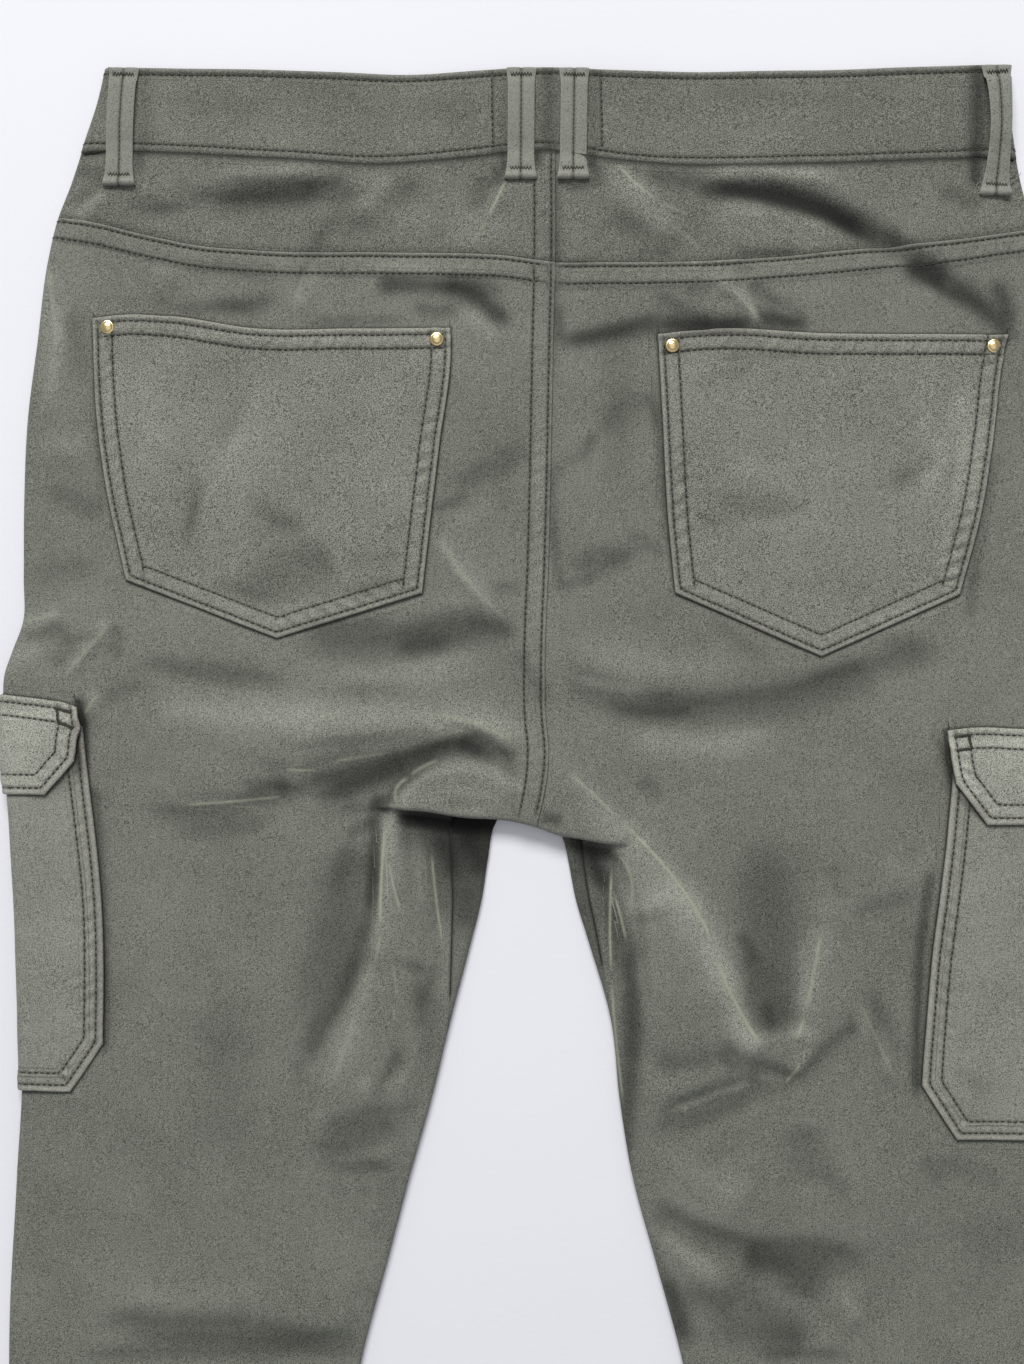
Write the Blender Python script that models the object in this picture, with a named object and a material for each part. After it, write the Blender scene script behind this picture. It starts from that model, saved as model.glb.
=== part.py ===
"""Slim cargo trousers in stretch cotton sateen, laid flat with the back side up.

Lengths are in millimetres and are scaled to metres when a mesh is made. x runs
to the wearer's right, y runs up to the waist and z runs up from the table. Every
piece of cloth is one wall, drawn by its outer surface and thickened inwards.
"""
import math

import bpy
import numpy as np

for existing in list(bpy.data.objects):
    bpy.data.objects.remove(existing, do_unlink=True)

MM = 0.001

# ---------------------------------------------------------------- driving sizes
WALL = 1.2                 # trouser cloth
BAND_WALL = 2.0            # two plies and interlining
LOOP_WALL = 1.6            # belt loop, folded strip
SEAM_GAP = 0.3             # between neighbouring pieces and between layers
INSEAM_GAP = 0.5           # on the outside of the inner fold, about 0.3 in mid wall
FOLD_RADIUS = 2.5          # outside of the cloth where it folds at the side
BAND_RADIUS = 3.2          # outside of the waistband where it folds at the side
AIR = 2.2                  # usual space between the front and back layers
AIR_SWING = 1.65           # how far folds open or close that space
LIP_TOP = 6.6              # height of the seat where it hangs over the crotch
HEM_Y = -521.7
POCKET_STEP = WALL + SEAM_GAP
RIVET_RADIUS = 3.2
RIVET_HEIGHT = 1.3
BUTTON_RADIUS = 8.0
BUTTON_HEIGHT = 2.0
BUTTON_Y = 489.0
LOOP_HALF_WIDTH = 6.4

# Outlines: rows of y, x.
LEFT_EDGE = (
    (520.5, -202.2), (504, -205.6), (486, -211.0), (467, -216.8), (449, -223.5),
    (431, -228.2), (394, -233.2), (357, -237.6), (320, -239.2), (284, -239.6),
    (264, -240.0), (246, -245.6), (228, -247.2), (191, -245.8), (155, -244.0),
    (100, -242.3), (49, -241.8), (8, -244.5), (-47, -247.5), (-160, -247),
    (-300, -251), (-420, -258), (HEM_Y, -264.5),
)
RIGHT_EDGE = (
    (520.5, 214.2), (504, 214.2), (486, 216.2), (467, 219.6), (449, 224.5),
    (431, 228.6), (394, 233.6), (357, 237.9), (320, 239.8), (284, 240.4),
    (264, 241.0), (246, 245.6), (228, 247.2), (191, 246.4), (155, 245.2),
    (100, 243.6), (49, 243.0), (8, 244.8), (-47, 247.5), (-160, 247.5),
    (-300, 251), (-420, 258), (HEM_Y, 264.5),
)
LEFT_INNER = (
    (185, -8.6), (181, -15.5), (173, -22.1), (155, -26.7), (136, -29.0), (118, -33.1),
    (81, -42.8), (44, -51.5), (8, -61.6), (-29, -71.3), (-75, -81.9), (-160, -94),
    (-300, -109), (-420, -123), (HEM_Y, -135.7),
)
RIGHT_INNER = (
    (185, -5.4), (181, 0.5), (173, 5.2), (165, 8.3), (155, 10.6), (136, 14.3),
    (118, 19.8), (81, 30.4), (44, 34.5), (8, 40.5), (-29, 50.6), (-75, 63.0),
    (-160, 78), (-300, 101), (-420, 119), (HEM_Y, 134.0),
)
CENTRE_BACK = (
    (520, 4.6), (477, 4.6), (430, 4.6), (389, 3.7), (343, 2.8), (293, 1.6),
    (249, 0.0), (222, 0.2), (205, 1.6), (190, 0.4), (170, -3.8),
)
CENTRE_FRONT = ((520, 0.0), (360, -1.0), (186, -7.0))

# Lines across the garment: rows of x, y.
BAND_TOP = (
    (-235, 518.8), (-202, 518.8), (-122, 517.8), (-57, 515.6), (-2, 518.4),
    (34, 517.2), (131, 518.0), (200, 519.8), (235, 519.8),
)
BAND_FOOT = (
    (-235, 480.4), (-186, 480.4), (-121, 477.4), (-76, 474.9), (-34, 477.7),
    (-2, 480.6), (34, 475.8), (131, 475.4), (200, 477.7), (235, 477.7),
)
FRONT_BAND_TOP = ((-210, 518.0), (-120, 510.0), (0, 506.0), (120, 510.0), (210, 519.0))
FRONT_BAND_DEPTH = 38.0
YOKE_SEAM = (
    (-235, 452.0), (-224, 450.5), (-205, 447.0), (-182, 441.3), (-158, 436.6),
    (-134, 434.6), (-75, 433.5), (-22, 432.6), (4.6, 429.0), (34, 429.0),
    (117, 432.6), (165, 437.2), (189, 439.4), (220, 444.4), (235, 447.0),
)
LIP_LINE = (
    (-255, 186.0), (-200, 185.0), (-110, 181.5), (-67, 178.2), (-56, 177.2),
    (-36, 174.2), (-21, 173.4), (-11, 171.8), (-3.8, 169.8), (6, 166.3),
    (17, 164.4), (29, 162.4), (45, 162.6), (70, 166.0), (120, 173.0), (255, 186.0),
)

# Inseam: rows of y, distance from the extreme of the inner fold, up on the top side.
LEFT_INSEAM = (
    (176, 22.4), (166, 20.3), (127, 12.4), (96, 5.4), (79, 1.6), (60, -0.8), (44, -2.8),
    (26, -4.8), (6, -6.2), (-20, -6.6), (HEM_Y, -6.6),
)
RIGHT_INSEAM = (
    (176, 11.0), (166, 9.2), (127, 6.6), (105, 4.0), (84, 1.4), (64, -0.9), (44, -3.0),
    (26, -4.9), (6, -6.2), (-20, -6.6), (HEM_Y, -6.6),
)
# Side seam under the garment: rows of y, x.
LEFT_SIDE_SEAM = ((521, -188), (430, -206), (300, -219), (100, -222), (-100, -226), (HEM_Y, -248))
RIGHT_SIDE_SEAM = ((521, 199), (430, 213), (300, 226), (100, 228), (-100, 230), (HEM_Y, 249))

# Large folds: x and y of the start, bend and end, half width, height (troughs are negative).
FOLDS = (
    (10, 196, 68, 142, 100, 66, 12, 2.4),
    (92, 128, 103, 100, 106, 74, 9, -1.6),
    (124, 128, 123, 92, 108, 70, 9, 1.6),
    (20, 232, 79, 218, 142, 241, 12, -1.4),
    (-70, 201, -54, 212, -20, 204, 8, -1.6),
    (-69, 186, -79, 145, -66, 84, 9, 2.2),
    (-182, 180, -110, 178, -34, 214, 14, -1.1),
    (71, 466, 118, 468, 146, 438, 12, -0.9),
    (-136, 455, -100, 462, -66, 457, 12, -0.8),
    (30, 160, 44, 150, 50, 120, 9, 1.6),
    (48, 30, 80, 0, 118, -45, 14, 1.2),
    (-232, 268, -205, 262, -180, 264, 10, -1.0),
)
FOLD_STEPS = 16

# Back pockets: rows of x, y along each side, corner to corner.
LEFT_POCKET = {
    "top": (
        (-207.5, 403.2), (-192, 405.0), (-175, 404.3), (-133, 398.2), (-90, 398.4), (-43.7, 398.6),
    ),
    "foot": ((-191.8, 283.6), (-122.8, 256.9), (-56.6, 277.6)),
    "start": ((-207.5, 403.2), (-206.1, 368.7), (-200.1, 320.8), (-191.8, 283.6)),
    "end": ((-43.7, 398.6), (-43.4, 388.9), (-48.8, 344.7), (-52.4, 314.8), (-56.6, 277.6)),
}
RIGHT_POCKET = {
    "top": ((52.0, 395.8), (66, 397.6), (134, 395.8), (190, 395.8), (212.1, 395.8)),
    "foot": ((59.8, 277.6), (126.5, 248.6), (190.0, 277.1)),
    "start": ((52.0, 395.8), (53.8, 362.7), (57.0, 306.6), (59.8, 277.6)),
    "end": ((212.1, 395.8), (209.3, 382.9), (204.7, 345.7), (199.2, 312.1), (190.0, 277.1)),
}
POCKET_COLUMNS = 12
POCKET_ROWS = 9
RIVETS = {
    "rivet_left_outer": (-200.6, 399.2),
    "rivet_left_inner": (-49.6, 393.4),
    "rivet_right_inner": (58.2, 390.6),
    "rivet_right_outer": (205.6, 390.6),
}

# Cargo pockets and flaps: where the back end lies (rows of y, x), and the other sizes.
CARGO_WIDTH = 150.0
CARGO_CHAMFER = 15.0
CARGO_MOUTH_Y = 217.0
LEFT_CARGO = {
    "edge": ((217, -211.2), (183, -207.5), (152, -204.2), (122, -202.4), (71, -202.4)),
    "corner_y": 71.5,
    "foot_y": 49.4,
}
RIGHT_CARGO = {
    "edge": ((217, 186.6), (186, 185.4), (161, 183.1), (130, 179.4), (94, 175.7), (52, 172.5)),
    "corner_y": 52.2,
    "foot_y": 27.5,
}
LEFT_FLAP = {
    "edge": ((229, -214.4), (215, -212.0), (201, -213.9)),
    "top_y": 228.0,
    "corner_y": 201.0,
    "foot_y": 185.5,
}
RIGHT_FLAP = {
    "edge": ((215, 183.6), (203, 184.5), (189, 187.2)),
    "top_y": 214.8,
    "corner_y": 189.5,
    "foot_y": 170.8,
}
FLAP_STEP_Y = 12.0         # the flap's sewn head lies this far above the pocket's mouth

# Belt loops: x of the centre at the top edge and at the foot, y of the foot.
LOOPS = {
    "loop_side_left": (-193.4, -195.4, 463.9),
    "loop_centre_left": (-10.9, -11.2, 466.4),
    "loop_centre_right": (13.4, 12.7, 466.2),
    "loop_side_right": (206.2, 206.6, 459.8),
}
LOOP_ARCH = 0.9

CLOTH_COLOR = (0.172, 0.180, 0.150)
CLOTH_ROUGHNESS = 0.72
METAL_COLOR = (0.78, 0.60, 0.28)
CLOTH_SHARP_ANGLE = 50
METAL_SHARP_ANGLE = 40


# ---------------------------------------------------------------- curves and heights
def curve(rows, at):
    """Value at each station of the smooth curve through rows of station, value."""
    knots = np.array(sorted((row[0], row[1]) for row in rows), dtype=float)
    station, value = knots[:, 0], knots[:, 1]
    slope = np.gradient(value, station)
    at = np.asarray(at, dtype=float)
    i = np.clip(np.searchsorted(station, at) - 1, 0, len(station) - 2)
    span = station[i + 1] - station[i]
    raw = (at - station[i]) / span
    t = np.clip(raw, 0.0, 1.0)
    left = (2 * t ** 3 - 3 * t ** 2 + 1) * value[i] + (t ** 3 - 2 * t ** 2 + t) * span * slope[i]
    right = (3 * t ** 2 - 2 * t ** 3) * value[i + 1] + (t ** 3 - t ** 2) * span * slope[i + 1]
    beyond = (raw - t) * span * np.where(raw > t, slope[i + 1], slope[i])
    return left + right + beyond


def ease(start, end, at):
    """0 before start, 1 after end, and smooth between them."""
    t = np.clip((np.asarray(at, dtype=float) - start) / (end - start), 0.0, 1.0)
    return t * t * (3 - 2 * t)


def mix(a, b, share):
    return a + (b - a) * share


class Side:
    """One half of the garment: sign is -1 on the wearer's left and 1 on the right."""

    def __init__(self, name, sign, edge, inner, inseam, side_seam, cargo, flap):
        self.name = name
        self.sign = sign
        self.edge = edge
        self.inner = inner
        self.inseam = inseam
        self.side_seam = side_seam
        self.cargo = cargo
        self.flap = flap

    def edge_x(self, y):
        return curve(self.edge, y)

    def inner_x(self, y):
        return curve(self.inner, y)

    def inseam_run(self, y):
        return curve(self.inseam, y)


LEFT = Side("left", -1, LEFT_EDGE, LEFT_INNER, LEFT_INSEAM, LEFT_SIDE_SEAM, LEFT_CARGO, LEFT_FLAP)
RIGHT = Side("right", 1, RIGHT_EDGE, RIGHT_INNER, RIGHT_INSEAM, RIGHT_SIDE_SEAM, RIGHT_CARGO, RIGHT_FLAP)
SIDES = (LEFT, RIGHT)

LIFT_MARGIN = 16.0
LIFT_RAMP = 50.0


def window(low, high, at):
    """1 between low and high and a margin beyond them, then a long smooth ramp to 0."""
    rise = ease(low - LIFT_MARGIN - LIFT_RAMP, low - LIFT_MARGIN, at)
    return rise * (1 - ease(high + LIFT_MARGIN, high + LIFT_MARGIN + LIFT_RAMP, at))


def run_from_edge(side, x, y):
    """Length of cloth from the extreme of the outer fold to a point on the top side."""
    flat = side.sign * (side.edge_x(y) - x) - FOLD_RADIUS
    return flat + FOLD_RADIUS * math.pi / 2


def under_limit(side):
    """x where the hidden end of the cargo pocket lies, under the leg."""
    middle = (side.cargo["corner_y"] + CARGO_MOUTH_Y) / 2
    shown = run_from_edge(side, curve(side.cargo["edge"], middle), middle)
    hidden = CARGO_WIDTH - shown
    flat = hidden - FOLD_RADIUS * math.pi / 2
    return float(side.edge_x(middle) - side.sign * (FOLD_RADIUS + flat))


def lift(x, y):
    """Height of the front layer's underside: raised by what is folded under it."""
    total = np.zeros(np.broadcast(x, y).shape)
    for side in SIDES:
        reach = under_limit(side)
        across = ease(-LIFT_MARGIN - LIFT_RAMP, -LIFT_MARGIN, side.sign * (x - reach))
        pocket = window(side.cargo["foot_y"], CARGO_MOUTH_Y, y)
        flap = window(side.flap["foot_y"], side.flap["top_y"], y)
        total = total + across * (pocket + flap) * POCKET_STEP
    from_button = np.hypot(x, y - BUTTON_Y)
    return total + (BUTTON_HEIGHT + SEAM_GAP) * (1 - ease(24.0, 80.0, from_button))


def fold_height(x, y):
    """Sum of the large folds at each point."""
    total = np.zeros(np.broadcast(x, y).shape)
    for x0, y0, x1, y1, x2, y2, half_width, height in FOLDS:
        nearest = np.full(total.shape, 1e9)
        share = np.zeros(total.shape)
        for step in range(FOLD_STEPS + 1):
            t = step / FOLD_STEPS
            px = (1 - t) ** 2 * x0 + 2 * t * (1 - t) * x1 + t * t * x2
            py = (1 - t) ** 2 * y0 + 2 * t * (1 - t) * y1 + t * t * y2
            away = np.hypot(x - px, y - py)
            share = np.where(away < nearest, t, share)
            nearest = np.minimum(nearest, away)
        fade = ease(0.0, 0.3, share) * (1 - ease(0.7, 1.0, share))
        total = total + height * (0.35 + 0.65 * fade) * np.exp(-(nearest / half_width) ** 2)
    return total


def lip_share(side, x):
    """1 where the seat hangs over the crotch, 0 where it runs straight into the leg."""
    if side.sign < 0:
        return 1 - ease(60.0, 108.0, -x)
    return 1 - ease(28.0, 78.0, x)


def inner_radius(y):
    """Outer radius of the fold at the inner leg: pressed flatter near the crotch."""
    return mix(FOLD_RADIUS, 1.6, ease(70.0, 160.0, y))


def top(side, x, y, below=False):
    """Height of the back layer's upper face, above or below the lip at the crotch."""
    base = lift(x, y)
    air = AIR + AIR_SWING * np.tanh(fold_height(x, y) / AIR_SWING)
    from_edge = side.sign * (side.edge_x(y) - x) - FOLD_RADIUS
    at_side = 1 - ease(2.0, 32.0, from_edge)
    height = mix(base + 2 * WALL + air, base + 2 * FOLD_RADIUS, at_side)
    if below:
        radius = inner_radius(y)
        from_inner = side.sign * (x - side.inner_x(y))
        seam = np.maximum(side.inseam_run(y), 0.0)
        at_inner = 1 - ease(seam + 1.5, seam + 28.0, from_inner)
        return mix(height, base + 2 * radius, at_inner)
    over = 1 - ease(4.0, 78.0, y - curve(LIP_LINE, x))
    return mix(height, np.maximum(height, LIP_TOP), over * lip_share(side, x))


def outer_wrap(side, y, run, out=0.0, radius=FOLD_RADIUS, height=None):
    """Point a run of cloth away from the outer fold's extreme, and out from its face."""
    quarter = radius * math.pi / 2
    run = np.asarray(run, dtype=float)
    angle = np.clip(run / radius, -math.pi / 2, math.pi / 2)
    flat = np.maximum(np.abs(run) - quarter, 0.0)
    hub = side.edge_x(y) - side.sign * radius
    x = hub + side.sign * (radius + out) * np.cos(angle) - side.sign * flat
    base = lift(x, y)
    upper = (height(x, y) if height else top(side, x, y, y < curve(LIP_LINE, x))) + out
    round_z = base + radius + (radius + out) * np.sin(angle)
    z = np.where(run > quarter, upper, np.where(run < -quarter, base - out, round_z))
    return np.stack(np.broadcast_arrays(x, y, z), axis=-1)


def inner_wrap(side, y, run, out=0.0):
    """Point a run of cloth away from the inner fold's extreme, and out from its face."""
    radius = inner_radius(y)
    quarter = radius * math.pi / 2
    run = np.asarray(run, dtype=float)
    angle = np.clip(run / radius, -math.pi / 2, math.pi / 2)
    flat = np.maximum(np.abs(run) - quarter, 0.0)
    x = side.inner_x(y) + side.sign * (radius - (radius + out) * np.cos(angle) + flat)
    base = lift(x, y)
    round_z = base + radius + (radius + out) * np.sin(angle)
    upper = top(side, x, y, True) + out
    z = np.where(run > quarter, upper, np.where(run < -quarter, base - out, round_z))
    return np.stack(np.broadcast_arrays(x, y, z), axis=-1)


# ---------------------------------------------------------------- meshes
def material(name, color, roughness, metallic=0.0):
    made = bpy.data.materials.new(name)
    made.use_nodes = True
    shader = made.node_tree.nodes["Principled BSDF"]
    shader.inputs["Base Color"].default_value = (*color, 1.0)
    shader.inputs["Roughness"].default_value = roughness
    shader.inputs["Metallic"].default_value = metallic
    return made


def finished(name, points, faces, sharp_angle, look):
    """Object of a closed mesh, from points in millimetres."""
    mesh = bpy.data.meshes.new(name)
    mesh.from_pydata([tuple(float(value) * MM for value in point) for point in points], [], faces)
    mesh.update()
    mesh.shade_smooth()
    mesh.set_sharp_from_angle(angle=math.radians(sharp_angle))
    mesh.materials.append(look)
    piece = bpy.data.objects.new(name, mesh)
    bpy.context.collection.objects.link(piece)
    return piece


def sheet(name, grid, wall, flip=False):
    """One piece of cloth.

    grid(out) gives blocks of points, rows by columns, that share their borders. out 0 is
    the outer face and -wall the inner one, and the two are joined round their edge. Both
    are split into triangles in the same way, so the wall keeps its thickness, and so are
    the edges of two pieces that meet at a seam.
    """
    points = []
    index = {}
    faces = []
    directed = set()
    inner_blocks = grid(-wall)
    for block, inner_block in zip(grid(0.0), inner_blocks):
        rows, columns = block.shape[:2]
        ids = np.empty((rows, columns), dtype=int)
        for r in range(rows):
            for c in range(columns):
                key = tuple(np.round(block[r, c], 4))
                if key not in index:
                    index[key] = len(points)
                    points.append((block[r, c], inner_block[r, c]))
                ids[r, c] = index[key]
        for r in range(rows - 1):
            for c in range(columns - 1):
                ring = ids[r, c], ids[r + 1, c], ids[r + 1, c + 1], ids[r, c + 1]
                near, low, far, high = ring
                corners = [points[i][0] for i in ring]
                falling = np.linalg.norm(np.subtract(corners[0], corners[2]))
                rising = np.linalg.norm(np.subtract(corners[1], corners[3]))
                if falling < rising:
                    halves = (near, low, far), (near, far, high)
                else:
                    halves = (near, low, high), (low, far, high)
                for half in halves:
                    face = [int(i) for i in (half[::-1] if flip else half)]
                    faces.append(face)
                    directed.update(zip(face, face[1:] + face[:1]))
    count = len(points)
    inner_faces = [[i + count for i in face[::-1]] for face in faces]
    rims = []
    for a, b in sorted(directed):
        if (b, a) in directed:
            continue
        if tuple(points[a][0][1::-1]) > tuple(points[b][0][1::-1]):
            rims += [[b, a, b + count], [a, a + count, b + count]]
        else:
            rims += [[b, a, a + count], [b, a + count, b + count]]
    both = [outer for outer, _ in points] + [inner for _, inner in points]
    look = material(name, CLOTH_COLOR, CLOTH_ROUGHNESS)
    return finished(name, both, faces + inner_faces + rims, CLOTH_SHARP_ANGLE, look)


def turned(name, profile, centre, segments, look):
    """A round solid turned about z, from rows of radius, height."""
    points = [(centre[0], centre[1], centre[2] + profile[0][1])]
    for radius, height in profile[1:-1]:
        for step in range(segments):
            angle = 2 * math.pi * step / segments
            x = centre[0] + radius * math.cos(angle)
            y = centre[1] + radius * math.sin(angle)
            points.append((x, y, centre[2] + height))
    points.append((centre[0], centre[1], centre[2] + profile[-1][1]))
    faces = []
    last = len(points) - 1
    rings = len(profile) - 2
    for step in range(segments):
        after = (step + 1) % segments
        faces.append((0, 1 + after, 1 + step))
        for ring in range(rings - 1):
            low = 1 + ring * segments
            high = low + segments
            faces.append((low + step, low + after, high + after, high + step))
        end = 1 + (rings - 1) * segments
        faces.append((end + step, end + after, last))
    return finished(name, points, faces, METAL_SHARP_ANGLE, look)


# ---------------------------------------------------------------- back panels
SEAT_ROWS = 14
FLAT_COLUMNS = 11
WRAP_SPACING = 1.4         # least space between the close columns beside the inseam
FOLD_SHARES = (1.0, 0.5, 0.0, -0.5, -1.0)
# Lip: rows of distance above the lip line, share of the drop still to go, lean of the face.
LIP_PROFILE = ((3.4, 1.0, 0), (0.9, 0.86, 38), (0.0, 0.45, 80), (-0.6, 0.06, 62))
LIP_FOOT = 3.0             # the leg starts this far below the lip line
LIP_CLEAR = 4.1            # lowest point of the lip where only the front lies under it
LEG_STATIONS = (
    165.0, 152.0, 139.0, 126.0, 113.0, 100.0, 87.0, 74.0, 60.0, 44.0, 26.0, 6.0,
    -20.0, -60.0, -110.0, -170.0, -240.0, -310.0, -380.0, -450.0, HEM_Y,
)


def lip_pivot(side):
    """Where the inseam comes out from under the lip, and the leg's first station there."""
    y = 170.0
    for _ in range(4):
        x = float(inner_wrap(side, y, float(side.inseam_run(y)) + INSEAM_GAP / 2)[0])
        y = float(curve(LIP_LINE, x)) - LIP_FOOT
    return x, y


def leg_stations(side):
    """Stations down the inner leg, from the lip to the hem."""
    first = lip_pivot(side)[1]
    return [first] + [station for station in LEG_STATIONS if station < first - 5.0]


def side_wrap_columns(side, y, out):
    """The turn round the outer fold and the short run under it, to the side seam."""
    quarter = FOLD_RADIUS * math.pi / 2
    turn = [outer_wrap(side, y, quarter * share, out) for share in FOLD_SHARES[1:]]
    seam_x = float(curve(side.side_seam, y)) + side.sign * SEAM_GAP / 2
    turn.append(np.array([seam_x, y, float(lift(seam_x, y)) - out]))
    return turn


def outer_end(side, line):
    """y of a row where it meets the outer fold, and x where the fold's turn starts."""
    hub = side.sign * 235.0
    for _ in range(3):
        hub = float(side.edge_x(float(line(hub)))) - side.sign * FOLD_RADIUS
    y = float(line(hub))
    return y, float(side.edge_x(y)) - side.sign * FOLD_RADIUS


def row_columns(side, line, near_columns):
    """x of the columns of a row that starts at the centre seam, and y of its outer end."""
    start = float(curve(CENTRE_BACK, float(line(0.0)))) + side.sign * SEAM_GAP / 2
    centre = float(curve(CENTRE_BACK, curve(LIP_LINE, -3.8)))
    span = abs(lip_pivot(side)[0] - centre) - SEAM_GAP / 2
    pivot = start + side.sign * span
    edge_y, hub = outer_end(side, line)
    near = list(np.linspace(start, pivot, near_columns + 1))
    close = [pivot + side.sign * WRAP_SPACING * (step + 1) for step in range(len(FOLD_SHARES))]
    far = list(np.linspace(close[-1], hub, FLAT_COLUMNS + 1))[1:]
    return near + close + far, edge_y


def cross_row(side, line, near_columns, out):
    """One row from the centre seam to the side seam, following line(x)."""
    columns, edge_y = row_columns(side, line, near_columns)
    row = []
    for x in columns:
        y = float(line(x))
        row.append(np.array([x, y, float(top(side, x, y)) + out]))
    return row + side_wrap_columns(side, edge_y, out)


def lip_row(side, rise, share, lean, near_columns, out):
    """One row of the rolled lip; past the inseam its foot runs into the leg."""
    def line(x):
        return float(curve(LIP_LINE, x)) + rise

    columns, edge_y = row_columns(side, line, near_columns)
    row = []
    for place, x in enumerate(columns):
        lip_y = line(x) - rise
        crest = float(top(side, x, lip_y + LIP_PROFILE[0][0]))
        foot = float(top(side, x, lip_y - LIP_FOOT, True)) if place > near_columns else LIP_CLEAR
        turn = math.radians(lean * float(lip_share(side, x)))
        y = line(x) - out * math.sin(turn)
        row.append(np.array([x, y, mix(foot, crest, share) + out * math.cos(turn)]))
    return row + side_wrap_columns(side, edge_y, out)


def leg_row(side, station, slant, out):
    """One row of the leg's back, from the inseam to the side seam."""
    quarter = float(inner_radius(station)) * math.pi / 2
    start = INSEAM_GAP / 2 + float(side.inseam_run(station))
    runs = [start]
    for step, share in enumerate(FOLD_SHARES):
        runs.append(max(-quarter * share, start + WRAP_SPACING * (step + 1)))
    close = [inner_wrap(side, station, run, out) for run in runs]
    pivot = float(inner_wrap(side, station, start)[0])
    last = float(inner_wrap(side, station, runs[-1])[0])

    def line(x):
        return station + slant * float(curve(LIP_LINE, x) - curve(LIP_LINE, pivot))

    edge_y, hub = outer_end(side, line)
    row = []
    for point in close:
        x = float(point[0])
        height = float(top(side, x, line(x), True)) + out if slant > 0 else float(point[2])
        row.append(np.array([x, line(x), height]))
    for x in np.linspace(last, hub, FLAT_COLUMNS + 1)[1:]:
        row.append(np.array([x, line(x), float(top(side, x, line(x), True)) + out]))
    return row + side_wrap_columns(side, edge_y, out)


def back_panel(side, near_columns):
    """Seat and leg in one: the seat hangs over the crotch as a rolled lip."""
    def seat_line(share):
        def line(x):
            head = curve(YOKE_SEAM, x) - SEAM_GAP / 2
            return mix(head, curve(LIP_LINE, x) + LIP_PROFILE[0][0], share)
        return line

    def grid(out):
        seat = []
        for step in range(SEAT_ROWS + 1):
            seat.append(cross_row(side, seat_line(step / SEAT_ROWS), near_columns, out))
        for rise, share, lean in LIP_PROFILE[1:]:
            seat.append(lip_row(side, rise, share, lean, near_columns, out))
        leg = [seat[-1][near_columns:]]
        for place, station in enumerate(leg_stations(side)):
            leg.append(leg_row(side, station, max(0.0, 1.0 - place / 7.0), out))
        return np.array(seat), np.array(leg)

    return sheet("back_" + side.name, grid, WALL, side.sign < 0)


# ---------------------------------------------------------------- front panels
FRONT_COLUMNS = 6
FRONT_ROWS = 11
CROTCH_STATIONS = (185.0, 181.0, 176.0)


def front_top_line(x):
    return curve(FRONT_BAND_TOP, x) - FRONT_BAND_DEPTH - SEAM_GAP / 2


def front_panel(side):
    """Front with leg: flat under the back, and folded up over the inner leg to the inseam."""
    def body_row(share, out):
        centre_y = mix(float(front_top_line(0.0)), CROTCH_STATIONS[0], share)
        start = float(curve(CENTRE_FRONT, centre_y)) + side.sign * SEAM_GAP / 2
        edge_y = mix(float(front_top_line(side.sign * 200.0)), CROTCH_STATIONS[0], share)
        end = float(curve(side.side_seam, edge_y)) - side.sign * SEAM_GAP / 2
        row = []
        for x in np.linspace(start, end, FRONT_COLUMNS + 1):
            y = mix(float(front_top_line(x)), CROTCH_STATIONS[0], share)
            row.append([x, y, float(lift(x, y)) - out])
        return row

    def leg_rows(station, out):
        quarter = float(inner_radius(station)) * math.pi / 2
        end_run = float(side.inseam_run(station)) - INSEAM_GAP / 2
        turn = [inner_wrap(side, station, end_run, out)]
        for step, share in enumerate(FOLD_SHARES):
            run = min(quarter * share, end_run - WRAP_SPACING * (step + 1))
            turn.append(inner_wrap(side, station, run, out))
        seam_x = float(curve(side.side_seam, station)) - side.sign * SEAM_GAP / 2
        flat = []
        for x in np.linspace(float(turn[-1][0]), seam_x, FRONT_COLUMNS + 1):
            flat.append([x, station, float(lift(x, station)) - out])
        turn[-1] = np.array(flat[0])
        return flat, turn

    def grid(out):
        body = [body_row(step / FRONT_ROWS, out) for step in range(FRONT_ROWS)]
        wrap = []
        for station in list(CROTCH_STATIONS) + leg_stations(side):
            flat, turn = leg_rows(station, out)
            body.append(flat)
            wrap.append(turn)
        return np.array(body), np.array(wrap)

    return sheet("front_" + side.name, grid, WALL, side.sign > 0)


# ---------------------------------------------------------------- yokes and waistband
YOKE_ROWS = 3
BAND_ROWS = 2
BAND_COLUMNS = 12
BAND_SIDE = 210.0          # the band's outer columns take their height from this x


def yoke(side, near_columns):
    """Shaped piece between the waistband and the seat."""
    def yoke_line(share):
        def line(x):
            head = curve(BAND_FOOT, x) - SEAM_GAP / 2
            return mix(head, curve(YOKE_SEAM, x) + SEAM_GAP / 2, share)
        return line

    def grid(out):
        rows = []
        for step in range(YOKE_ROWS + 1):
            rows.append(cross_row(side, yoke_line(step / YOKE_ROWS), near_columns, out))
        return (np.array(rows),)

    return sheet("yoke_" + side.name, grid, WALL, side.sign < 0)


def band_height(side):
    """Height of the waistband's upper face on one side, as a function of x and y."""
    def height(x, y):
        from_edge = side.sign * (side.edge_x(y) - x) - BAND_RADIUS
        at_side = 1 - ease(2.0, 60.0, from_edge)
        return lift(x, y) + mix(2 * BAND_WALL + 1.0, 2 * BAND_RADIUS, at_side)
    return height


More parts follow.
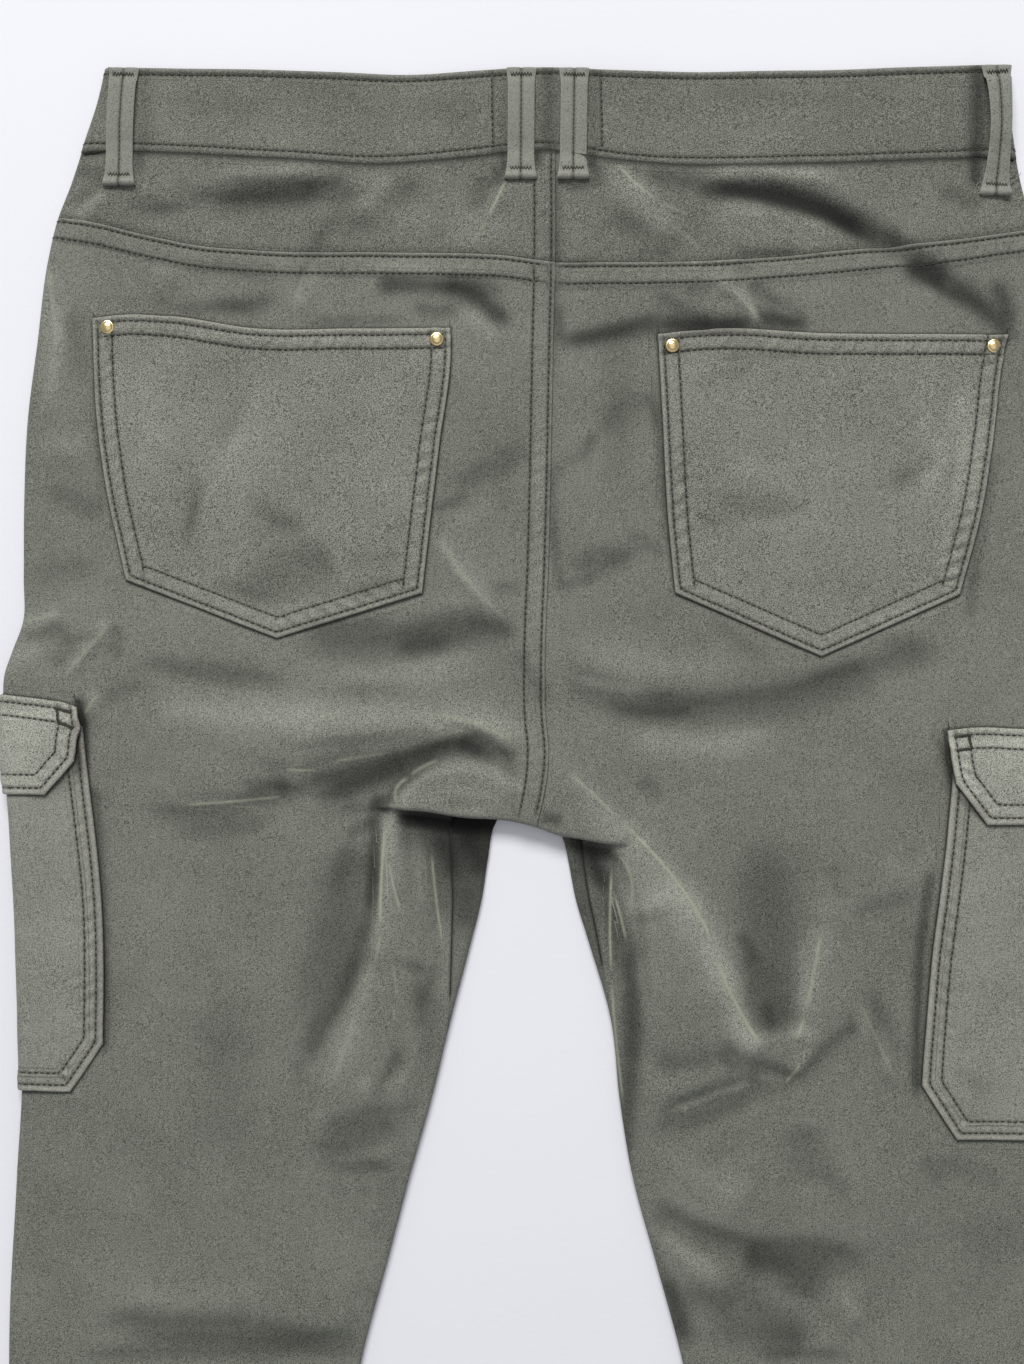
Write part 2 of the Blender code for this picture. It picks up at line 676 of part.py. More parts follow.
def band_half(side, share, out):
    """One row of the back waistband, from the centre to the side seam."""
    def line(x):
        return float(mix(curve(BAND_TOP, x), curve(BAND_FOOT, x) + SEAM_GAP / 2, share))

    edge_y = line(side.sign * BAND_SIDE)
    hub = float(side.edge_x(edge_y)) - side.sign * BAND_RADIUS
    height = band_height(side)
    row = []
    for x in np.linspace(CENTRE_BACK[0][1], hub, BAND_COLUMNS + 1):
        row.append(np.array([x, line(x), float(height(x, line(x))) + out]))
    quarter = BAND_RADIUS * math.pi / 2
    for part in FOLD_SHARES[1:]:
        row.append(outer_wrap(side, edge_y, quarter * part, out, BAND_RADIUS, height))
    seam_x = float(curve(side.side_seam, edge_y)) + side.sign * SEAM_GAP / 2
    row.append(np.array([seam_x, edge_y, float(lift(seam_x, edge_y)) - out]))
    return row


def back_band():
    """Waistband across the back, folded under at both sides."""
    def grid(out):
        rows = []
        for step in range(BAND_ROWS + 1):
            share = step / BAND_ROWS
            rows.append(band_half(LEFT, share, out)[:0:-1] + band_half(RIGHT, share, out))
        return (np.array(rows),)

    return sheet("waistband_back", grid, BAND_WALL)


def front_band(side):
    """Waistband across one half of the front, flat on the table."""
    def grid(out):
        rows = []
        for step in range(BAND_ROWS + 1):
            drop = (FRONT_BAND_DEPTH - SEAM_GAP / 2) * step / BAND_ROWS
            side_y = float(curve(FRONT_BAND_TOP, side.sign * 200.0)) - drop
            end = float(curve(side.side_seam, side_y)) - side.sign * SEAM_GAP / 2
            row = []
            for x in np.linspace(side.sign * SEAM_GAP / 2, end, FRONT_COLUMNS + 1):
                y = float(curve(FRONT_BAND_TOP, x)) - drop
                row.append([x, y, float(lift(x, y)) - out])
            rows.append(row)
        return (np.array(rows),)

    return sheet("waistband_front_" + side.name, grid, BAND_WALL, side.sign > 0)


FLY_TOP_Y = 464.0
FLY_FOOT_Y = 318.0
FLY_COLUMNS = (-14.0, 5.0, 24.0)


def fly_shield():
    """Strip behind the centre front opening, under the zip."""
    def grid(out):
        rows = []
        for y in np.linspace(FLY_TOP_Y, FLY_FOOT_Y, 8):
            rows.append([[x, y, float(lift(x, y)) + WALL + POCKET_STEP + out] for x in FLY_COLUMNS])
        return (np.array(rows),)

    return sheet("fly_shield", grid, WALL)


# ---------------------------------------------------------------- pockets and flaps
def spaced(corners, count):
    """Points at equal shares of a line's length."""
    corners = np.array(corners, dtype=float)
    length = np.concatenate([[0], np.cumsum(np.hypot(*np.diff(corners, axis=0).T))])
    at = np.linspace(0, length[-1], count + 1)
    return np.stack([np.interp(at, length, corners[:, i]) for i in (0, 1)], axis=-1)


def back_pocket(side, outline):
    """Patch pocket with a pointed foot, lying on the seat."""
    half = POCKET_COLUMNS // 2
    head = spaced(outline["top"], POCKET_COLUMNS)
    to_point = spaced(outline["foot"][:2], half)
    from_point = spaced(outline["foot"][1:], half)
    foot = np.concatenate([to_point, from_point[1:]])
    start = spaced(outline["start"], POCKET_ROWS)
    end = spaced(outline["end"], POCKET_ROWS)

    def grid(out):
        points = np.empty((POCKET_ROWS + 1, POCKET_COLUMNS + 1, 3))
        for r in range(POCKET_ROWS + 1):
            v = r / POCKET_ROWS
            for c in range(POCKET_COLUMNS + 1):
                u = c / POCKET_COLUMNS
                ruled = mix(head[c], foot[c], v) + mix(start[r], end[r], u)
                corner = mix(mix(head[0], head[-1], u), mix(foot[0], foot[-1], u), v)
                x, y = ruled - corner
                points[r, c] = (x, y, float(top(side, x, y)) + POCKET_STEP + out)
        return (points,)

    return sheet("back_pocket_" + side.name, grid, WALL)


def rivet(name, x, y):
    """Domed rivet through a pocket corner."""
    side = LEFT if x < 0 else RIGHT
    ring = [(x + RIVET_RADIUS * a, y + RIVET_RADIUS * b) for a in (-1, 0, 1) for b in (-1, 0, 1)]
    seat = max(float(top(side, px, py)) for px, py in ring) + POCKET_STEP + SEAM_GAP / 2
    profile = [(0.0, 0.0)]
    profile.append((RIVET_RADIUS * 0.94, 0.0))
    profile.append((RIVET_RADIUS, RIVET_HEIGHT * 0.25))
    profile.append((RIVET_RADIUS * 0.82, RIVET_HEIGHT * 0.72))
    profile.append((RIVET_RADIUS * 0.45, RIVET_HEIGHT * 0.95))
    profile.append((0.0, RIVET_HEIGHT))
    return turned(name, profile, (x, y, seat), 14, material(name, METAL_COLOR, 0.25, 1.0))


def wrapped_patch(name, side, end_line, head_y, corner_y, foot_y, step_off, rows):
    """Patch round the outer fold, with a cut corner at each end of its foot.

    step_off(y) says how far the patch's outer face stands off the trouser leg.
    """
    quarter = FOLD_RADIUS * math.pi / 2
    far_x = under_limit(side)

    def grid(out):
        points = []
        for r in range(rows + 1):
            end_y = mix(head_y, corner_y, r / rows)
            mid_y = mix(head_y, foot_y, r / rows)
            end_run = float(run_from_edge(side, curve(end_line, end_y), end_y))
            far_run = -float(side.sign * (side.edge_x(end_y) - far_x) - FOLD_RADIUS + quarter)
            runs = [end_run - CARGO_CHAMFER, (end_run - CARGO_CHAMFER + quarter) / 2]
            runs += [quarter * share for share in FOLD_SHARES]
            runs += [(-quarter + far_run + CARGO_CHAMFER) / 2, far_run + CARGO_CHAMFER]
            row = [outer_wrap(side, end_y, end_run, step_off(end_y) + out)]
            row += [outer_wrap(side, mid_y, run, step_off(mid_y) + out) for run in runs]
            row.append(outer_wrap(side, end_y, far_run, step_off(end_y) + out))
            points.append(row)
        return (np.array(points),)

    return sheet(name, grid, WALL, side.sign < 0)


def mouth_y(side):
    """Height of the cargo pocket's mouth, hidden under the flap."""
    return min(CARGO_MOUTH_Y, side.flap["top_y"] - FLAP_STEP_Y)


def cargo_pocket(side):
    """Patch pocket over the side seam, half of it under the leg."""
    cargo = side.cargo
    return wrapped_patch("cargo_pocket_" + side.name, side, cargo["edge"], mouth_y(side),
                         cargo["corner_y"], cargo["foot_y"], lambda y: POCKET_STEP, 11)


def cargo_flap(side):
    """Flap sewn to the leg above the pocket's mouth, lying over it."""
    flap = side.flap
    mouth = mouth_y(side)
    return wrapped_patch("cargo_flap_" + side.name, side, flap["edge"], flap["top_y"],
                         flap["corner_y"], flap["foot_y"],
                         lambda y: POCKET_STEP * (2 - ease(mouth + 3.0, mouth + 8.0, y)), 7)


# ---------------------------------------------------------------- loops and button
HOOK_DEPTH = 4.2           # how far a belt loop turns down over the band's top edge


def belt_loop(name, head_x, foot_x, foot_y):
    """Folded strip over the waistband, tacked over its top edge and to the yoke."""
    side = LEFT if head_x < -50 else RIGHT
    head_y = float(curve(BAND_TOP, head_x))
    band_foot = float(curve(BAND_FOOT, foot_x)) + SEAM_GAP / 2
    height = band_height(side)
    off = SEAM_GAP + LOOP_WALL
    # Rows of y, drop below the band's face, lean of the face.
    stations = [(head_y + off, HOOK_DEPTH, 90), (head_y + off, 0.9, 66), (head_y + 1.1, 0.0, 22)]
    stations += [(y, 0.0, 0) for y in np.linspace(head_y - 4.0, band_foot, 5)]
    stations += [(band_foot - 6.0, 0.0, 0), (foot_y, 0.0, 0)]

    def grid(out):
        rows = []
        for y, drop, lean in stations:
            share = (head_y - min(y, head_y)) / (head_y - foot_y)
            arch = LOOP_ARCH * math.sin(math.pi * min(1.0, share * 1.15))
            turn = math.radians(lean)
            row = []
            for step in (-1, -0.35, 0.35, 1):
                x = mix(head_x, foot_x, share) + LOOP_HALF_WIDTH * step
                if y < band_foot - 1.0:
                    place = float(top(side, x, y)) + off + out
                else:
                    face = float(height(x, min(y, head_y))) + off
                    place = face + arch - drop + out * math.cos(turn)
                row.append([x, y + out * math.sin(turn), place])
            rows.append(row)
        return (np.array(rows),)

    return sheet(name, grid, LOOP_WALL)


def waist_button():
    """Shank button at the centre front, under the waistband."""
    profile = [(0.0, 0.0), (BUTTON_RADIUS * 0.9, 0.0), (BUTTON_RADIUS, BUTTON_HEIGHT * 0.3)]
    profile += [(BUTTON_RADIUS, BUTTON_HEIGHT * 0.7), (BUTTON_RADIUS * 0.9, BUTTON_HEIGHT)]
    profile.append((0.0, BUTTON_HEIGHT))
    look = material("waist_button", METAL_COLOR, 0.3, 1.0)
    return turned("waist_button", profile, (0.0, BUTTON_Y, 0.0), 16, look)


# ---------------------------------------------------------------- assembly
for half, columns in ((LEFT, 2), (RIGHT, 1)):
    back_panel(half, columns)
    front_panel(half)
    yoke(half, columns)
    front_band(half)
    back_pocket(half, LEFT_POCKET if half is LEFT else RIGHT_POCKET)
    cargo_pocket(half)
    cargo_flap(half)
back_band()
fly_shield()
waist_button()
for rivet_name, (rivet_x, rivet_y) in RIVETS.items():
    rivet(rivet_name, rivet_x, rivet_y)
for loop_name, (loop_head_x, loop_foot_x, loop_foot_y) in LOOPS.items():
    belt_loop(loop_name, loop_head_x, loop_foot_x, loop_foot_y)
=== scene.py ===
import math

import bpy
import numpy as np
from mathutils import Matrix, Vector


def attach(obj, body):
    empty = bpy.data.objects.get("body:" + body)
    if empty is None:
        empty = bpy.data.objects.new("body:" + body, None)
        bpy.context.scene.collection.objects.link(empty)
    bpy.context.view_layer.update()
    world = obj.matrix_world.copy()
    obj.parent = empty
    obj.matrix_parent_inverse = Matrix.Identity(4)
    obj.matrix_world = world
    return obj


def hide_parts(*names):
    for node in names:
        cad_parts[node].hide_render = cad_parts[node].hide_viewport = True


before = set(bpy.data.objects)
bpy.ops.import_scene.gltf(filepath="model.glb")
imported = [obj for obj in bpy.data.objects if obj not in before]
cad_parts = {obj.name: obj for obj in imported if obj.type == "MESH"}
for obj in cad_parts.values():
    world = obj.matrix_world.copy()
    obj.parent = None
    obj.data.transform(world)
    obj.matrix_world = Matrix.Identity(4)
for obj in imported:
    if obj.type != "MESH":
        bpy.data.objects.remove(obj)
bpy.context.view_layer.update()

# ================================================================ table, lamps and view
# A matt white table top that the trousers lie on. Soft lamps stand behind the waist and
# above, and the view looks straight down on the seat.
MM = 0.001
TABLE_HALF = 4.0
TABLE_WHITE = (0.845, 0.850, 0.895)


def node(tree, kind, values=(), **settings):
    """A shader node with settings, and values or links for its inputs."""
    made = tree.nodes.new(kind)
    for key, value in settings.items():
        setattr(made, key, value)
    for key, value in dict(values).items():
        if isinstance(value, bpy.types.NodeSocket):
            tree.links.new(value, made.inputs[key])
        else:
            made.inputs[key].default_value = value
    return made


def sums(tree, operation, *terms, clamp=False):
    """Output of a Math node."""
    result = node(tree, "ShaderNodeMath", dict(enumerate(terms)), operation=operation, use_clamp=clamp)
    return result.outputs[0]


def noise(tree, point, scale, detail, **more):
    """Output of a Noise Texture node."""
    values = {"Vector": point, "Scale": scale, "Detail": detail, **more}
    return node(tree, "ShaderNodeTexNoise", values).outputs[0]


def blended(tree, factor, first, second):
    """Output of a colour Mix node."""
    values = {0: factor, 6: first, 7: second}
    return node(tree, "ShaderNodeMix", values, data_type="RGBA", blend_type="MIX").outputs[2]


def finish(name, shader_values):
    """A material with a Principled shader, and its node tree."""
    made = bpy.data.materials.new(name)
    made.use_nodes = True
    shader = made.node_tree.nodes["Principled BSDF"]
    for key, value in shader_values.items():
        shader.inputs[key].default_value = value
    return made, made.node_tree, shader


def coated(tree, shader, color, height, strength, distance):
    """Give a shader its colour, and a fine relief from a height."""
    tree.links.new(color, shader.inputs["Base Color"])
    bump = node(tree, "ShaderNodeBump", {"Height": height, "Strength": strength, "Distance": distance})
    tree.links.new(bump.outputs[0], shader.inputs["Normal"])


def table_paint():
    made, tree, shader = finish("table white", {"Roughness": 0.8, "Specular IOR Level": 0.2})
    point = node(tree, "ShaderNodeTexCoord").outputs["Object"]
    broad, fine = noise(tree, point, 3.0, 2.0), noise(tree, point, 420.0, 2.0)
    deeper = tuple(value * 0.94 for value in TABLE_WHITE) + (1,)
    coated(tree, shader, blended(tree, broad, TABLE_WHITE + (1,), deeper), fine, 0.12, 0.0006)
    return made


def table_top():
    mesh = bpy.data.meshes.new("table")
    corners = [(x * TABLE_HALF, y * TABLE_HALF, 0) for x, y in ((-1, -1), (1, -1), (1, 1), (-1, 1))]
    mesh.from_pydata(corners, [], [(0, 1, 2, 3)])
    mesh.materials.append(table_paint())
    table = bpy.data.objects.new("table", mesh)
    bpy.context.collection.objects.link(table)


def lamp(name, place, aim, width, depth, power, color):
    light = bpy.data.lights.new(name, "AREA")
    light.shape = "RECTANGLE"
    light.size = width
    light.size_y = depth
    light.energy = power
    light.color = color
    made = bpy.data.objects.new(name, light)
    made.location = place
    made.rotation_euler = (Vector(aim) - Vector(place)).to_track_quat("-Z", "Y").to_euler()
    bpy.context.collection.objects.link(made)


table_top()
lamp("window", (-0.5, 3.1, 2.8), (0.0, 0.1, 0.0), 2.1, 1.3, 146.0, (1.0, 0.99, 0.97))
lamp("ceiling", (0.1, 0.1, 2.3), (0.0, 0.1, 0.0), 2.2, 2.2, 8.0, (0.97, 0.98, 1.0))
sky = bpy.data.worlds.new("room")
sky.use_nodes = True
sky.node_tree.nodes["Background"].inputs[0].default_value = (0.93, 0.94, 1.0, 1)
sky.node_tree.nodes["Background"].inputs[1].default_value = 0.33
bpy.context.scene.world = sky
bpy.context.scene.view_settings.view_transform = "Standard"

VIEW_CENTRE = (-0.0152, 0.2366)
VIEW_HEIGHT = 0.755
VIEW_LENS = 43.0
view = bpy.data.cameras.new("view")
view.lens = VIEW_LENS
view.sensor_width = 36.0
view.clip_start = 0.01
camera = bpy.data.objects.new("view", view)
camera.location = (*VIEW_CENTRE, VIEW_HEIGHT)
bpy.context.collection.objects.link(camera)
bpy.context.scene.camera = camera

# ================================================================ fronts
# Two fronts of the same stretch cotton sateen, face down on the table. Each reaches round
# the inner leg to the inseam, where it is sewn to the back, and both meet at the fly.
WALL = 1.2
SEAM_GAP = 0.3
INSEAM_GAP = 0.5
FOLD_RADIUS = 2.5
# Cloth that a quarter of a fold takes up beyond its radius, as a share of it.
QUARTER_SPARE = 0.57
HEM_Y = -521.7
# Below the thigh the mesh is coarser.
FINE_END_Y = -92.0
POCKET_STEP = WALL + SEAM_GAP
BUTTON_HEIGHT = 2.0
BUTTON_Y = 489.0

# Outlines: rows of y, x.
LEFT_EDGE = (
    (520.5, -202.6), (504, -206.4), (486, -212.3), (467, -218.4), (449, -225.2),
    (431, -229.4), (394, -234.2), (357, -238.8), (320, -240.4), (284, -240.6),
    (264, -240.6), (251, -245.0), (240, -248.6), (228, -249.2), (191, -245.8), (155, -243.6),
    (100, -241.6), (49, -241.0), (8, -243.6), (-47, -246.8), (-160, -247),
    (-300, -251), (-420, -258), (HEM_Y, -264.5),
)
RIGHT_EDGE = (
    (520.5, 214.2), (504, 214.2), (486, 216.2), (467, 219.6), (449, 224.5),
    (431, 228.6), (394, 233.6), (357, 237.9), (320, 239.8), (284, 240.4),
    (264, 241.0), (246, 245.6), (228, 247.2), (191, 246.4), (155, 245.2),
    (100, 243.6), (49, 243.0), (8, 244.8), (-47, 247.5), (-160, 247.5),
    (-300, 251), (-420, 258), (HEM_Y, 264.5),
)
LEFT_INNER = (
    (185, -8.6), (181, -15.5), (173, -21.8), (155, -26.2), (136, -29.2), (118, -33.7),
    (81, -43.4), (44, -52.4), (8, -62.5), (-29, -72.2), (-75, -84.4), (-160, -96),
    (-300, -109), (-420, -123), (HEM_Y, -135.7),
)
RIGHT_INNER = (
    (185, -5.4), (181, 0.5), (173, 5.2), (165, 8.3), (155, 10.6), (136, 14.3),
    (118, 19.8), (81, 30.4), (44, 34.5), (8, 40.5), (-29, 50.6), (-75, 63.0),
    (-160, 78), (-300, 101), (-420, 119), (HEM_Y, 134.0),
)
CENTRE_FRONT = ((520, 0.0), (360, -1.0), (186, -7.0))
# Lines across the garment: rows of x, y.
FRONT_BAND_TOP = ((-210, 518.0), (-120, 510.0), (0, 506.0), (120, 510.0), (210, 519.0))
FRONT_BAND_DEPTH = 38.0
LIP_LINE = (
    (-255, 186.0), (-200, 185.0), (-110, 181.5), (-67, 178.2), (-56, 177.2),
    (-36, 174.2), (-21, 173.4), (-11, 171.8), (-3.8, 169.8), (6, 166.3),
    (17, 164.4), (29, 162.4), (45, 162.6), (70, 166.0), (120, 173.0), (255, 186.0),
)
# Inseam: rows of y, length of cloth from the extreme of the inner fold, up on the top side.
LEFT_INSEAM = (
    (176, 22.4), (166, 20.3), (127, 12.4), (96, 5.4), (79, 1.6), (60, -0.8), (44, -2.8),
    (26, -4.8), (6, -6.2), (-20, -6.6), (HEM_Y, -6.6),
)
RIGHT_INSEAM = (
    (176, 11.0), (166, 9.2), (127, 6.6), (105, 4.0), (84, 1.4), (64, -0.9), (44, -3.0),
    (26, -4.9), (6, -6.2), (-20, -6.6), (HEM_Y, -6.6),
)
# Side seam under the garment: rows of y, x.
LEFT_SIDE_SEAM = ((521, -188), (430, -206), (300, -219), (100, -222), (-100, -226), (HEM_Y, -248))
RIGHT_SIDE_SEAM = ((521, 199), (430, 213), (300, 226), (100, 228), (-100, 230), (HEM_Y, 249))
# Cargo pockets and flaps: rows of y, x of the back end, and the other sizes.
CARGO_WIDTH = 150.0
CARGO_CHAMFER = 15.0
CARGO_MOUTH_Y = 217.0
LEFT_CARGO = {
    "edge": ((217, -211.2), (183, -207.5), (152, -204.2), (122, -202.4), (71, -202.4)),
    "corner_y": 71.5, "foot_y": 49.4,
}
RIGHT_CARGO = {
    "edge": ((217, 186.6), (186, 185.4), (161, 183.1), (130, 179.4), (94, 175.7), (52, 172.5)),
    "corner_y": 52.2, "foot_y": 27.5,
}
LEFT_FLAP = {
    "edge": (
        (229, -214.2), (224.6, -213.5), (217.6, -211.7), (211.5, -213.1), (204, -213.9), (200.4, -214.6),
    ),
    "top": (
        (-264, 230.9), (-250.7, 230.7), (-239.2, 229.5), (-227.7, 228.2), (-217.7, 226.4), (-213.9, 224.8),
    ),
    "top_y": 228.0, "corner_y": 200.8, "foot_y": 185.5,
}
RIGHT_FLAP = {
    "edge": ((215, 183.6), (203, 184.5), (189, 187.2)),
    "top": ((182.7, 214.0), (190.4, 215.2), (202.2, 215.6), (212.7, 215.1), (264, 213.6)),
    "top_y": 214.8, "corner_y": 190.6, "foot_y": 171.8,
}
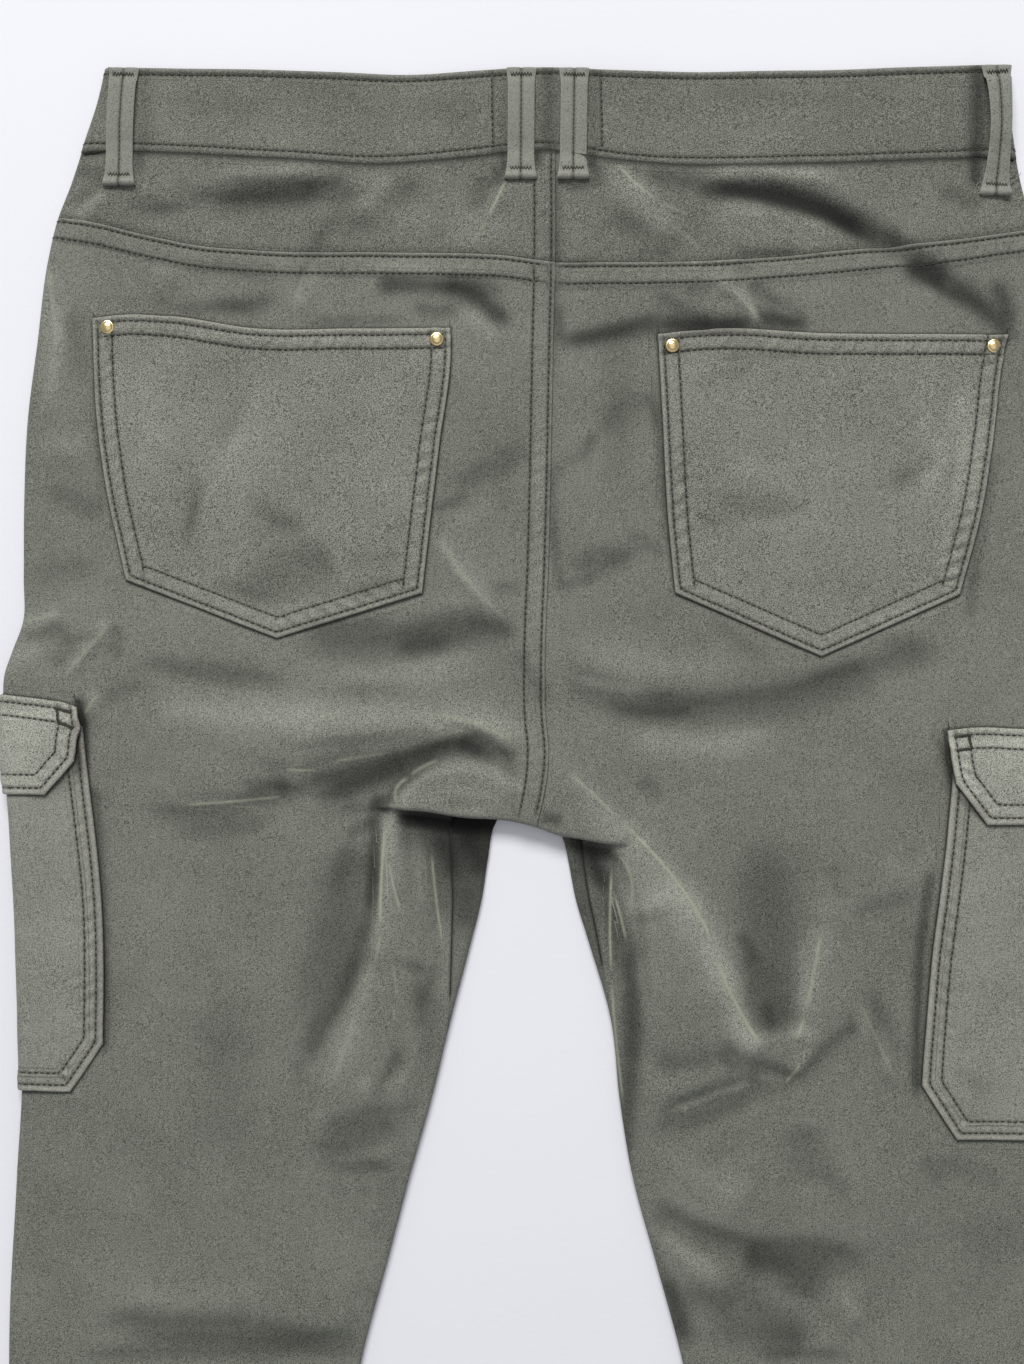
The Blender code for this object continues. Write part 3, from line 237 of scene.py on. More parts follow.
# Folds, painted shade and light, and creases are set out on a grid of 0.46 mm squares, across and down
# from a corner beyond the waistband. A stroke is the places of its start, middle and end, its width to the
# left and right, its height, and the shares of its run over which it rises and dies away, if not 0.3.
SQUARE = 0.46
GRID_MIDDLE = 545
GRID_HEAD_Y = 550.36
FOLD_STROKES = (
    # Yokes and the seat above the pockets.
    (195, 206, 262, 199, 330, 192, 13, 13, -1.3), (195, 190, 262, 180, 330, 174, 14, 12, 1.0),
    (330, 235, 380, 212, 430, 172, 16, 16, -0.8), (345, 190, 400, 215, 440, 240, 18, 16, 0.6),
    (506, 182, 497, 202, 484, 226, 9, 7, 0.9, 0.1, 0.5),
    (486, 176, 478, 200, 468, 222, 9, 9, -0.8, 0.2, 0.5),
    (617, 166, 631, 184, 662, 208, 5, 12, 0.8, 0.1, 0.5), (610, 205, 634, 226, 690, 250, 14, 12, -0.9),
    (696, 192, 835, 212, 1012, 338, 12, 12, -3.4, 0.2, 0.2), (690, 176, 770, 168, 855, 190, 12, 12, 1.1),
    (700, 216, 780, 212, 850, 236, 16, 14, 0.9), (728, 252, 768, 254, 806, 250, 6, 7, -0.7),
    (935, 192, 962, 200, 985, 214, 9, 9, -0.8), (64, 216, 88, 208, 112, 186, 9, 10, 1.1, 0.2, 0.3),
    (70, 196, 92, 190, 104, 172, 8, 8, -0.7, 0.2, 0.3), (125, 214, 150, 206, 186, 214, 10, 10, -0.6),
    (204, 304, 244, 307, 284, 296, 8, 8, -1.1), (300, 318, 304, 296, 322, 268, 10, 10, 0.6),
    (158, 322, 166, 300, 178, 278, 10, 10, -0.6), (430, 288, 468, 284, 512, 300, 10, 9, -1.7),
    (455, 318, 475, 322, 505, 352, 12, 12, 0.7), (48, 258, 52, 310, 62, 372, 9, 12, 0.9, 0.2, 0.4),
    (72, 300, 76, 350, 88, 400, 12, 12, -0.7), (652, 286, 672, 306, 716, 328, 9, 11, -1.3, 0.3, 0.2),
    (712, 282, 738, 296, 762, 326, 7, 6, 1.5, 0.2, 0.3),
    (745, 284, 776, 306, 806, 324, 8, 8, -1.4, 0.2, 0.3), (690, 276, 726, 268, 760, 274, 8, 8, -0.6),
    (900, 292, 950, 296, 985, 330, 12, 12, 0.7), (612, 300, 618, 420, 610, 520, 16, 16, -0.5),
    (566, 576, 600, 560, 640, 560, 14, 14, -1.1), (600, 440, 628, 410, 648, 392, 14, 14, -0.9),
    (230, 586, 280, 578, 330, 560, 22, 22, -1.3), (530, 443, 486, 470, 443, 494, 14, 12, -0.9, 0.2, 0.3),
    (500, 500, 470, 520, 446, 528, 12, 12, 0.5), (438, 530, 462, 576, 512, 624, 10, 8, 0.9, 0.2, 0.4),
    (40, 486, 70, 502, 108, 520, 14, 12, -0.8), (30, 440, 60, 448, 100, 446, 12, 12, 0.6),
    (26, 560, 60, 572, 110, 560, 14, 14, -0.5), (270, 372, 236, 445, 186, 562, 34, 10, 0.7, 0.2, 0.3),
    (206, 478, 197, 505, 190, 540, 7, 7, -0.6), (236, 520, 280, 548, 330, 566, 18, 18, -0.5),
    (120, 360, 150, 420, 150, 500, 16, 16, 0.4), (400, 372, 380, 450, 396, 540, 18, 18, 0.35),
    (702, 500, 744, 508, 796, 486, 14, 14, -0.7), (720, 470, 770, 466, 812, 452, 12, 12, 0.5),
    (884, 492, 910, 478, 934, 452, 12, 10, -0.7), (930, 520, 944, 450, 966, 384, 10, 10, 0.7),
    (690, 395, 720, 380, 760, 372, 10, 10, -0.3), (286, 640, 398, 640, 512, 604, 16, 16, -2.4),
    (300, 676, 400, 678, 500, 650, 18, 20, 0.8), (508, 646, 530, 676, 552, 716, 8, 10, -0.7),
    (562, 664, 612, 694, 680, 706, 14, 18, -3.0, 0.35, 0.1),
    (680, 706, 770, 700, 866, 668, 14, 20, -2.8, 0.1, 0.4),
    (866, 668, 905, 656, 950, 648, 14, 16, -1.4, 0.1, 0.4), (560, 640, 660, 668, 760, 660, 20, 20, 0.9),
    (610, 738, 700, 744, 790, 726, 20, 24, 1.1), (880, 628, 900, 644, 930, 652, 14, 14, -0.8),
    (640, 776, 652, 794, 664, 806, 8, 8, -0.7), (124, 664, 200, 668, 300, 688, 9, 11, -0.9),
    (120, 706, 240, 714, 420, 716, 22, 20, 1.4), (24, 620, 44, 618, 68, 610, 9, 6, 1.9, 0.0, 0.4),
    (24, 634, 48, 632, 74, 626, 7, 8, -1.5, 0.1, 0.4), (6, 664, 26, 650, 48, 646, 9, 12, 1.4, 0.0, 0.4),
    (113, 622, 94, 646, 62, 682, 6, 10, 1.4, 0.1, 0.4),
    (113, 626, 120, 636, 128, 650, 5, 6, -1.2, 0.1, 0.5), (84, 646, 66, 660, 48, 668, 8, 8, -0.8),
    (104, 692, 96, 702, 88, 724, 7, 8, 1.0, 0.2, 0.4), (150, 690, 120, 694, 112, 716, 8, 8, -0.5),
    (200, 742, 330, 728, 452, 716, 26, 12, 2.0, 0.5, 0.1),
    (440, 718, 480, 722, 524, 752, 16, 8, 2.2, 0.1, 0.4),
    (130, 806, 216, 812, 300, 782, 12, 12, -1.4, 0.3, 0.1),
    (290, 790, 352, 772, 404, 758, 10, 14, -3.4, 0.3, 0.05),
    (396, 760, 436, 748, 480, 737, 7, 9, -5.0, 0.1, 0.05),
    (480, 738, 500, 754, 522, 768, 6, 8, -3.6, 0.1, 0.4),
    (400, 806, 424, 776, 470, 766, 8, 12, 2.0, 0.1, 0.2),
    (470, 766, 505, 780, 530, 800, 12, 14, 1.6, 0.1, 0.4),
    (395, 800, 383, 850, 381, 900, 20, 10, 2.6, 0.05, 0.1),
    (381, 900, 379, 945, 370, 970, 16, 10, 2.4, 0.1, 0.3),
    (372, 955, 352, 1022, 318, 1118, 20, 9, 1.8, 0.2, 0.4),
    (360, 955, 330, 1004, 294, 1078, 10, 8, -1.5, 0.2, 0.4),
    (404, 812, 424, 850, 434, 930, 5, 16, 1.2, 0.1, 0.4),
    (388, 850, 396, 884, 403, 918, 4, 4, -0.5, 0.2, 0.4), (405, 960, 420, 975, 428, 1020, 8, 8, -0.9),
    (318, 1112, 362, 1128, 412, 1122, 16, 18, -2.0), (350, 1078, 384, 1084, 418, 1068, 10, 10, 0.8),
    (312, 1160, 356, 1168, 410, 1166, 7, 8, -0.9), (340, 1148, 372, 1150, 404, 1144, 8, 8, 0.6),
    (210, 1000, 230, 1080, 216, 1180, 30, 30, -0.7),
    (352, 836, 352, 900, 300, 1060, 22, 26, -2.4, 0.2, 0.4),
    (90, 1316, 172, 1324, 262, 1324, 12, 14, -1.4, 0.3, 0.1),
    (250, 1326, 316, 1336, 376, 1332, 12, 12, -1.5, 0.1, 0.3),
    (100, 1292, 180, 1296, 280, 1290, 12, 12, 0.5), (366, 1280, 376, 1300, 380, 1325, 8, 8, -0.6),
    (574, 792, 612, 820, 676, 888, 14, 26, 1.6, 0.4, 0.0),
    (676, 888, 712, 950, 732, 996, 16, 26, 2.3, 0.0, 0.0),
    (732, 996, 750, 1034, 776, 1050, 12, 20, 2.3, 0.0, 0.3),
    (768, 826, 768, 930, 776, 1030, 30, 26, -2.0, 0.4, 0.2),
    (752, 950, 766, 990, 780, 1030, 12, 12, -1.4, 0.3, 0.2),
    (822, 905, 812, 972, 792, 1044, 18, 12, 1.8, 0.4, 0.1), (836, 870, 830, 900, 822, 925, 16, 16, 0.6),
    (856, 1020, 820, 1056, 792, 1082, 12, 7, -1.3, 0.2, 0.3),
    (812, 1024, 806, 1052, 788, 1080, 8, 8, 1.2, 0.2, 0.3),
    (712, 1036, 752, 1064, 790, 1076, 10, 12, -1.6, 0.3, 0.1),
    (790, 1078, 716, 1096, 630, 1150, 14, 14, -1.4, 0.1, 0.4),
    (640, 1090, 690, 1066, 716, 1050, 22, 22, 0.6),
    (652, 1112, 700, 1098, 776, 1080, 10, 12, -1.6, 0.3, 0.2), (852, 1010, 872, 1040, 896, 1086, 9, 9, 0.8),
    (866, 985, 884, 1024, 910, 1070, 8, 8, -0.6), (846, 918, 878, 906, 916, 896, 10, 10, -0.6),
    (800, 1120, 806, 1150, 820, 1190, 20, 22, -0.9), (720, 1150, 730, 1180, 750, 1200, 30, 30, 0.8),
    (648, 1196, 690, 1228, 770, 1250, 12, 14, -2.4, 0.2, 0.1),
    (770, 1250, 812, 1248, 880, 1268, 14, 14, -2.0, 0.1, 0.4),
    (650, 1216, 680, 1250, 740, 1290, 14, 14, 0.9), (824, 1262, 840, 1290, 866, 1330, 12, 12, 1.1),
    (674, 1290, 706, 1300, 740, 1316, 16, 16, -0.9), (930, 1150, 960, 1170, 1010, 1180, 12, 12, -0.5),
    (606, 842, 627, 868, 631, 912, 34, 6, 3.0, 0.1, 0.5),
    (631, 905, 640, 950, 636, 1040, 20, 16, 0.9, 0.2, 0.4), (60, 1440, 160, 1460, 300, 1430, 20, 20, -0.9),
    (80, 1500, 180, 1520, 340, 1540, 22, 22, 0.8), (30, 1600, 140, 1590, 280, 1630, 18, 20, -1.0),
    (120, 1700, 220, 1720, 330, 1700, 20, 20, 0.7), (40, 1800, 120, 1840, 280, 1830, 18, 20, -1.0),
    (20, 1900, 140, 1930, 250, 1960, 20, 20, 0.8), (0, 2060, 100, 2080, 240, 2050, 20, 20, -0.9),
    (60, 2160, 140, 2170, 240, 2200, 20, 20, 0.6), (720, 1440, 840, 1460, 1000, 1420, 20, 20, -0.9),
    (740, 1540, 860, 1520, 1010, 1560, 20, 20, 0.8), (740, 1640, 880, 1660, 1040, 1620, 20, 20, -1.0),
    (780, 1740, 900, 1730, 1050, 1760, 20, 20, 0.7), (780, 1850, 900, 1880, 1060, 1860, 20, 20, -1.0),
    (800, 1960, 940, 1950, 1080, 1990, 20, 20, 0.8), (820, 2080, 960, 2100, 1090, 2070, 20, 20, -0.9),
)
# Painted shade and painted light in soft strokes: darker where the cloth lies in shade, paler where light
# falls on it. They are laid out as the folds are, but with a shade.
PAINTED_SHADE_STROKES = (
    (200, 184, 260, 183, 345, 183, 7, 7, -1.2), (140, 212, 190, 205, 215, 195, 6, 6, -0.5),
    (350, 215, 385, 185, 400, 175, 10, 10, 0.5), (440, 225, 490, 225, 510, 210, 16, 16, 0.5),
    (300, 275, 320, 240, 345, 205, 8, 8, -0.5), (170, 275, 230, 272, 290, 285, 10, 10, -0.4),
    (150, 265, 165, 275, 160, 300, 10, 10, 0.4), (160, 312, 220, 310, 280, 315, 8, 8, -0.7),
    (290, 325, 350, 322, 420, 318, 6, 6, -0.6), (150, 332, 280, 340, 430, 342, 5, 5, 0.4),
    (380, 285, 455, 283, 505, 322, 9, 9, -1.1), (440, 290, 465, 287, 492, 302, 7, 7, -1.0),
    (540, 340, 541, 520, 538, 700, 8, 8, 0.45), (552, 470, 553, 530, 560, 585, 6, 6, -0.6),
    (556, 588, 578, 582, 600, 575, 6, 6, -0.6), (608, 168, 630, 195, 682, 242, 13, 13, 1.0),
    (690, 193, 795, 200, 878, 246, 9, 9, -2.6, 0.2, 0.2), (902, 258, 925, 270, 952, 285, 9, 9, -1.8),
    (988, 278, 1003, 302, 1010, 332, 9, 9, -1.6), (700, 178, 760, 175, 832, 180, 4, 4, 1.0),
    (690, 230, 780, 230, 850, 240, 14, 14, 0.45), (628, 253, 655, 253, 682, 253, 5, 5, -0.6),
    (750, 253, 790, 254, 830, 254, 4, 4, -0.3), (556, 262, 580, 266, 602, 266, 5, 5, -0.4),
    (680, 265, 720, 270, 745, 262, 10, 10, 0.6), (566, 340, 610, 332, 658, 318, 7, 7, -1.4),
    (662, 322, 700, 325, 746, 322, 8, 8, -1.8), (680, 295, 700, 290, 716, 290, 6, 6, -0.5),
    (735, 288, 748, 303, 756, 327, 4, 4, 1.0), (762, 305, 775, 320, 802, 323, 7, 7, -1.7),
    (560, 300, 560, 330, 562, 345, 6, 6, -0.7), (582, 458, 590, 442, 600, 430, 6, 6, -0.8),
    (548, 472, 565, 466, 580, 456, 8, 8, -0.4), (640, 388, 650, 402, 655, 432, 6, 6, -0.6),
    (655, 360, 660, 460, 676, 592, 4, 4, -0.8), (600, 570, 625, 556, 652, 550, 8, 8, -0.4),
    (690, 360, 740, 358, 842, 357, 4, 4, -0.5), (750, 465, 775, 461, 802, 455, 5, 5, -0.45),
    (750, 487, 775, 488, 800, 482, 8, 8, 0.4), (750, 515, 775, 512, 812, 505, 8, 8, -0.5),
    (698, 508, 708, 520, 722, 530, 6, 6, -0.5), (918, 370, 925, 450, 930, 522, 14, 14, 0.5),
    (955, 368, 960, 440, 950, 532, 9, 9, 0.7), (858, 632, 900, 612, 956, 600, 6, 6, 0.6),
    (935, 555, 945, 578, 955, 600, 10, 10, 0.4), (1000, 440, 985, 500, 970, 592, 6, 6, -0.6),
    (975, 560, 972, 592, 966, 625, 7, 7, -0.6), (700, 610, 730, 635, 772, 665, 8, 8, -0.35),
    (798, 680, 840, 670, 872, 660, 8, 8, -0.5), (568, 675, 600, 683, 655, 693, 6, 6, 1.3),
    (598, 705, 650, 712, 705, 708, 8, 8, -1.0), (260, 525, 285, 522, 302, 530, 8, 8, -0.5),
    (258, 602, 310, 590, 352, 594, 12, 12, -0.35), (208, 573, 240, 590, 282, 600, 8, 8, -0.6),
    (402, 573, 380, 585, 338, 596, 8, 8, -0.6), (188, 555, 192, 525, 202, 490, 6, 6, -0.8),
    (256, 385, 236, 420, 214, 458, 8, 8, -0.4), (238, 495, 266, 508, 300, 530, 11, 11, -0.45),
    (290, 738, 340, 733, 385, 735, 7, 7, 0.4), (430, 727, 465, 724, 500, 728, 7, 7, 0.4),
    (250, 766, 275, 764, 300, 766, 7, 7, -0.4), (330, 812, 365, 808, 400, 812, 6, 6, -0.7),
    (399, 808, 387, 830, 383, 870, 3, 3, 0.9, 0.1, 0.3), (376, 800, 375, 842, 371, 892, 6, 6, -0.7),
    (440, 835, 446, 872, 450, 930, 12, 12, -0.6, 0.2, 0.3),
    (410, 828, 420, 865, 426, 920, 6, 6, 0.5, 0.2, 0.3), (368, 860, 365, 895, 362, 935, 6, 6, 0.5),
    (385, 800, 402, 784, 428, 768, 5, 5, -1.0), (388, 812, 396, 806, 404, 803, 4, 4, 0.9),
    (345, 842, 362, 826, 386, 818, 6, 6, -0.9), (288, 782, 325, 758, 382, 749, 7, 7, -0.5),
    (494, 745, 508, 752, 522, 752, 6, 6, -0.6), (604, 850, 626, 872, 641, 922, 5, 5, -0.7),
    (641, 922, 646, 970, 648, 1012, 5, 5, -0.6), (622, 938, 622, 970, 623, 1002, 5, 5, 0.5),
    (868, 1010, 872, 1036, 880, 1066, 5, 5, -0.7), (86, 714, 88, 738, 89, 768, 4, 4, -1.8, 0.2, 0.3),
    (566, 768, 580, 784, 600, 800, 8, 8, 0.6), (928, 830, 922, 880, 916, 942, 7, 7, 0.4),
    (740, 1350, 800, 1352, 860, 1350, 7, 7, -0.7), (430, 985, 438, 1010, 420, 1070, 9, 9, -0.4),
    (150, 187, 280, 197, 420, 190, 8, 8, -0.8), (640, 178, 680, 182, 724, 191, 9, 9, -0.8),
    (740, 200, 812, 215, 886, 237, 9, 9, -0.9), (898, 266, 942, 290, 976, 300, 10, 10, -1.5, 0.2, 0.2),
    (974, 300, 1000, 325, 1018, 347, 9, 9, -1.5, 0.2, 0.3), (714, 172, 745, 180, 776, 184, 6, 6, 0.6),
    (380, 278, 430, 280, 480, 278, 6, 6, 0.6), (408, 304, 435, 312, 464, 305, 8, 8, -0.8),
    (860, 234, 884, 238, 906, 235, 8, 8, -0.7), (296, 292, 302, 280, 306, 262, 7, 7, -0.5),
    (60, 168, 95, 172, 132, 172, 7, 7, -0.6), (618, 534, 650, 545, 666, 562, 7, 7, -0.5),
    (340, 562, 372, 560, 406, 557, 8, 8, -0.4), (935, 480, 945, 535, 948, 590, 9, 9, 0.5),
    (734, 288, 750, 305, 776, 331, 4, 4, -0.9), (774, 300, 790, 315, 801, 327, 6, 6, 0.5),
    (654, 334, 664, 345, 667, 362, 5, 5, -0.7), (670, 333, 702, 331, 746, 326, 5, 5, -0.8),
    (502, 148, 504, 162, 506, 178, 4, 4, -1.3, 0.2, 0.3),
    (536, 148, 537, 160, 536, 174, 4, 4, -1.3, 0.2, 0.3),
    (560, 188, 576, 190, 592, 186, 4, 4, -1.0, 0.2, 0.3),
    (590, 146, 591, 160, 590, 174, 4, 4, -1.1, 0.2, 0.3),
    (556, 150, 556, 270, 555, 400, 5, 5, -0.6, 0.2, 0.3),
    (973, 138, 974, 162, 976, 194, 6, 6, -1.8, 0.2, 0.3), (374, 835, 371, 875, 368, 915, 6, 6, -0.5),
    (586, 850, 596, 870, 606, 892, 7, 7, -0.6), (634, 905, 634, 975, 642, 1050, 6, 6, -0.6),
    (436, 955, 430, 985, 420, 1012, 7, 7, -0.6), (710, 1052, 725, 1060, 742, 1072, 6, 6, -0.6),
    (770, 1286, 795, 1288, 822, 1298, 8, 8, -0.5), (310, 1145, 350, 1152, 392, 1168, 8, 8, -0.4),
    (296, 1056, 300, 1070, 302, 1086, 6, 6, -0.5), (60, 1352, 215, 1350, 372, 1352, 7, 7, -0.8, 0.2, 0.2),
    (680, 1108, 712, 1098, 746, 1086, 5, 5, -0.4), (428, 512, 445, 505, 472, 495, 6, 6, -0.7),
    (488, 482, 508, 468, 522, 460, 6, 6, -0.4), (296, 632, 345, 626, 402, 620, 7, 7, -0.7),
    (398, 650, 430, 645, 455, 645, 8, 8, -0.7), (458, 622, 490, 625, 512, 632, 8, 8, -0.7),
    (488, 592, 508, 586, 526, 592, 7, 7, -0.5), (320, 612, 400, 601, 470, 600, 6, 6, 0.3),
    (440, 600, 472, 603, 506, 616, 6, 6, 0.4), (150, 600, 200, 610, 270, 632, 6, 6, 0.3),
    (48, 640, 90, 638, 112, 625, 7, 7, -0.6), (108, 642, 118, 650, 126, 658, 7, 7, -0.6),
    (150, 668, 200, 676, 262, 690, 6, 6, -0.4), (85, 700, 85, 740, 80, 772, 4, 4, -1.3),
    (330, 690, 370, 690, 412, 690, 8, 8, -0.3), (62, 288, 55, 350, 44, 425, 8, 8, 0.5),
    (120, 350, 118, 400, 122, 462, 8, 8, 0.3), (95, 350, 98, 430, 105, 522, 4, 4, -0.45),
    (250, 75, 310, 85, 372, 95, 8, 8, -0.35), (398, 120, 430, 111, 492, 110, 10, 10, -0.4),
    (690, 88, 760, 95, 835, 100, 10, 10, -0.5), (150, 105, 220, 108, 282, 105, 8, 8, -0.3),
    (630, 140, 720, 135, 865, 145, 10, 10, 0.3), (150, 135, 260, 135, 385, 140, 10, 10, 0.25),
    (30, 793, 60, 786, 86, 772, 5, 5, -0.6), (97, 788, 106, 900, 107, 1048, 4, 4, -0.9),
    (163, 825, 210, 830, 288, 815, 9, 9, -0.7), (238, 790, 272, 784, 296, 790, 9, 9, -0.8),
    (248, 750, 320, 745, 392, 740, 9, 9, 0.7), (428, 722, 455, 724, 478, 729, 7, 7, 0.8),
    (308, 802, 370, 778, 432, 755, 12, 12, -1.9), (430, 755, 465, 744, 502, 768, 9, 9, -1.7),
    (498, 760, 510, 770, 516, 782, 8, 8, -0.6), (370, 808, 378, 850, 370, 905, 8, 8, -1.6),
    (342, 830, 345, 850, 330, 902, 8, 8, -0.5), (393, 816, 420, 796, 452, 786, 9, 9, 1.2),
    (450, 786, 480, 790, 512, 796, 9, 9, 1.0), (397, 818, 391, 840, 388, 864, 5, 5, 1.0),
    (412, 822, 450, 826, 492, 825, 9, 9, -1.6), (428, 832, 445, 850, 453, 884, 10, 10, -1.6),
    (452, 836, 474, 850, 480, 884, 13, 13, -1.6), (465, 880, 468, 905, 464, 935, 10, 10, -0.8),
    (538, 817, 552, 818, 564, 820, 6, 6, -1.2), (598, 840, 613, 845, 624, 853, 6, 6, 1.5),
    (586, 850, 600, 870, 606, 892, 10, 10, -1.8), (598, 888, 615, 920, 626, 962, 14, 14, -1.1),
    (625, 958, 630, 1000, 632, 1052, 10, 10, -1.5), (632, 1048, 628, 1100, 624, 1152, 10, 10, -1.3),
    (645, 1062, 680, 1060, 722, 1055, 14, 14, -1.0), (573, 880, 590, 930, 606, 992, 8, 8, -0.5),
    (645, 878, 678, 898, 694, 924, 14, 14, 1.0), (698, 938, 722, 975, 742, 1012, 10, 10, 1.2),
    (735, 998, 740, 1030, 752, 1064, 8, 8, 1.3), (756, 1074, 772, 1078, 788, 1080, 6, 6, 0.8),
    (672, 1112, 710, 1096, 748, 1085, 4, 4, 1.0), (668, 1132, 710, 1116, 762, 1095, 7, 7, -0.6),
    (738, 928, 748, 948, 757, 967, 7, 7, -0.8), (764, 998, 770, 1018, 776, 1034, 7, 7, -0.9),
    (845, 1008, 850, 1020, 853, 1034, 7, 7, -0.6), (858, 978, 874, 1000, 882, 1034, 8, 8, -0.4),
    (800, 928, 803, 1000, 800, 1024, 8, 8, 0.4), (783, 1034, 794, 1040, 803, 1043, 6, 6, 0.9),
    (828, 858, 834, 882, 842, 902, 9, 9, -0.4), (878, 850, 908, 872, 922, 850, 12, 12, 0.5),
    (934, 728, 945, 780, 950, 802, 4, 4, -1.0), (927, 868, 916, 980, 915, 1092, 4, 4, -1.0),
    (948, 748, 960, 780, 976, 802, 6, 6, 0.9), (949, 788, 965, 805, 988, 822, 4, 4, -1.2),
    (948, 1058, 968, 1078, 992, 1096, 7, 7, -0.4), (347, 988, 322, 1030, 304, 1074, 7, 7, -1.0),
    (370, 900, 362, 940, 344, 992, 8, 8, -1.0), (413, 978, 420, 1005, 423, 1034, 9, 9, -0.9),
    (402, 1038, 390, 1070, 366, 1098, 8, 8, -1.1), (346, 1110, 380, 1108, 424, 1108, 6, 6, -0.7),
    (298, 1150, 350, 1145, 394, 1150, 9, 9, -0.6), (310, 1172, 350, 1180, 402, 1172, 14, 14, -0.3),
    (308, 1110, 328, 1115, 348, 1104, 10, 10, 0.5), (338, 1082, 350, 1050, 372, 1008, 10, 10, 0.3),
    (388, 958, 410, 965, 432, 975, 6, 6, -0.4), (746, 1258, 800, 1265, 856, 1287, 14, 14, -0.9),
    (698, 1258, 755, 1300, 802, 1342, 20, 20, -0.6), (663, 1278, 675, 1310, 682, 1354, 9, 9, -1.0),
    (648, 1228, 658, 1255, 668, 1282, 8, 8, -0.5), (688, 1170, 720, 1165, 772, 1170, 10, 10, -0.4),
    (818, 1168, 835, 1180, 852, 1192, 10, 10, -0.4), (918, 1148, 930, 1168, 942, 1188, 8, 8, -0.4),
    (620, 1148, 622, 1160, 629, 1178, 7, 7, -1.2), (106, 1340, 200, 1338, 376, 1345, 8, 8, -1.0),
    (150, 1290, 200, 1292, 262, 1292, 6, 6, -0.3), (22, 1084, 60, 1088, 94, 1088, 5, 5, 0.6),
    (296, 192, 325, 186, 352, 180, 7, 7, -1.0), (340, 268, 450, 272, 505, 270, 7, 7, 0.7),
    (380, 288, 455, 290, 506, 325, 9, 9, -1.0), (556, 350, 600, 338, 655, 328, 8, 8, -0.9),
    (655, 328, 720, 326, 805, 326, 7, 7, -1.0), (496, 162, 498, 178, 500, 194, 7, 7, -1.1),
    (590, 158, 593, 170, 596, 184, 7, 7, -0.8), (138, 120, 139, 150, 140, 182, 6, 6, -0.7),
    (975, 372, 976, 450, 965, 560, 10, 10, 0.5), (868, 640, 910, 620, 950, 606, 10, 10, 0.4),
    (400, 645, 450, 640, 512, 628, 14, 14, -0.6), (300, 690, 375, 692, 450, 690, 16, 16, -0.35),
    (87, 700, 86, 740, 84, 775, 7, 7, -1.3), (455, 740, 468, 746, 485, 755, 8, 8, -1.2),
    (400, 730, 480, 726, 560, 730, 9, 9, 0.3), (366, 800, 384, 806, 400, 822, 8, 8, -1.7),
    (410, 812, 455, 812, 502, 812, 6, 6, 0.9), (650, 888, 676, 888, 702, 892, 8, 8, -0.4),
    (676, 1108, 712, 1093, 750, 1082, 7, 7, 0.8), (742, 1260, 790, 1272, 830, 1302, 12, 12, -0.7),
    (700, 1325, 750, 1330, 802, 1336, 16, 16, -0.6), (668, 1282, 680, 1312, 692, 1354, 10, 10, -0.8),
    (925, 868, 917, 980, 915, 1092, 8, 8, -0.6), (100, 790, 105, 900, 108, 1048, 8, 8, -0.4),
    (272, 794, 290, 790, 310, 788, 8, 8, -0.7),
)
FADE = (0.3, 0.3)
MEETING = 9
OVERLAP = 10.0
FOLD_SINK = 0.3
ARC_STEPS = 10
FOLD_GAIN = 2.0
STEEPEST = 0.72


def on_cloth(across, down):
    """Place in millimetres of a point of the grid."""
    return round((across - GRID_MIDDLE) * SQUARE, 1), round(GRID_HEAD_Y - SQUARE * down, 1)


def drawn_on(stroke, strokes):
    """A stroke's path and fades: an end that meets another stroke is drawn on, and both fade there."""
    start, middle, end = np.array(stroke[:6], dtype=float).reshape(3, 2)
    bend = 2 * middle - (start + end) / 2
    length = math.dist(start, middle) + math.dist(end, middle)
    tips, fades = [start, end], list(stroke[9:] or FADE)
    others = [other for other in strokes if other is not stroke and other[8] * stroke[8] >= 0]
    for place, tip in enumerate((start, end)):
        if any(np.abs(other[k:k + 2] - tip).sum() <= MEETING for other in others for k in (0, 4)):
            tips[place] = tip + (tip - bend) / max(math.dist(tip, bend), 1e-6) * OVERLAP
            fades[place] = 2 * OVERLAP / (length + OVERLAP)
    middle = (tips[0] + tips[1]) / 4 + bend / 2
    return (tips[0], middle, tips[1]), [round(min(fade, 0.5), 2) for fade in fades]


def set_out(strokes, sink=0.0):
    """Strokes in millimetres, where a level one sinks a share of its width down the cloth."""
    rows = []
    for stroke in strokes:
        path, fades = drawn_on(stroke, strokes)
        left, right, height = stroke[6:9]
        run = path[2] - path[0]
        down = sink * abs(run[0]) / max(math.hypot(*run), 1e-6) * (left + right) / 2
        places = [value for x, y in path for value in on_cloth(float(x), float(y) + down)]
        rows.append((*places, round(left * SQUARE, 1), round(right * SQUARE, 1), height, *fades))
    return rows


CLOTH_FOLDS = set_out(FOLD_STROKES, FOLD_SINK)
# Painted shade and light of the strokes, in millimetres.
CLOTH_PAINTED_SHADE = set_out(PAINTED_SHADE_STROKES)


def curve(rows, at):
    """Value at each station of the smooth curve through rows of station, value."""
    knots = np.array(sorted((row[0], row[1]) for row in rows), dtype=float)
    station, value = knots[:, 0], knots[:, 1]
    slope = np.gradient(value, station)
    at = np.asarray(at, dtype=float)
    i = np.clip(np.searchsorted(station, at) - 1, 0, len(station) - 2)
    span = station[i + 1] - station[i]
    raw = (at - station[i]) / span
    t = np.clip(raw, 0.0, 1.0)
    left = (2 * t ** 3 - 3 * t ** 2 + 1) * value[i] + (t ** 3 - 2 * t ** 2 + t) * span * slope[i]
    right = (3 * t ** 2 - 2 * t ** 3) * value[i + 1] + (t ** 3 - t ** 2) * span * slope[i + 1]
    beyond = (raw - t) * span * np.where(raw > t, slope[i + 1], slope[i])
    return left + right + beyond


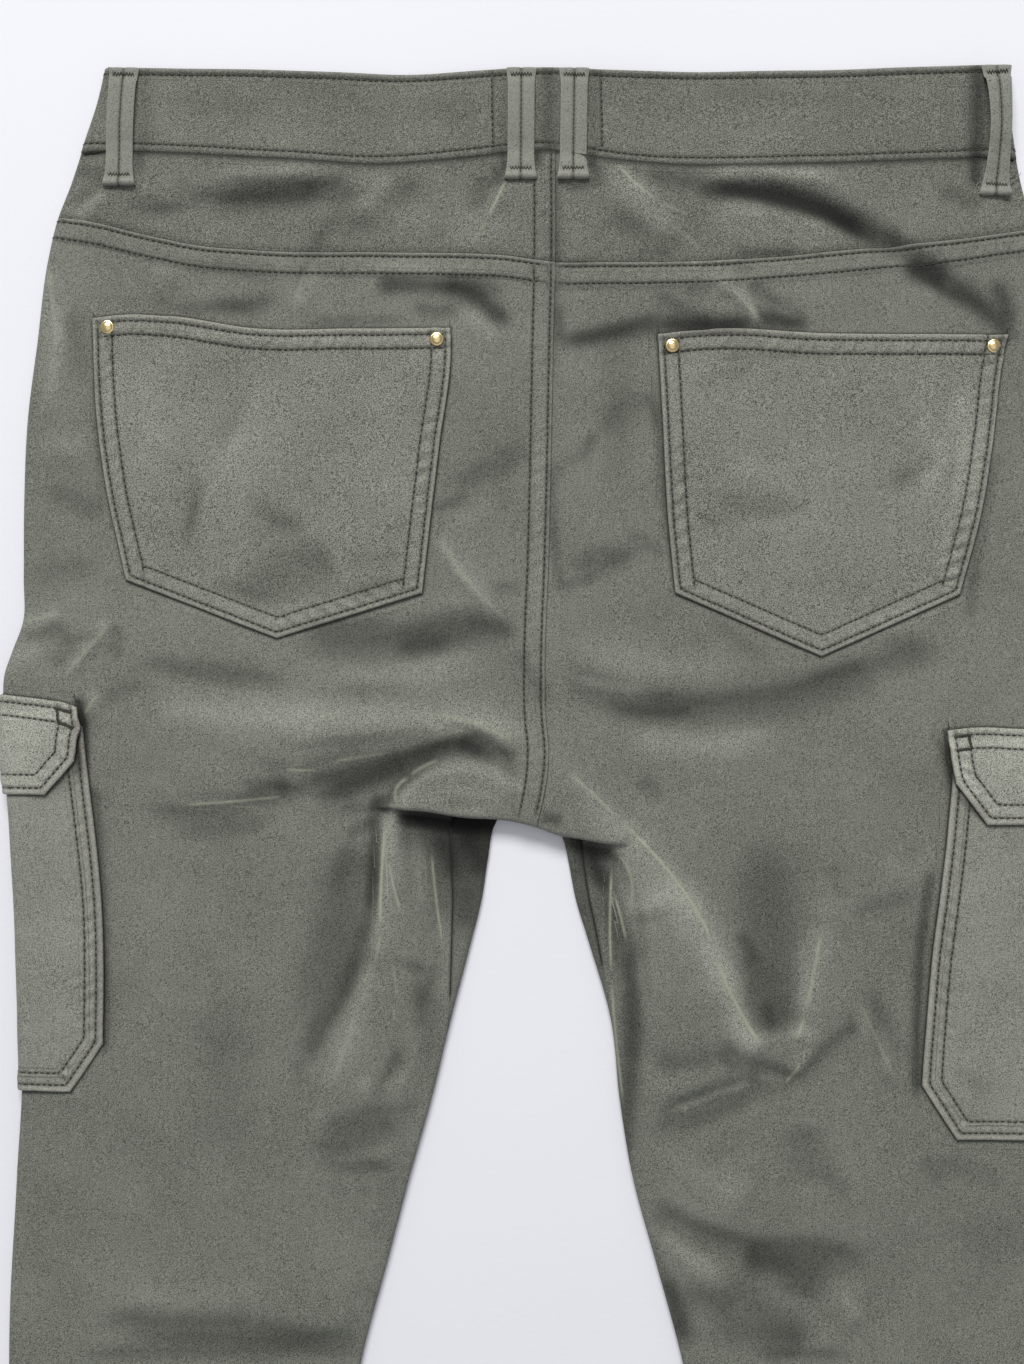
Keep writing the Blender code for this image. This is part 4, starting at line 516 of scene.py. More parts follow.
def ease(start, end, at):
    """0 before start, 1 after end, and smooth between them."""
    t = np.clip((np.asarray(at, dtype=float) - start) / (end - start), 0.0, 1.0)
    return t * t * (3 - 2 * t)


def fall(start, end, at):
    """1 before start, 0 after end, and smooth between them."""
    return 1 - ease(start, end, at)


def mix(a, b, share):
    return a + (b - a) * share


def placed(*values):
    """Points from their x, y and z, or faces from their corners, all spread to one shape."""
    return np.stack(np.broadcast_arrays(*values), axis=-1)


def hump(at, width):
    return np.exp(-(np.asarray(at, dtype=float) / width) ** 2)


class Side:
    """One half of the garment: sign is -1 on the wearer's left and 1 on the right."""

    def __init__(self, name, sign, edge, inner, inseam, side_seam, cargo, flap):
        self.name, self.sign, self.edge, self.inner = name, sign, edge, inner
        self.inseam, self.side_seam, self.cargo, self.flap = inseam, side_seam, cargo, flap

    def edge_x(self, y):
        return curve(self.edge, y)

    def inner_x(self, y):
        return curve(self.inner, y)

    def inseam_run(self, y):
        return curve(self.inseam, y)


LEFT = Side("left", -1, LEFT_EDGE, LEFT_INNER, LEFT_INSEAM, LEFT_SIDE_SEAM, LEFT_CARGO, LEFT_FLAP)
RIGHT = Side("right", 1, RIGHT_EDGE, RIGHT_INNER, RIGHT_INSEAM, RIGHT_SIDE_SEAM, RIGHT_CARGO, RIGHT_FLAP)
SIDES = (LEFT, RIGHT)
LIFT_MARGIN = 16.0
LIFT_RAMP = 50.0


def window(low, high, at):
    """1 between low and high and a margin beyond them, then a long smooth ramp to 0."""
    rise = ease(low - LIFT_MARGIN - LIFT_RAMP, low - LIFT_MARGIN, at)
    return rise * fall(high + LIFT_MARGIN, high + LIFT_MARGIN + LIFT_RAMP, at)


def run_from_edge(side, x, y):
    """Length of cloth from the extreme of the outer fold to a point on the top side."""
    return side.sign * (side.edge_x(y) - x) - FOLD_RADIUS + FOLD_RADIUS * math.pi / 2


def flat_from_run(side, run, y):
    """Where a run of cloth would lie if the top side went on flat past the outer fold."""
    return side.edge_x(y) - side.sign * (run + FOLD_RADIUS - FOLD_RADIUS * math.pi / 2)


def under_limit(side):
    """x where the hidden end of the cargo pocket lies, under the leg."""
    middle = (side.cargo["corner_y"] + CARGO_MOUTH_Y) / 2
    shown = run_from_edge(side, curve(side.cargo["edge"], middle), middle)
    flat = CARGO_WIDTH - shown - FOLD_RADIUS * math.pi / 2
    return float(side.edge_x(middle) - side.sign * (FOLD_RADIUS + flat))


REACH = {side: under_limit(side) for side in SIDES}


def lift(x, y):
    """Height of the front layer's underside: raised by what is folded under it."""
    total = np.zeros(np.broadcast(x, y).shape)
    for side in SIDES:
        across = ease(-LIFT_MARGIN - LIFT_RAMP, -LIFT_MARGIN, side.sign * (x - REACH[side]))
        pocket = window(side.cargo["foot_y"], CARGO_MOUTH_Y, y)
        flap = window(side.flap["foot_y"], side.flap["top_y"], y)
        total = total + across * (pocket + flap) * POCKET_STEP
    from_button = np.hypot(x, y - BUTTON_Y)
    return total + (BUTTON_HEIGHT + SEAM_GAP) * fall(24.0, 80.0, from_button)


def arc(x0, y0, x1, y1, x2, y2):
    """Points of the smooth arc from a start through a middle to an end."""
    t = np.linspace(0, 1, ARC_STEPS + 1)
    bend_x, bend_y = 2 * x1 - (x0 + x2) / 2, 2 * y1 - (y0 + y2) / 2
    x = (1 - t) ** 2 * x0 + 2 * t * (1 - t) * bend_x + t * t * x2
    y = (1 - t) ** 2 * y0 + 2 * t * (1 - t) * bend_y + t * t * y2
    return placed(x, y)


def nearest_on(line, x, y):
    """Distance from a line, positive on the left of its run, and length along the line."""
    best = np.full(x.shape, 1e9)
    facing = np.ones(x.shape)
    along = np.zeros(x.shape)
    start = 0.0
    for (ax, ay), (bx, by) in zip(line[:-1], line[1:]):
        dx, dy = bx - ax, by - ay
        span = max(math.hypot(dx, dy), 1e-6)
        t = np.clip(((x - ax) * dx + (y - ay) * dy) / span ** 2, 0, 1)
        gap_x, gap_y = x - ax - t * dx, y - ay - t * dy
        away = np.hypot(gap_x, gap_y)
        closer = away < best
        best = np.where(closer, away, best)
        facing = np.where(closer, np.where(dx * gap_y - dy * gap_x < 0, -1.0, 1.0), facing)
        along = np.where(closer, start + t * span, along)
        start += span
    return best * facing, along


def running(line):
    """Length from a line's start to each of its points."""
    return np.concatenate([[0], np.cumsum(np.hypot(*np.diff(line, axis=0).T))])


def points_at(line, length, at):
    """Points at given lengths along a line."""
    return np.stack([np.interp(at, length, line[:, i]) for i in range(line.shape[1])], axis=-1)


def length_of(line):
    return float(np.hypot(*np.diff(np.asarray(line, dtype=float), axis=0).T).sum())


def close_to(line, reach, x, y):
    """Indices of the points in the box round a line."""
    low, high = np.min(line, axis=0) - reach, np.max(line, axis=0) + reach
    return np.nonzero((x > low[0]) & (x < high[0]) & (y > low[1]) & (y < high[1]))[0]


def soft_sum(rows, x, y, steepest_share=STEEPEST):
    """Sum of soft strokes at each point, none of them steeper than its width allows."""
    x, y = np.broadcast_arrays(np.asarray(x, dtype=float), np.asarray(y, dtype=float))
    flat_x, flat_y = x.ravel(), y.ravel()
    total = np.zeros(flat_x.shape)
    for row in rows:
        line = arc(*row[:6])
        left, right, height, grow, die = row[6:]
        near = close_to(line, 2.5 * max(left, right), flat_x, flat_y)
        if near.size:
            away, along = nearest_on(line, flat_x[near], flat_y[near])
            share = along / length_of(line)
            fade = ease(0, grow, share) if grow else 1.0
            fade = fade * (fall(1 - die, 1, share) if die else 1.0)
            steepest = steepest_share * min(left, right)
            raised = steepest * math.tanh(FOLD_GAIN * height / steepest) if steepest_share else height
            total[near] += raised * fade * hump(away, np.where(away > 0, left, right))
    return total.reshape(x.shape)


def relief(x, y):
    """Height of the folds at each point."""
    return soft_sum(CLOTH_FOLDS, x, y)


def ripple(x, y, amount, longest, shortest, seed, waves=16):
    """Low uneven waves, from plain waves that run all ways."""
    draw = np.random.default_rng(seed)
    total = np.zeros(np.broadcast(x, y).shape)
    for _ in range(waves):
        length = draw.uniform(shortest, longest)
        angle = draw.uniform(0, math.pi)
        start = draw.uniform(0, 2 * math.pi)
        total += np.sin((x * math.cos(angle) + y * math.sin(angle)) * 2 * math.pi / length + start)
    return total * amount * math.sqrt(2 / waves)


LOOSE_AIR = 5.2
DEEPEST_TROUGH = 4.9


def slack(x, y):
    """Space between the two layers: open in the folds, and closed to almost nothing in the troughs."""
    waves = ((0.55, 150, 60, 3), (0.24, 60, 22, 5), (0.05, 20, 9, 6))
    shape = relief(x, y)
    for wave in waves:
        shape = shape + ripple(x, y, *wave)
    return LOOSE_AIR + np.where(shape > 0, shape, DEEPEST_TROUGH * np.tanh(shape / DEEPEST_TROUGH))


LIP_RISE = 3.0
LIP_UNDERCUT = 4.6


def lip_share(side, x):
    """1 where the seat hangs over the crotch, 0 where it runs straight into the leg."""
    return 1 - (ease(63.0, 84.0, -x) if side.sign < 0 else ease(24.0, 44.0, x))


def inner_radius(y):
    """Outer radius of the fold at the inner leg: pressed flatter near the crotch."""
    return mix(FOLD_RADIUS, 1.6, ease(70.0, 160.0, y))


def at_side(side, x, y):
    """1 at the outer fold, 0 a little way in from it."""
    return fall(0.0, 20.0, side.sign * (side.edge_x(y) - x) - FOLD_RADIUS)


def lying(side, x, y):
    """Height of the front layer's underside, and of the back layer's upper face over it."""
    base = lift(x, y)
    return base, mix(base + 2 * WALL + slack(x, y), base + 2 * FOLD_RADIUS, at_side(side, x, y))


def seat_height(side, x, y):
    """Height of the back layer's upper face above the crotch."""
    _, height = lying(side, x, y)
    over = fall(7.0, 62.0, y - curve(LIP_LINE, x))
    return height + LIP_RISE * over * lip_share(side, x)


def leg_height(side, x, y):
    """Height of the back layer's upper face below the crotch."""
    base, height = lying(side, x, y)
    height = height - LIP_UNDERCUT * fall(2.0, 36.0, curve(LIP_LINE, x) - y) * lip_share(side, x)
    height = np.maximum(height, base + 2 * WALL + 0.3)
    from_inner = side.sign * (x - side.inner_x(y))
    seam = side.inseam_run(y)
    at_inner = fall(np.maximum(seam, 0) + 1.5, np.maximum(seam, 0) + 15.0, from_inner)
    dip = 0.5 * hump(from_inner + QUARTER_SPARE * inner_radius(y) - seam, 1.1) * (seam > 4.0)
    return mix(height, base + 2 * inner_radius(y), at_inner) - dip


def outer_wrap(side, y, run, height, out, radius=FOLD_RADIUS):
    """Points a run of cloth away from the outer fold's extreme, and out from its face."""
    quarter = radius * math.pi / 2
    run = np.asarray(run, dtype=float)
    angle = np.clip(run / radius, -math.pi / 2, math.pi / 2)
    flat = np.maximum(np.abs(run) - quarter, 0.0)
    x = side.edge_x(y) - side.sign * radius + side.sign * ((radius + out) * np.cos(angle) - flat)
    base = lift(x, y)
    round_z = base + radius + (radius + out) * np.sin(angle)
    z = np.where(run > quarter, height(side, x, y) + out, np.where(run < -quarter, base - out, round_z))
    return placed(x, y, np.maximum(z, 0.0))


def inner_wrap(side, y, run):
    """Points a run of cloth away from the inner fold's extreme."""
    radius = inner_radius(y)
    quarter = radius * math.pi / 2
    run = np.asarray(run, dtype=float)
    angle = np.clip(run / radius, -math.pi / 2, math.pi / 2)
    flat = np.maximum(np.abs(run) - quarter, 0.0)
    x = side.inner_x(y) + side.sign * (radius * (1 - np.cos(angle)) + flat)
    base = lift(x, y)
    round_z = base + radius * (1 + np.sin(angle))
    z = np.where(run > quarter, leg_height(side, x, y), np.where(run < -quarter, base, round_z))
    return placed(x, y, z)


def object_of(name, points, faces, look, masks=()):
    """Object of a smooth mesh, from points in millimetres and lists of faces of like size."""
    mesh = bpy.data.meshes.new(name)
    faces = [np.asarray(group, dtype=np.int32) for group in faces if len(group)]
    corners = np.concatenate([group.ravel() for group in faces])
    sizes = np.concatenate([np.full(len(group), group.shape[1]) for group in faces])
    mesh.vertices.add(len(points))
    laid = np.array(points, dtype=float)
    laid[:, 2] = np.maximum(laid[:, 2], 0.0)
    mesh.vertices.foreach_set("co", (laid * MM).ravel())
    mesh.loops.add(len(corners))
    mesh.loops.foreach_set("vertex_index", corners)
    mesh.polygons.add(len(sizes))
    mesh.polygons.foreach_set("loop_start", np.concatenate([[0], np.cumsum(sizes)[:-1]]))
    mesh.polygons.foreach_set("use_smooth", np.ones(len(sizes), dtype=bool))
    mesh.update(calc_edges=True)
    for key, values in dict(masks).items():
        mesh.attributes.new(key, "FLOAT", "POINT").data.foreach_set("value", np.asarray(values, dtype=float))
    mesh.materials.append(look)
    piece = bpy.data.objects.new(name, mesh)
    bpy.context.collection.objects.link(piece)
    return piece


def kept(count, anchor, step):
    """Every step-th index counted from the anchor, with both ends."""
    return [i for i in range(count) if (i - anchor) % step == 0 or i in (0, count - 1)]


def shell(name, blocks, wall, look, step, flip=False, roll=0.3):
    """One piece of cloth with rounded edges.

    Each block is points, rows by columns, the row and column that its coarser inner face is
    counted from, and masks by name. Blocks share their borders.
    """
    everything = np.concatenate([block[0].reshape(-1, 3) for block in blocks])
    _, first, twin = np.unique(np.round(everything, 4), axis=0, return_index=True, return_inverse=True)
    twin = twin.ravel()
    points = everything[first]
    masks = {}
    for key in blocks[0][3]:
        values = [np.broadcast_to(block[3][key], block[0].shape[:2]).ravel() for block in blocks]
        masks[key] = np.concatenate(values)[first]
    quads, inner_quads, inner_ids = [], [], []
    start = 0
    for grid, row_anchor, column_anchor, _ in blocks:
        rows, columns = grid.shape[:2]
        ids = twin[start:start + rows * columns].reshape(rows, columns)
        start += rows * columns
        few = ids[np.ix_(kept(rows, row_anchor, step), kept(columns, column_anchor, step))]
        for target, table in ((quads, ids), (inner_quads, few)):
            corners = [table[:-1, :-1], table[1:, :-1], table[1:, 1:], table[:-1, 1:]]
            ring = np.stack(corners, axis=-1).reshape(-1, 4)
            target.append(ring[:, ::-1] if flip else ring)
        inner_ids.append(few.ravel())
    quads, inner_quads = np.concatenate(quads), np.concatenate(inner_quads)
    diagonal_a = points[quads[:, 2]] - points[quads[:, 0]]
    diagonal_b = points[quads[:, 3]] - points[quads[:, 1]]
    facing = np.cross(diagonal_a, diagonal_b)
    normals = np.zeros(points.shape)
    for corner in range(4):
        np.add.at(normals, quads[:, corner], facing)
    normals /= np.maximum(np.linalg.norm(normals, axis=1, keepdims=True), 1e-9)
    count = len(points)
    inner_ids = np.unique(np.concatenate(inner_ids))
    inner_place = np.full(count, -1)
    inner_place[inner_ids] = count + np.arange(len(inner_ids))
    inner_points = points[inner_ids] - normals[inner_ids] * wall
    edges = np.concatenate([quads[:, [k, (k + 1) % 4]] for k in range(4)]).astype(np.int64)
    code, back = edges[:, 0] * count + edges[:, 1], edges[:, 1] * count + edges[:, 0]
    border = edges[~np.isin(code, back)]
    after = dict(border.tolist())
    rim_points, rim_twins, rim_quads, rim_triangles = [], [], [], []
    rim_start = count + len(inner_ids)
    while after:
        begin = next((a for a in after if inner_place[a] >= 0), None)
        if begin is None:
            break
        loop = [begin]
        following = after.pop(begin)
        while following != begin:
            loop.append(following)
            following = after.pop(following)
        loop = np.array(loop)
        place = points[loop]
        ahead = np.roll(place, -1, axis=0) - np.roll(place, 1, axis=0)
        ahead /= np.maximum(np.linalg.norm(ahead, axis=1, keepdims=True), 1e-9)
        outward = np.cross(ahead, normals[loop])
        middle = rim_start + np.arange(len(loop))
        rim_start += len(loop)
        rim_points.append(place - normals[loop] * wall / 2 + outward * wall * roll)
        rim_twins.append(loop)
        next_loop, next_middle = np.roll(loop, -1), np.roll(middle, -1)
        rim_quads.append(placed(next_loop, loop, middle, next_middle))
        stops = [i for i in range(len(loop)) if inner_place[loop[i]] >= 0] + [len(loop)]
        for low, high in zip(stops[:-1], stops[1:]):
            inside, onward = inner_place[loop[low]], inner_place[loop[high % len(loop)]]
            for j in range(low, high):
                rim_triangles.append((middle[(j + 1) % len(loop)], middle[j], inside))
            rim_triangles.append((middle[high % len(loop)], inside, onward))
    all_points = np.concatenate([points, inner_points] + rim_points)
    for key, values in masks.items():
        masks[key] = np.concatenate([values, values[inner_ids]] + [values[twins] for twins in rim_twins])
    inner_faces = inner_place[inner_quads[:, ::-1]]
    faces = [quads, inner_faces, np.concatenate(rim_quads), rim_triangles]
    return object_of(name, all_points, faces, look, masks)


def group(name, inputs, outputs):
    """An empty shader node group with named inputs and outputs."""
    tree = bpy.data.node_groups.new(name, "ShaderNodeTree")
    for label, kind in inputs:
        tree.interface.new_socket(name=label, in_out="INPUT", socket_type=kind)
    for label, kind in outputs:
        tree.interface.new_socket(name=label, in_out="OUTPUT", socket_type=kind)
    return tree, tree.nodes.new("NodeGroupInput").outputs, tree.nodes.new("NodeGroupOutput").inputs


def sateen_weave():
    """Fine steep twill: the height of its ribs, and the shade of single yarns."""
    tree, given, out = group(
        "Sateen weave",
        (("Point", "NodeSocketVector"), ("Turn", "NodeSocketFloat"), ("Size", "NodeSocketFloat")),
        (("Weave", "NodeSocketFloat"), ("Shade", "NodeSocketFloat")))
    turned = node(tree, "ShaderNodeVectorRotate", {"Vector": given["Point"], "Angle": given["Turn"]},
                  rotation_type="Z_AXIS").outputs[0]
    fineness = sums(tree, "DIVIDE", 1.0, given["Size"])
    scaled = node(tree, "ShaderNodeVectorMath", {0: turned, "Scale": fineness}, operation="SCALE").outputs[0]
    place = node(tree, "ShaderNodeSeparateXYZ", {0: scaled}).outputs
    across = sums(tree, "ADD", place[0], sums(tree, "MULTIPLY", noise(tree, scaled, 0.22, 1.0), 1.4))
    rib = sums(tree, "SINE", sums(tree, "MULTIPLY", across, 2 * math.pi))
    cross = sums(tree, "SINE", sums(tree, "MULTIPLY_ADD", place[1], 3.1, sums(tree, "MULTIPLY", across, 3.1)))
    held = sums(tree, "MULTIPLY_ADD", cross, 0.25, 0.75)
    tree.links.new(sums(tree, "MULTIPLY_ADD", sums(tree, "MULTIPLY", rib, held), 0.5, 0.5), out["Weave"])
    tree.links.new(noise(tree, scaled, 1.15, 2.0, Roughness=0.6), out["Shade"])
    return tree


def washed_cotton():
    """Uneven dye of washed cloth: broad clouds, single pale or dark yarns, and fine specks."""
    tree, given, out = group(
        "Washed cotton",
        (("Point", "NodeSocketVector"),),
        (("Mottle", "NodeSocketFloat"), ("Speckle", "NodeSocketFloat"), ("Slub", "NodeSocketFloat"),
         ("Grain", "NodeSocketFloat")))
    for mask, scale, detail in (("Mottle", 24.0, 4.0), ("Speckle", 1300.0, 1.0), ("Grain", 2300.0, 0.0)):
        tree.links.new(noise(tree, given["Point"], scale, detail), out[mask])
    drawn = node(tree, "ShaderNodeVectorMath", {0: given["Point"], 1: (900.0, 110.0, 300.0)},
                 operation="MULTIPLY").outputs[0]
    tree.links.new(noise(tree, drawn, 1.0, 1.0), out["Slub"])
    return tree


SATEEN = sateen_weave()
WASHED = washed_cotton()
YARN = 0.0010
CLOTH_DEEP = (0.0622, 0.0654, 0.0508, 1)
CLOTH_LIGHT = (0.2370, 0.2430, 0.2080, 1)
WORN_TONE = (0.440, 0.420, 0.370, 1)
CREASE_TONE = (0.335, 0.340, 0.262, 1)
# Painted shadow in the grooves of the rows of stitches, and painted contact shadow where an edge lies on the
# cloth.
ROW_SHADOW_TONE = (0.026, 0.026, 0.020, 1)
CONTACT_SHADOW_TONE = (0.014, 0.014, 0.011, 1)


def measured(tree, name):
    return node(tree, "ShaderNodeAttribute", attribute_name=name, attribute_type="GEOMETRY").outputs["Fac"]


def line_mask(tree, name, width):
    """Soft line from a distance and a strength that the mesh carries."""
    side = sums(tree, "DIVIDE", measured(tree, name + "_side"), width)
    falling = sums(tree, "EXPONENT", sums(tree, "MULTIPLY", sums(tree, "MULTIPLY", side, side), -1.0))
    return sums(tree, "MULTIPLY", falling, measured(tree, name + "_strength"))


def sateen(name, tone=0.0, turn=0.6, grain=1.0):
    """Olive grey cotton sateen: weave, washed dye, painted shade and light from the mesh, worn edges, pale
    creases, painted shadow in the grooves of the rows of stitches, and painted contact shadow where edges lie
    on it.

    The share between the deep and the light dye keeps its mean when the grain is stronger.
    """
    made, tree, shader = finish(name, {"Roughness": 0.72, "Specular IOR Level": 0.18, "Sheen Weight": 0.1,
                                       "Sheen Roughness": 0.45})
    point = node(tree, "ShaderNodeTexCoord").outputs["Object"]
    weave = node(tree, "ShaderNodeGroup", {"Point": point, "Turn": turn, "Size": YARN}, node_tree=SATEEN)
    dye = node(tree, "ShaderNodeGroup", {"Point": point}, node_tree=WASHED)
    share = tone - 0.535
    for mask, weight, offset in (
            (dye.outputs["Mottle"], 0.55, None), (dye.outputs["Speckle"], 0.9 * grain, 0.45 * (1 - grain)),
            (dye.outputs["Slub"], 0.25, 0.125), (weave.outputs["Weave"], 0.12, None),
            (dye.outputs["Grain"], 1.7 * grain, 0.1 - 0.85 * grain)):
        if offset is not None:
            share = sums(tree, "ADD", share, offset)
        share = sums(tree, "MULTIPLY_ADD", mask, weight, share)
    color = blended(tree, sums(tree, "ADD", share, 0.0, clamp=True), CLOTH_DEEP, CLOTH_LIGHT)
    # Painted shade and light from the mesh, darker in the troughs and under other parts and lighter on the
    # ridges, with each piece's own tone.
    depth = sums(tree, "EXPONENT", sums(tree, "MULTIPLY", measured(tree, "painted_shade_and_tone"), 0.5))
    color = node(tree, "ShaderNodeVectorMath", {0: color, "Scale": depth}, operation="SCALE").outputs[0]
    patchy = sums(tree, "MULTIPLY_ADD", weave.outputs["Shade"], 1.06, -0.165)
    wear = sums(tree, "MULTIPLY", measured(tree, "wear"), patchy, clamp=True)
    color = blended(tree, wear, color, WORN_TONE)
    uneven = sums(tree, "MULTIPLY_ADD", weave.outputs["Shade"], 1.6, 0.25)
    # Pale worn creases, painted shadow along the rows of stitches, and painted contact shadow along edges
    # that lie on the cloth.
    for line, width, power, tint in (
            ("crease", 1.0, uneven, CREASE_TONE), ("row", 0.8, 0.56, ROW_SHADOW_TONE),
            ("edge", 1.15, 0.85, CONTACT_SHADOW_TONE)):
        mask = sums(tree, "MULTIPLY", line_mask(tree, line, width), power, clamp=True)
        color = blended(tree, mask, color, tint)
    rough = sums(tree, "MULTIPLY_ADD", dye.outputs["Mottle"], 0.12, 0.66)
    tree.links.new(rough, shader.inputs["Roughness"])
    height = sums(tree, "MULTIPLY", weave.outputs["Weave"], 0.045)
    height = sums(tree, "MULTIPLY_ADD", weave.outputs["Shade"], 0.11, height)
    height = sums(tree, "MULTIPLY_ADD", dye.outputs["Slub"], 0.08, height)
    height = sums(tree, "MULTIPLY_ADD", noise(tree, point, 130.0, 3.0, Roughness=0.55), 0.55, height)
    coated(tree, shader, color, height, 1.0, 0.001)
    return made


# Pale worn lines on creases: start, middle and end on the grid, half width in millimetres, strength.
WORN_CREASES = (
    (618, 818, 680, 886, 714, 950, 0.7, 0.9), (714, 950, 730, 993, 761, 1046, 0.8, 1.0),
    (568, 772, 592, 793, 618, 818, 0.7, 0.5), (820, 927, 813, 966, 803, 1014, 0.8, 0.55),
    (803, 1014, 798, 1030, 792, 1042, 0.8, 0.6), (799, 1060, 793, 1072, 785, 1084, 0.7, 0.5),
    (386, 820, 382, 880, 381, 931, 0.7, 0.9), (381, 931, 379, 948, 374, 966, 0.7, 0.5),
    (388, 855, 394, 885, 402, 914, 0.6, 0.7), (431, 851, 436, 900, 443, 948, 0.6, 0.7),
    (400, 1000, 396, 985, 393, 960, 0.6, 0.3), (612, 865, 610, 924, 612, 976, 0.6, 0.8),
    (612, 976, 615, 1028, 624, 1108, 0.6, 0.6), (614, 893, 620, 915, 626, 941, 0.6, 0.7),
    (615, 851, 629, 872, 631, 905, 0.7, 0.5), (179, 805, 232, 801, 286, 796, 0.6, 0.55),
    (286, 768, 302, 770, 319, 769, 0.6, 0.5), (330, 762, 360, 757, 392, 752, 0.7, 0.35),
    (505, 184, 497, 202, 487, 219, 0.7, 0.7), (487, 219, 480, 232, 470, 246, 0.8, 0.3),
    (618, 167, 630, 183, 657, 203, 0.7, 0.6), (657, 203, 672, 210, 690, 216, 0.8, 0.3),
    (112, 624, 96, 644, 64, 680, 0.8, 0.32), (24, 620, 44, 618, 64, 611, 0.8, 0.25),
    (103, 693, 96, 702, 89, 714, 0.7, 0.4), (420, 712, 470, 722, 520, 745, 1.0, 0.35),
    (400, 806, 396, 790, 410, 776, 0.8, 0.5), (410, 776, 424, 766, 440, 760, 0.8, 0.35),
    (440, 533, 462, 574, 509, 622, 1.0, 0.3), (48, 262, 52, 300, 60, 350, 1.0, 0.3),
    (652, 215, 690, 240, 700, 256, 1.0, 0.2), (390, 1001, 394, 1010, 395, 1020, 0.6, 0.3),
    (357, 1020, 345, 1050, 330, 1090, 1.0, 0.25), (858, 1000, 874, 1036, 893, 1078, 0.8, 0.25),
    (728, 290, 744, 304, 757, 322, 0.9, 0.3), (306, 270, 300, 290, 292, 318, 1.0, 0.2),
)
LINE_REACH = 6.0


def worn_lines(x, y):
    """Distance, in half widths, to the strongest worn line near each point, and its strength."""
    flat_x, flat_y = x.ravel(), y.ravel()
    side, strength, best = np.full(flat_x.shape, LINE_REACH), np.zeros(flat_x.shape), np.zeros(flat_x.shape)
    for row in WORN_CREASES:
        line = arc(*on_cloth(*row[0:2]), *on_cloth(*row[2:4]), *on_cloth(*row[4:6]))
        half_width, full = row[6:]
        near = close_to(line, LINE_REACH * half_width, flat_x, flat_y)
        if near.size:
            away, along = nearest_on(line, flat_x[near], flat_y[near])
            away = np.clip(away / half_width, -LINE_REACH, LINE_REACH)
            share = along / length_of(line)
            power = full * ease(0, 0.2, share) * fall(0.8, 1, share)
            power = power * fall(4.4, LINE_REACH, np.abs(away))
            score = power * hump(away, 1.0)
            wins = score > best[near]
            chosen = near[wins]
            side[chosen], strength[chosen], best[chosen] = away[wins], power[wins], score[wins]
    return side.reshape(x.shape), strength.reshape(x.shape)


ROW_REACH = 3.0
EDGE_REACH = 5.0
# Shade under the seat's lip. Stretches across: where it starts and is full, where it fades and
# ends, strength. Layers down the leg: how far down it fades and ends, strength.
LIP_SHADE_ACROSS = ((-71.0, -62.0, -24.0, -12.0, 1.0), (8.0, 16.0, 27.0, 38.0, 0.45))
LIP_SHADE_DOWN = ((5.4, 9.6, 3.8), (7.0, 24.0, 1.2), (14.0, 62.0, 0.9))


def under_lip(x, y):
    """Shade of the cloth that lies behind the hanging seat of the crotch."""
    below = curve(LIP_LINE, x) - y
    across = sum(power * (ease(a, b, x) * fall(c, d, x)) for a, b, c, d, power in LIP_SHADE_ACROSS)
    return -across * sum(power * fall(fades, ends, below) for fades, ends, power in LIP_SHADE_DOWN)


def nearest_line(lines, reach, x, y):
    """Distance to the nearest line, with its sign, and without."""
    flat_x, flat_y = x.ravel(), y.ravel()
    side, nearest = np.full(flat_x.shape, reach), np.full(flat_x.shape, reach)
    for line in lines:
        near = close_to(line, reach, flat_x, flat_y)
        if near.size:
            away, _ = nearest_on(line, flat_x[near], flat_y[near])
            closer = np.abs(away) < nearest[near]
            chosen = near[closer]
            side[chosen], nearest[chosen] = away[closer], np.abs(away[closer])
    return side.reshape(x.shape), nearest.reshape(x.shape)


def marks(x, y, rows=(), wear=0.0, edges=(), contrast=1.0, shade=0.0):
    """What a mesh carries for its finish: wear, worn lines, and the painted shadow of rows of stitches and of
    edges lying on it.

    The painted shade follows the folds: darker in their troughs and lighter on their ridges, with the painted
    shade and light of the strokes added. Contrast makes it stronger, and shade is added to it.
    """
    x, y = np.broadcast_arrays(np.asarray(x, dtype=float), np.asarray(y, dtype=float))
    crease_side, crease_strength = worn_lines(x, y)
    row_side, nearest = nearest_line(rows, ROW_REACH, x, y)
    row_strength = fall(1.6, ROW_REACH, nearest)
    edge_side, nearest = nearest_line(edges, EDGE_REACH, x, y)
    edge_strength = fall(3.6, EDGE_REACH, nearest)
    # Painted shade and light: darker in the folds' troughs, lighter on their ridges, plus the strokes of
    # painted shade and light.
    high = np.tanh(relief(x, y) / 3.4) + soft_sum(CLOTH_PAINTED_SHADE, x, y, 0)
    high = np.where(high > 0, 0.85 * np.tanh(high / 1.1), high)
    return {
        "painted_shade_and_tone": high * contrast + shade, "wear": np.broadcast_to(wear, x.shape),
        "crease_side": crease_side, "crease_strength": crease_strength,
        "row_side": row_side, "row_strength": row_strength,
        "edge_side": edge_side, "edge_strength": edge_strength,
    }


def spread(*stretches):
    """Stations from stretches of start, end, spacing, each end shared with the next start."""
    stations = [stretches[0][0]]
    for start, end, spacing in stretches:
        count = max(1, round(abs(end - start) / spacing))
        stations += list(np.linspace(start, end, count + 1))[1:]
    return np.array(stations)


def put(piece, slot, instead=True):
    """Place a piece on the garment, instead of its plain node."""
    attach(piece, "root")
    if instead:
        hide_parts(slot)


LIP_FOOT = 3.0
TURN_STEPS = 14
FRONT_SHADE = 0.35
CROTCH_Y = 185.0


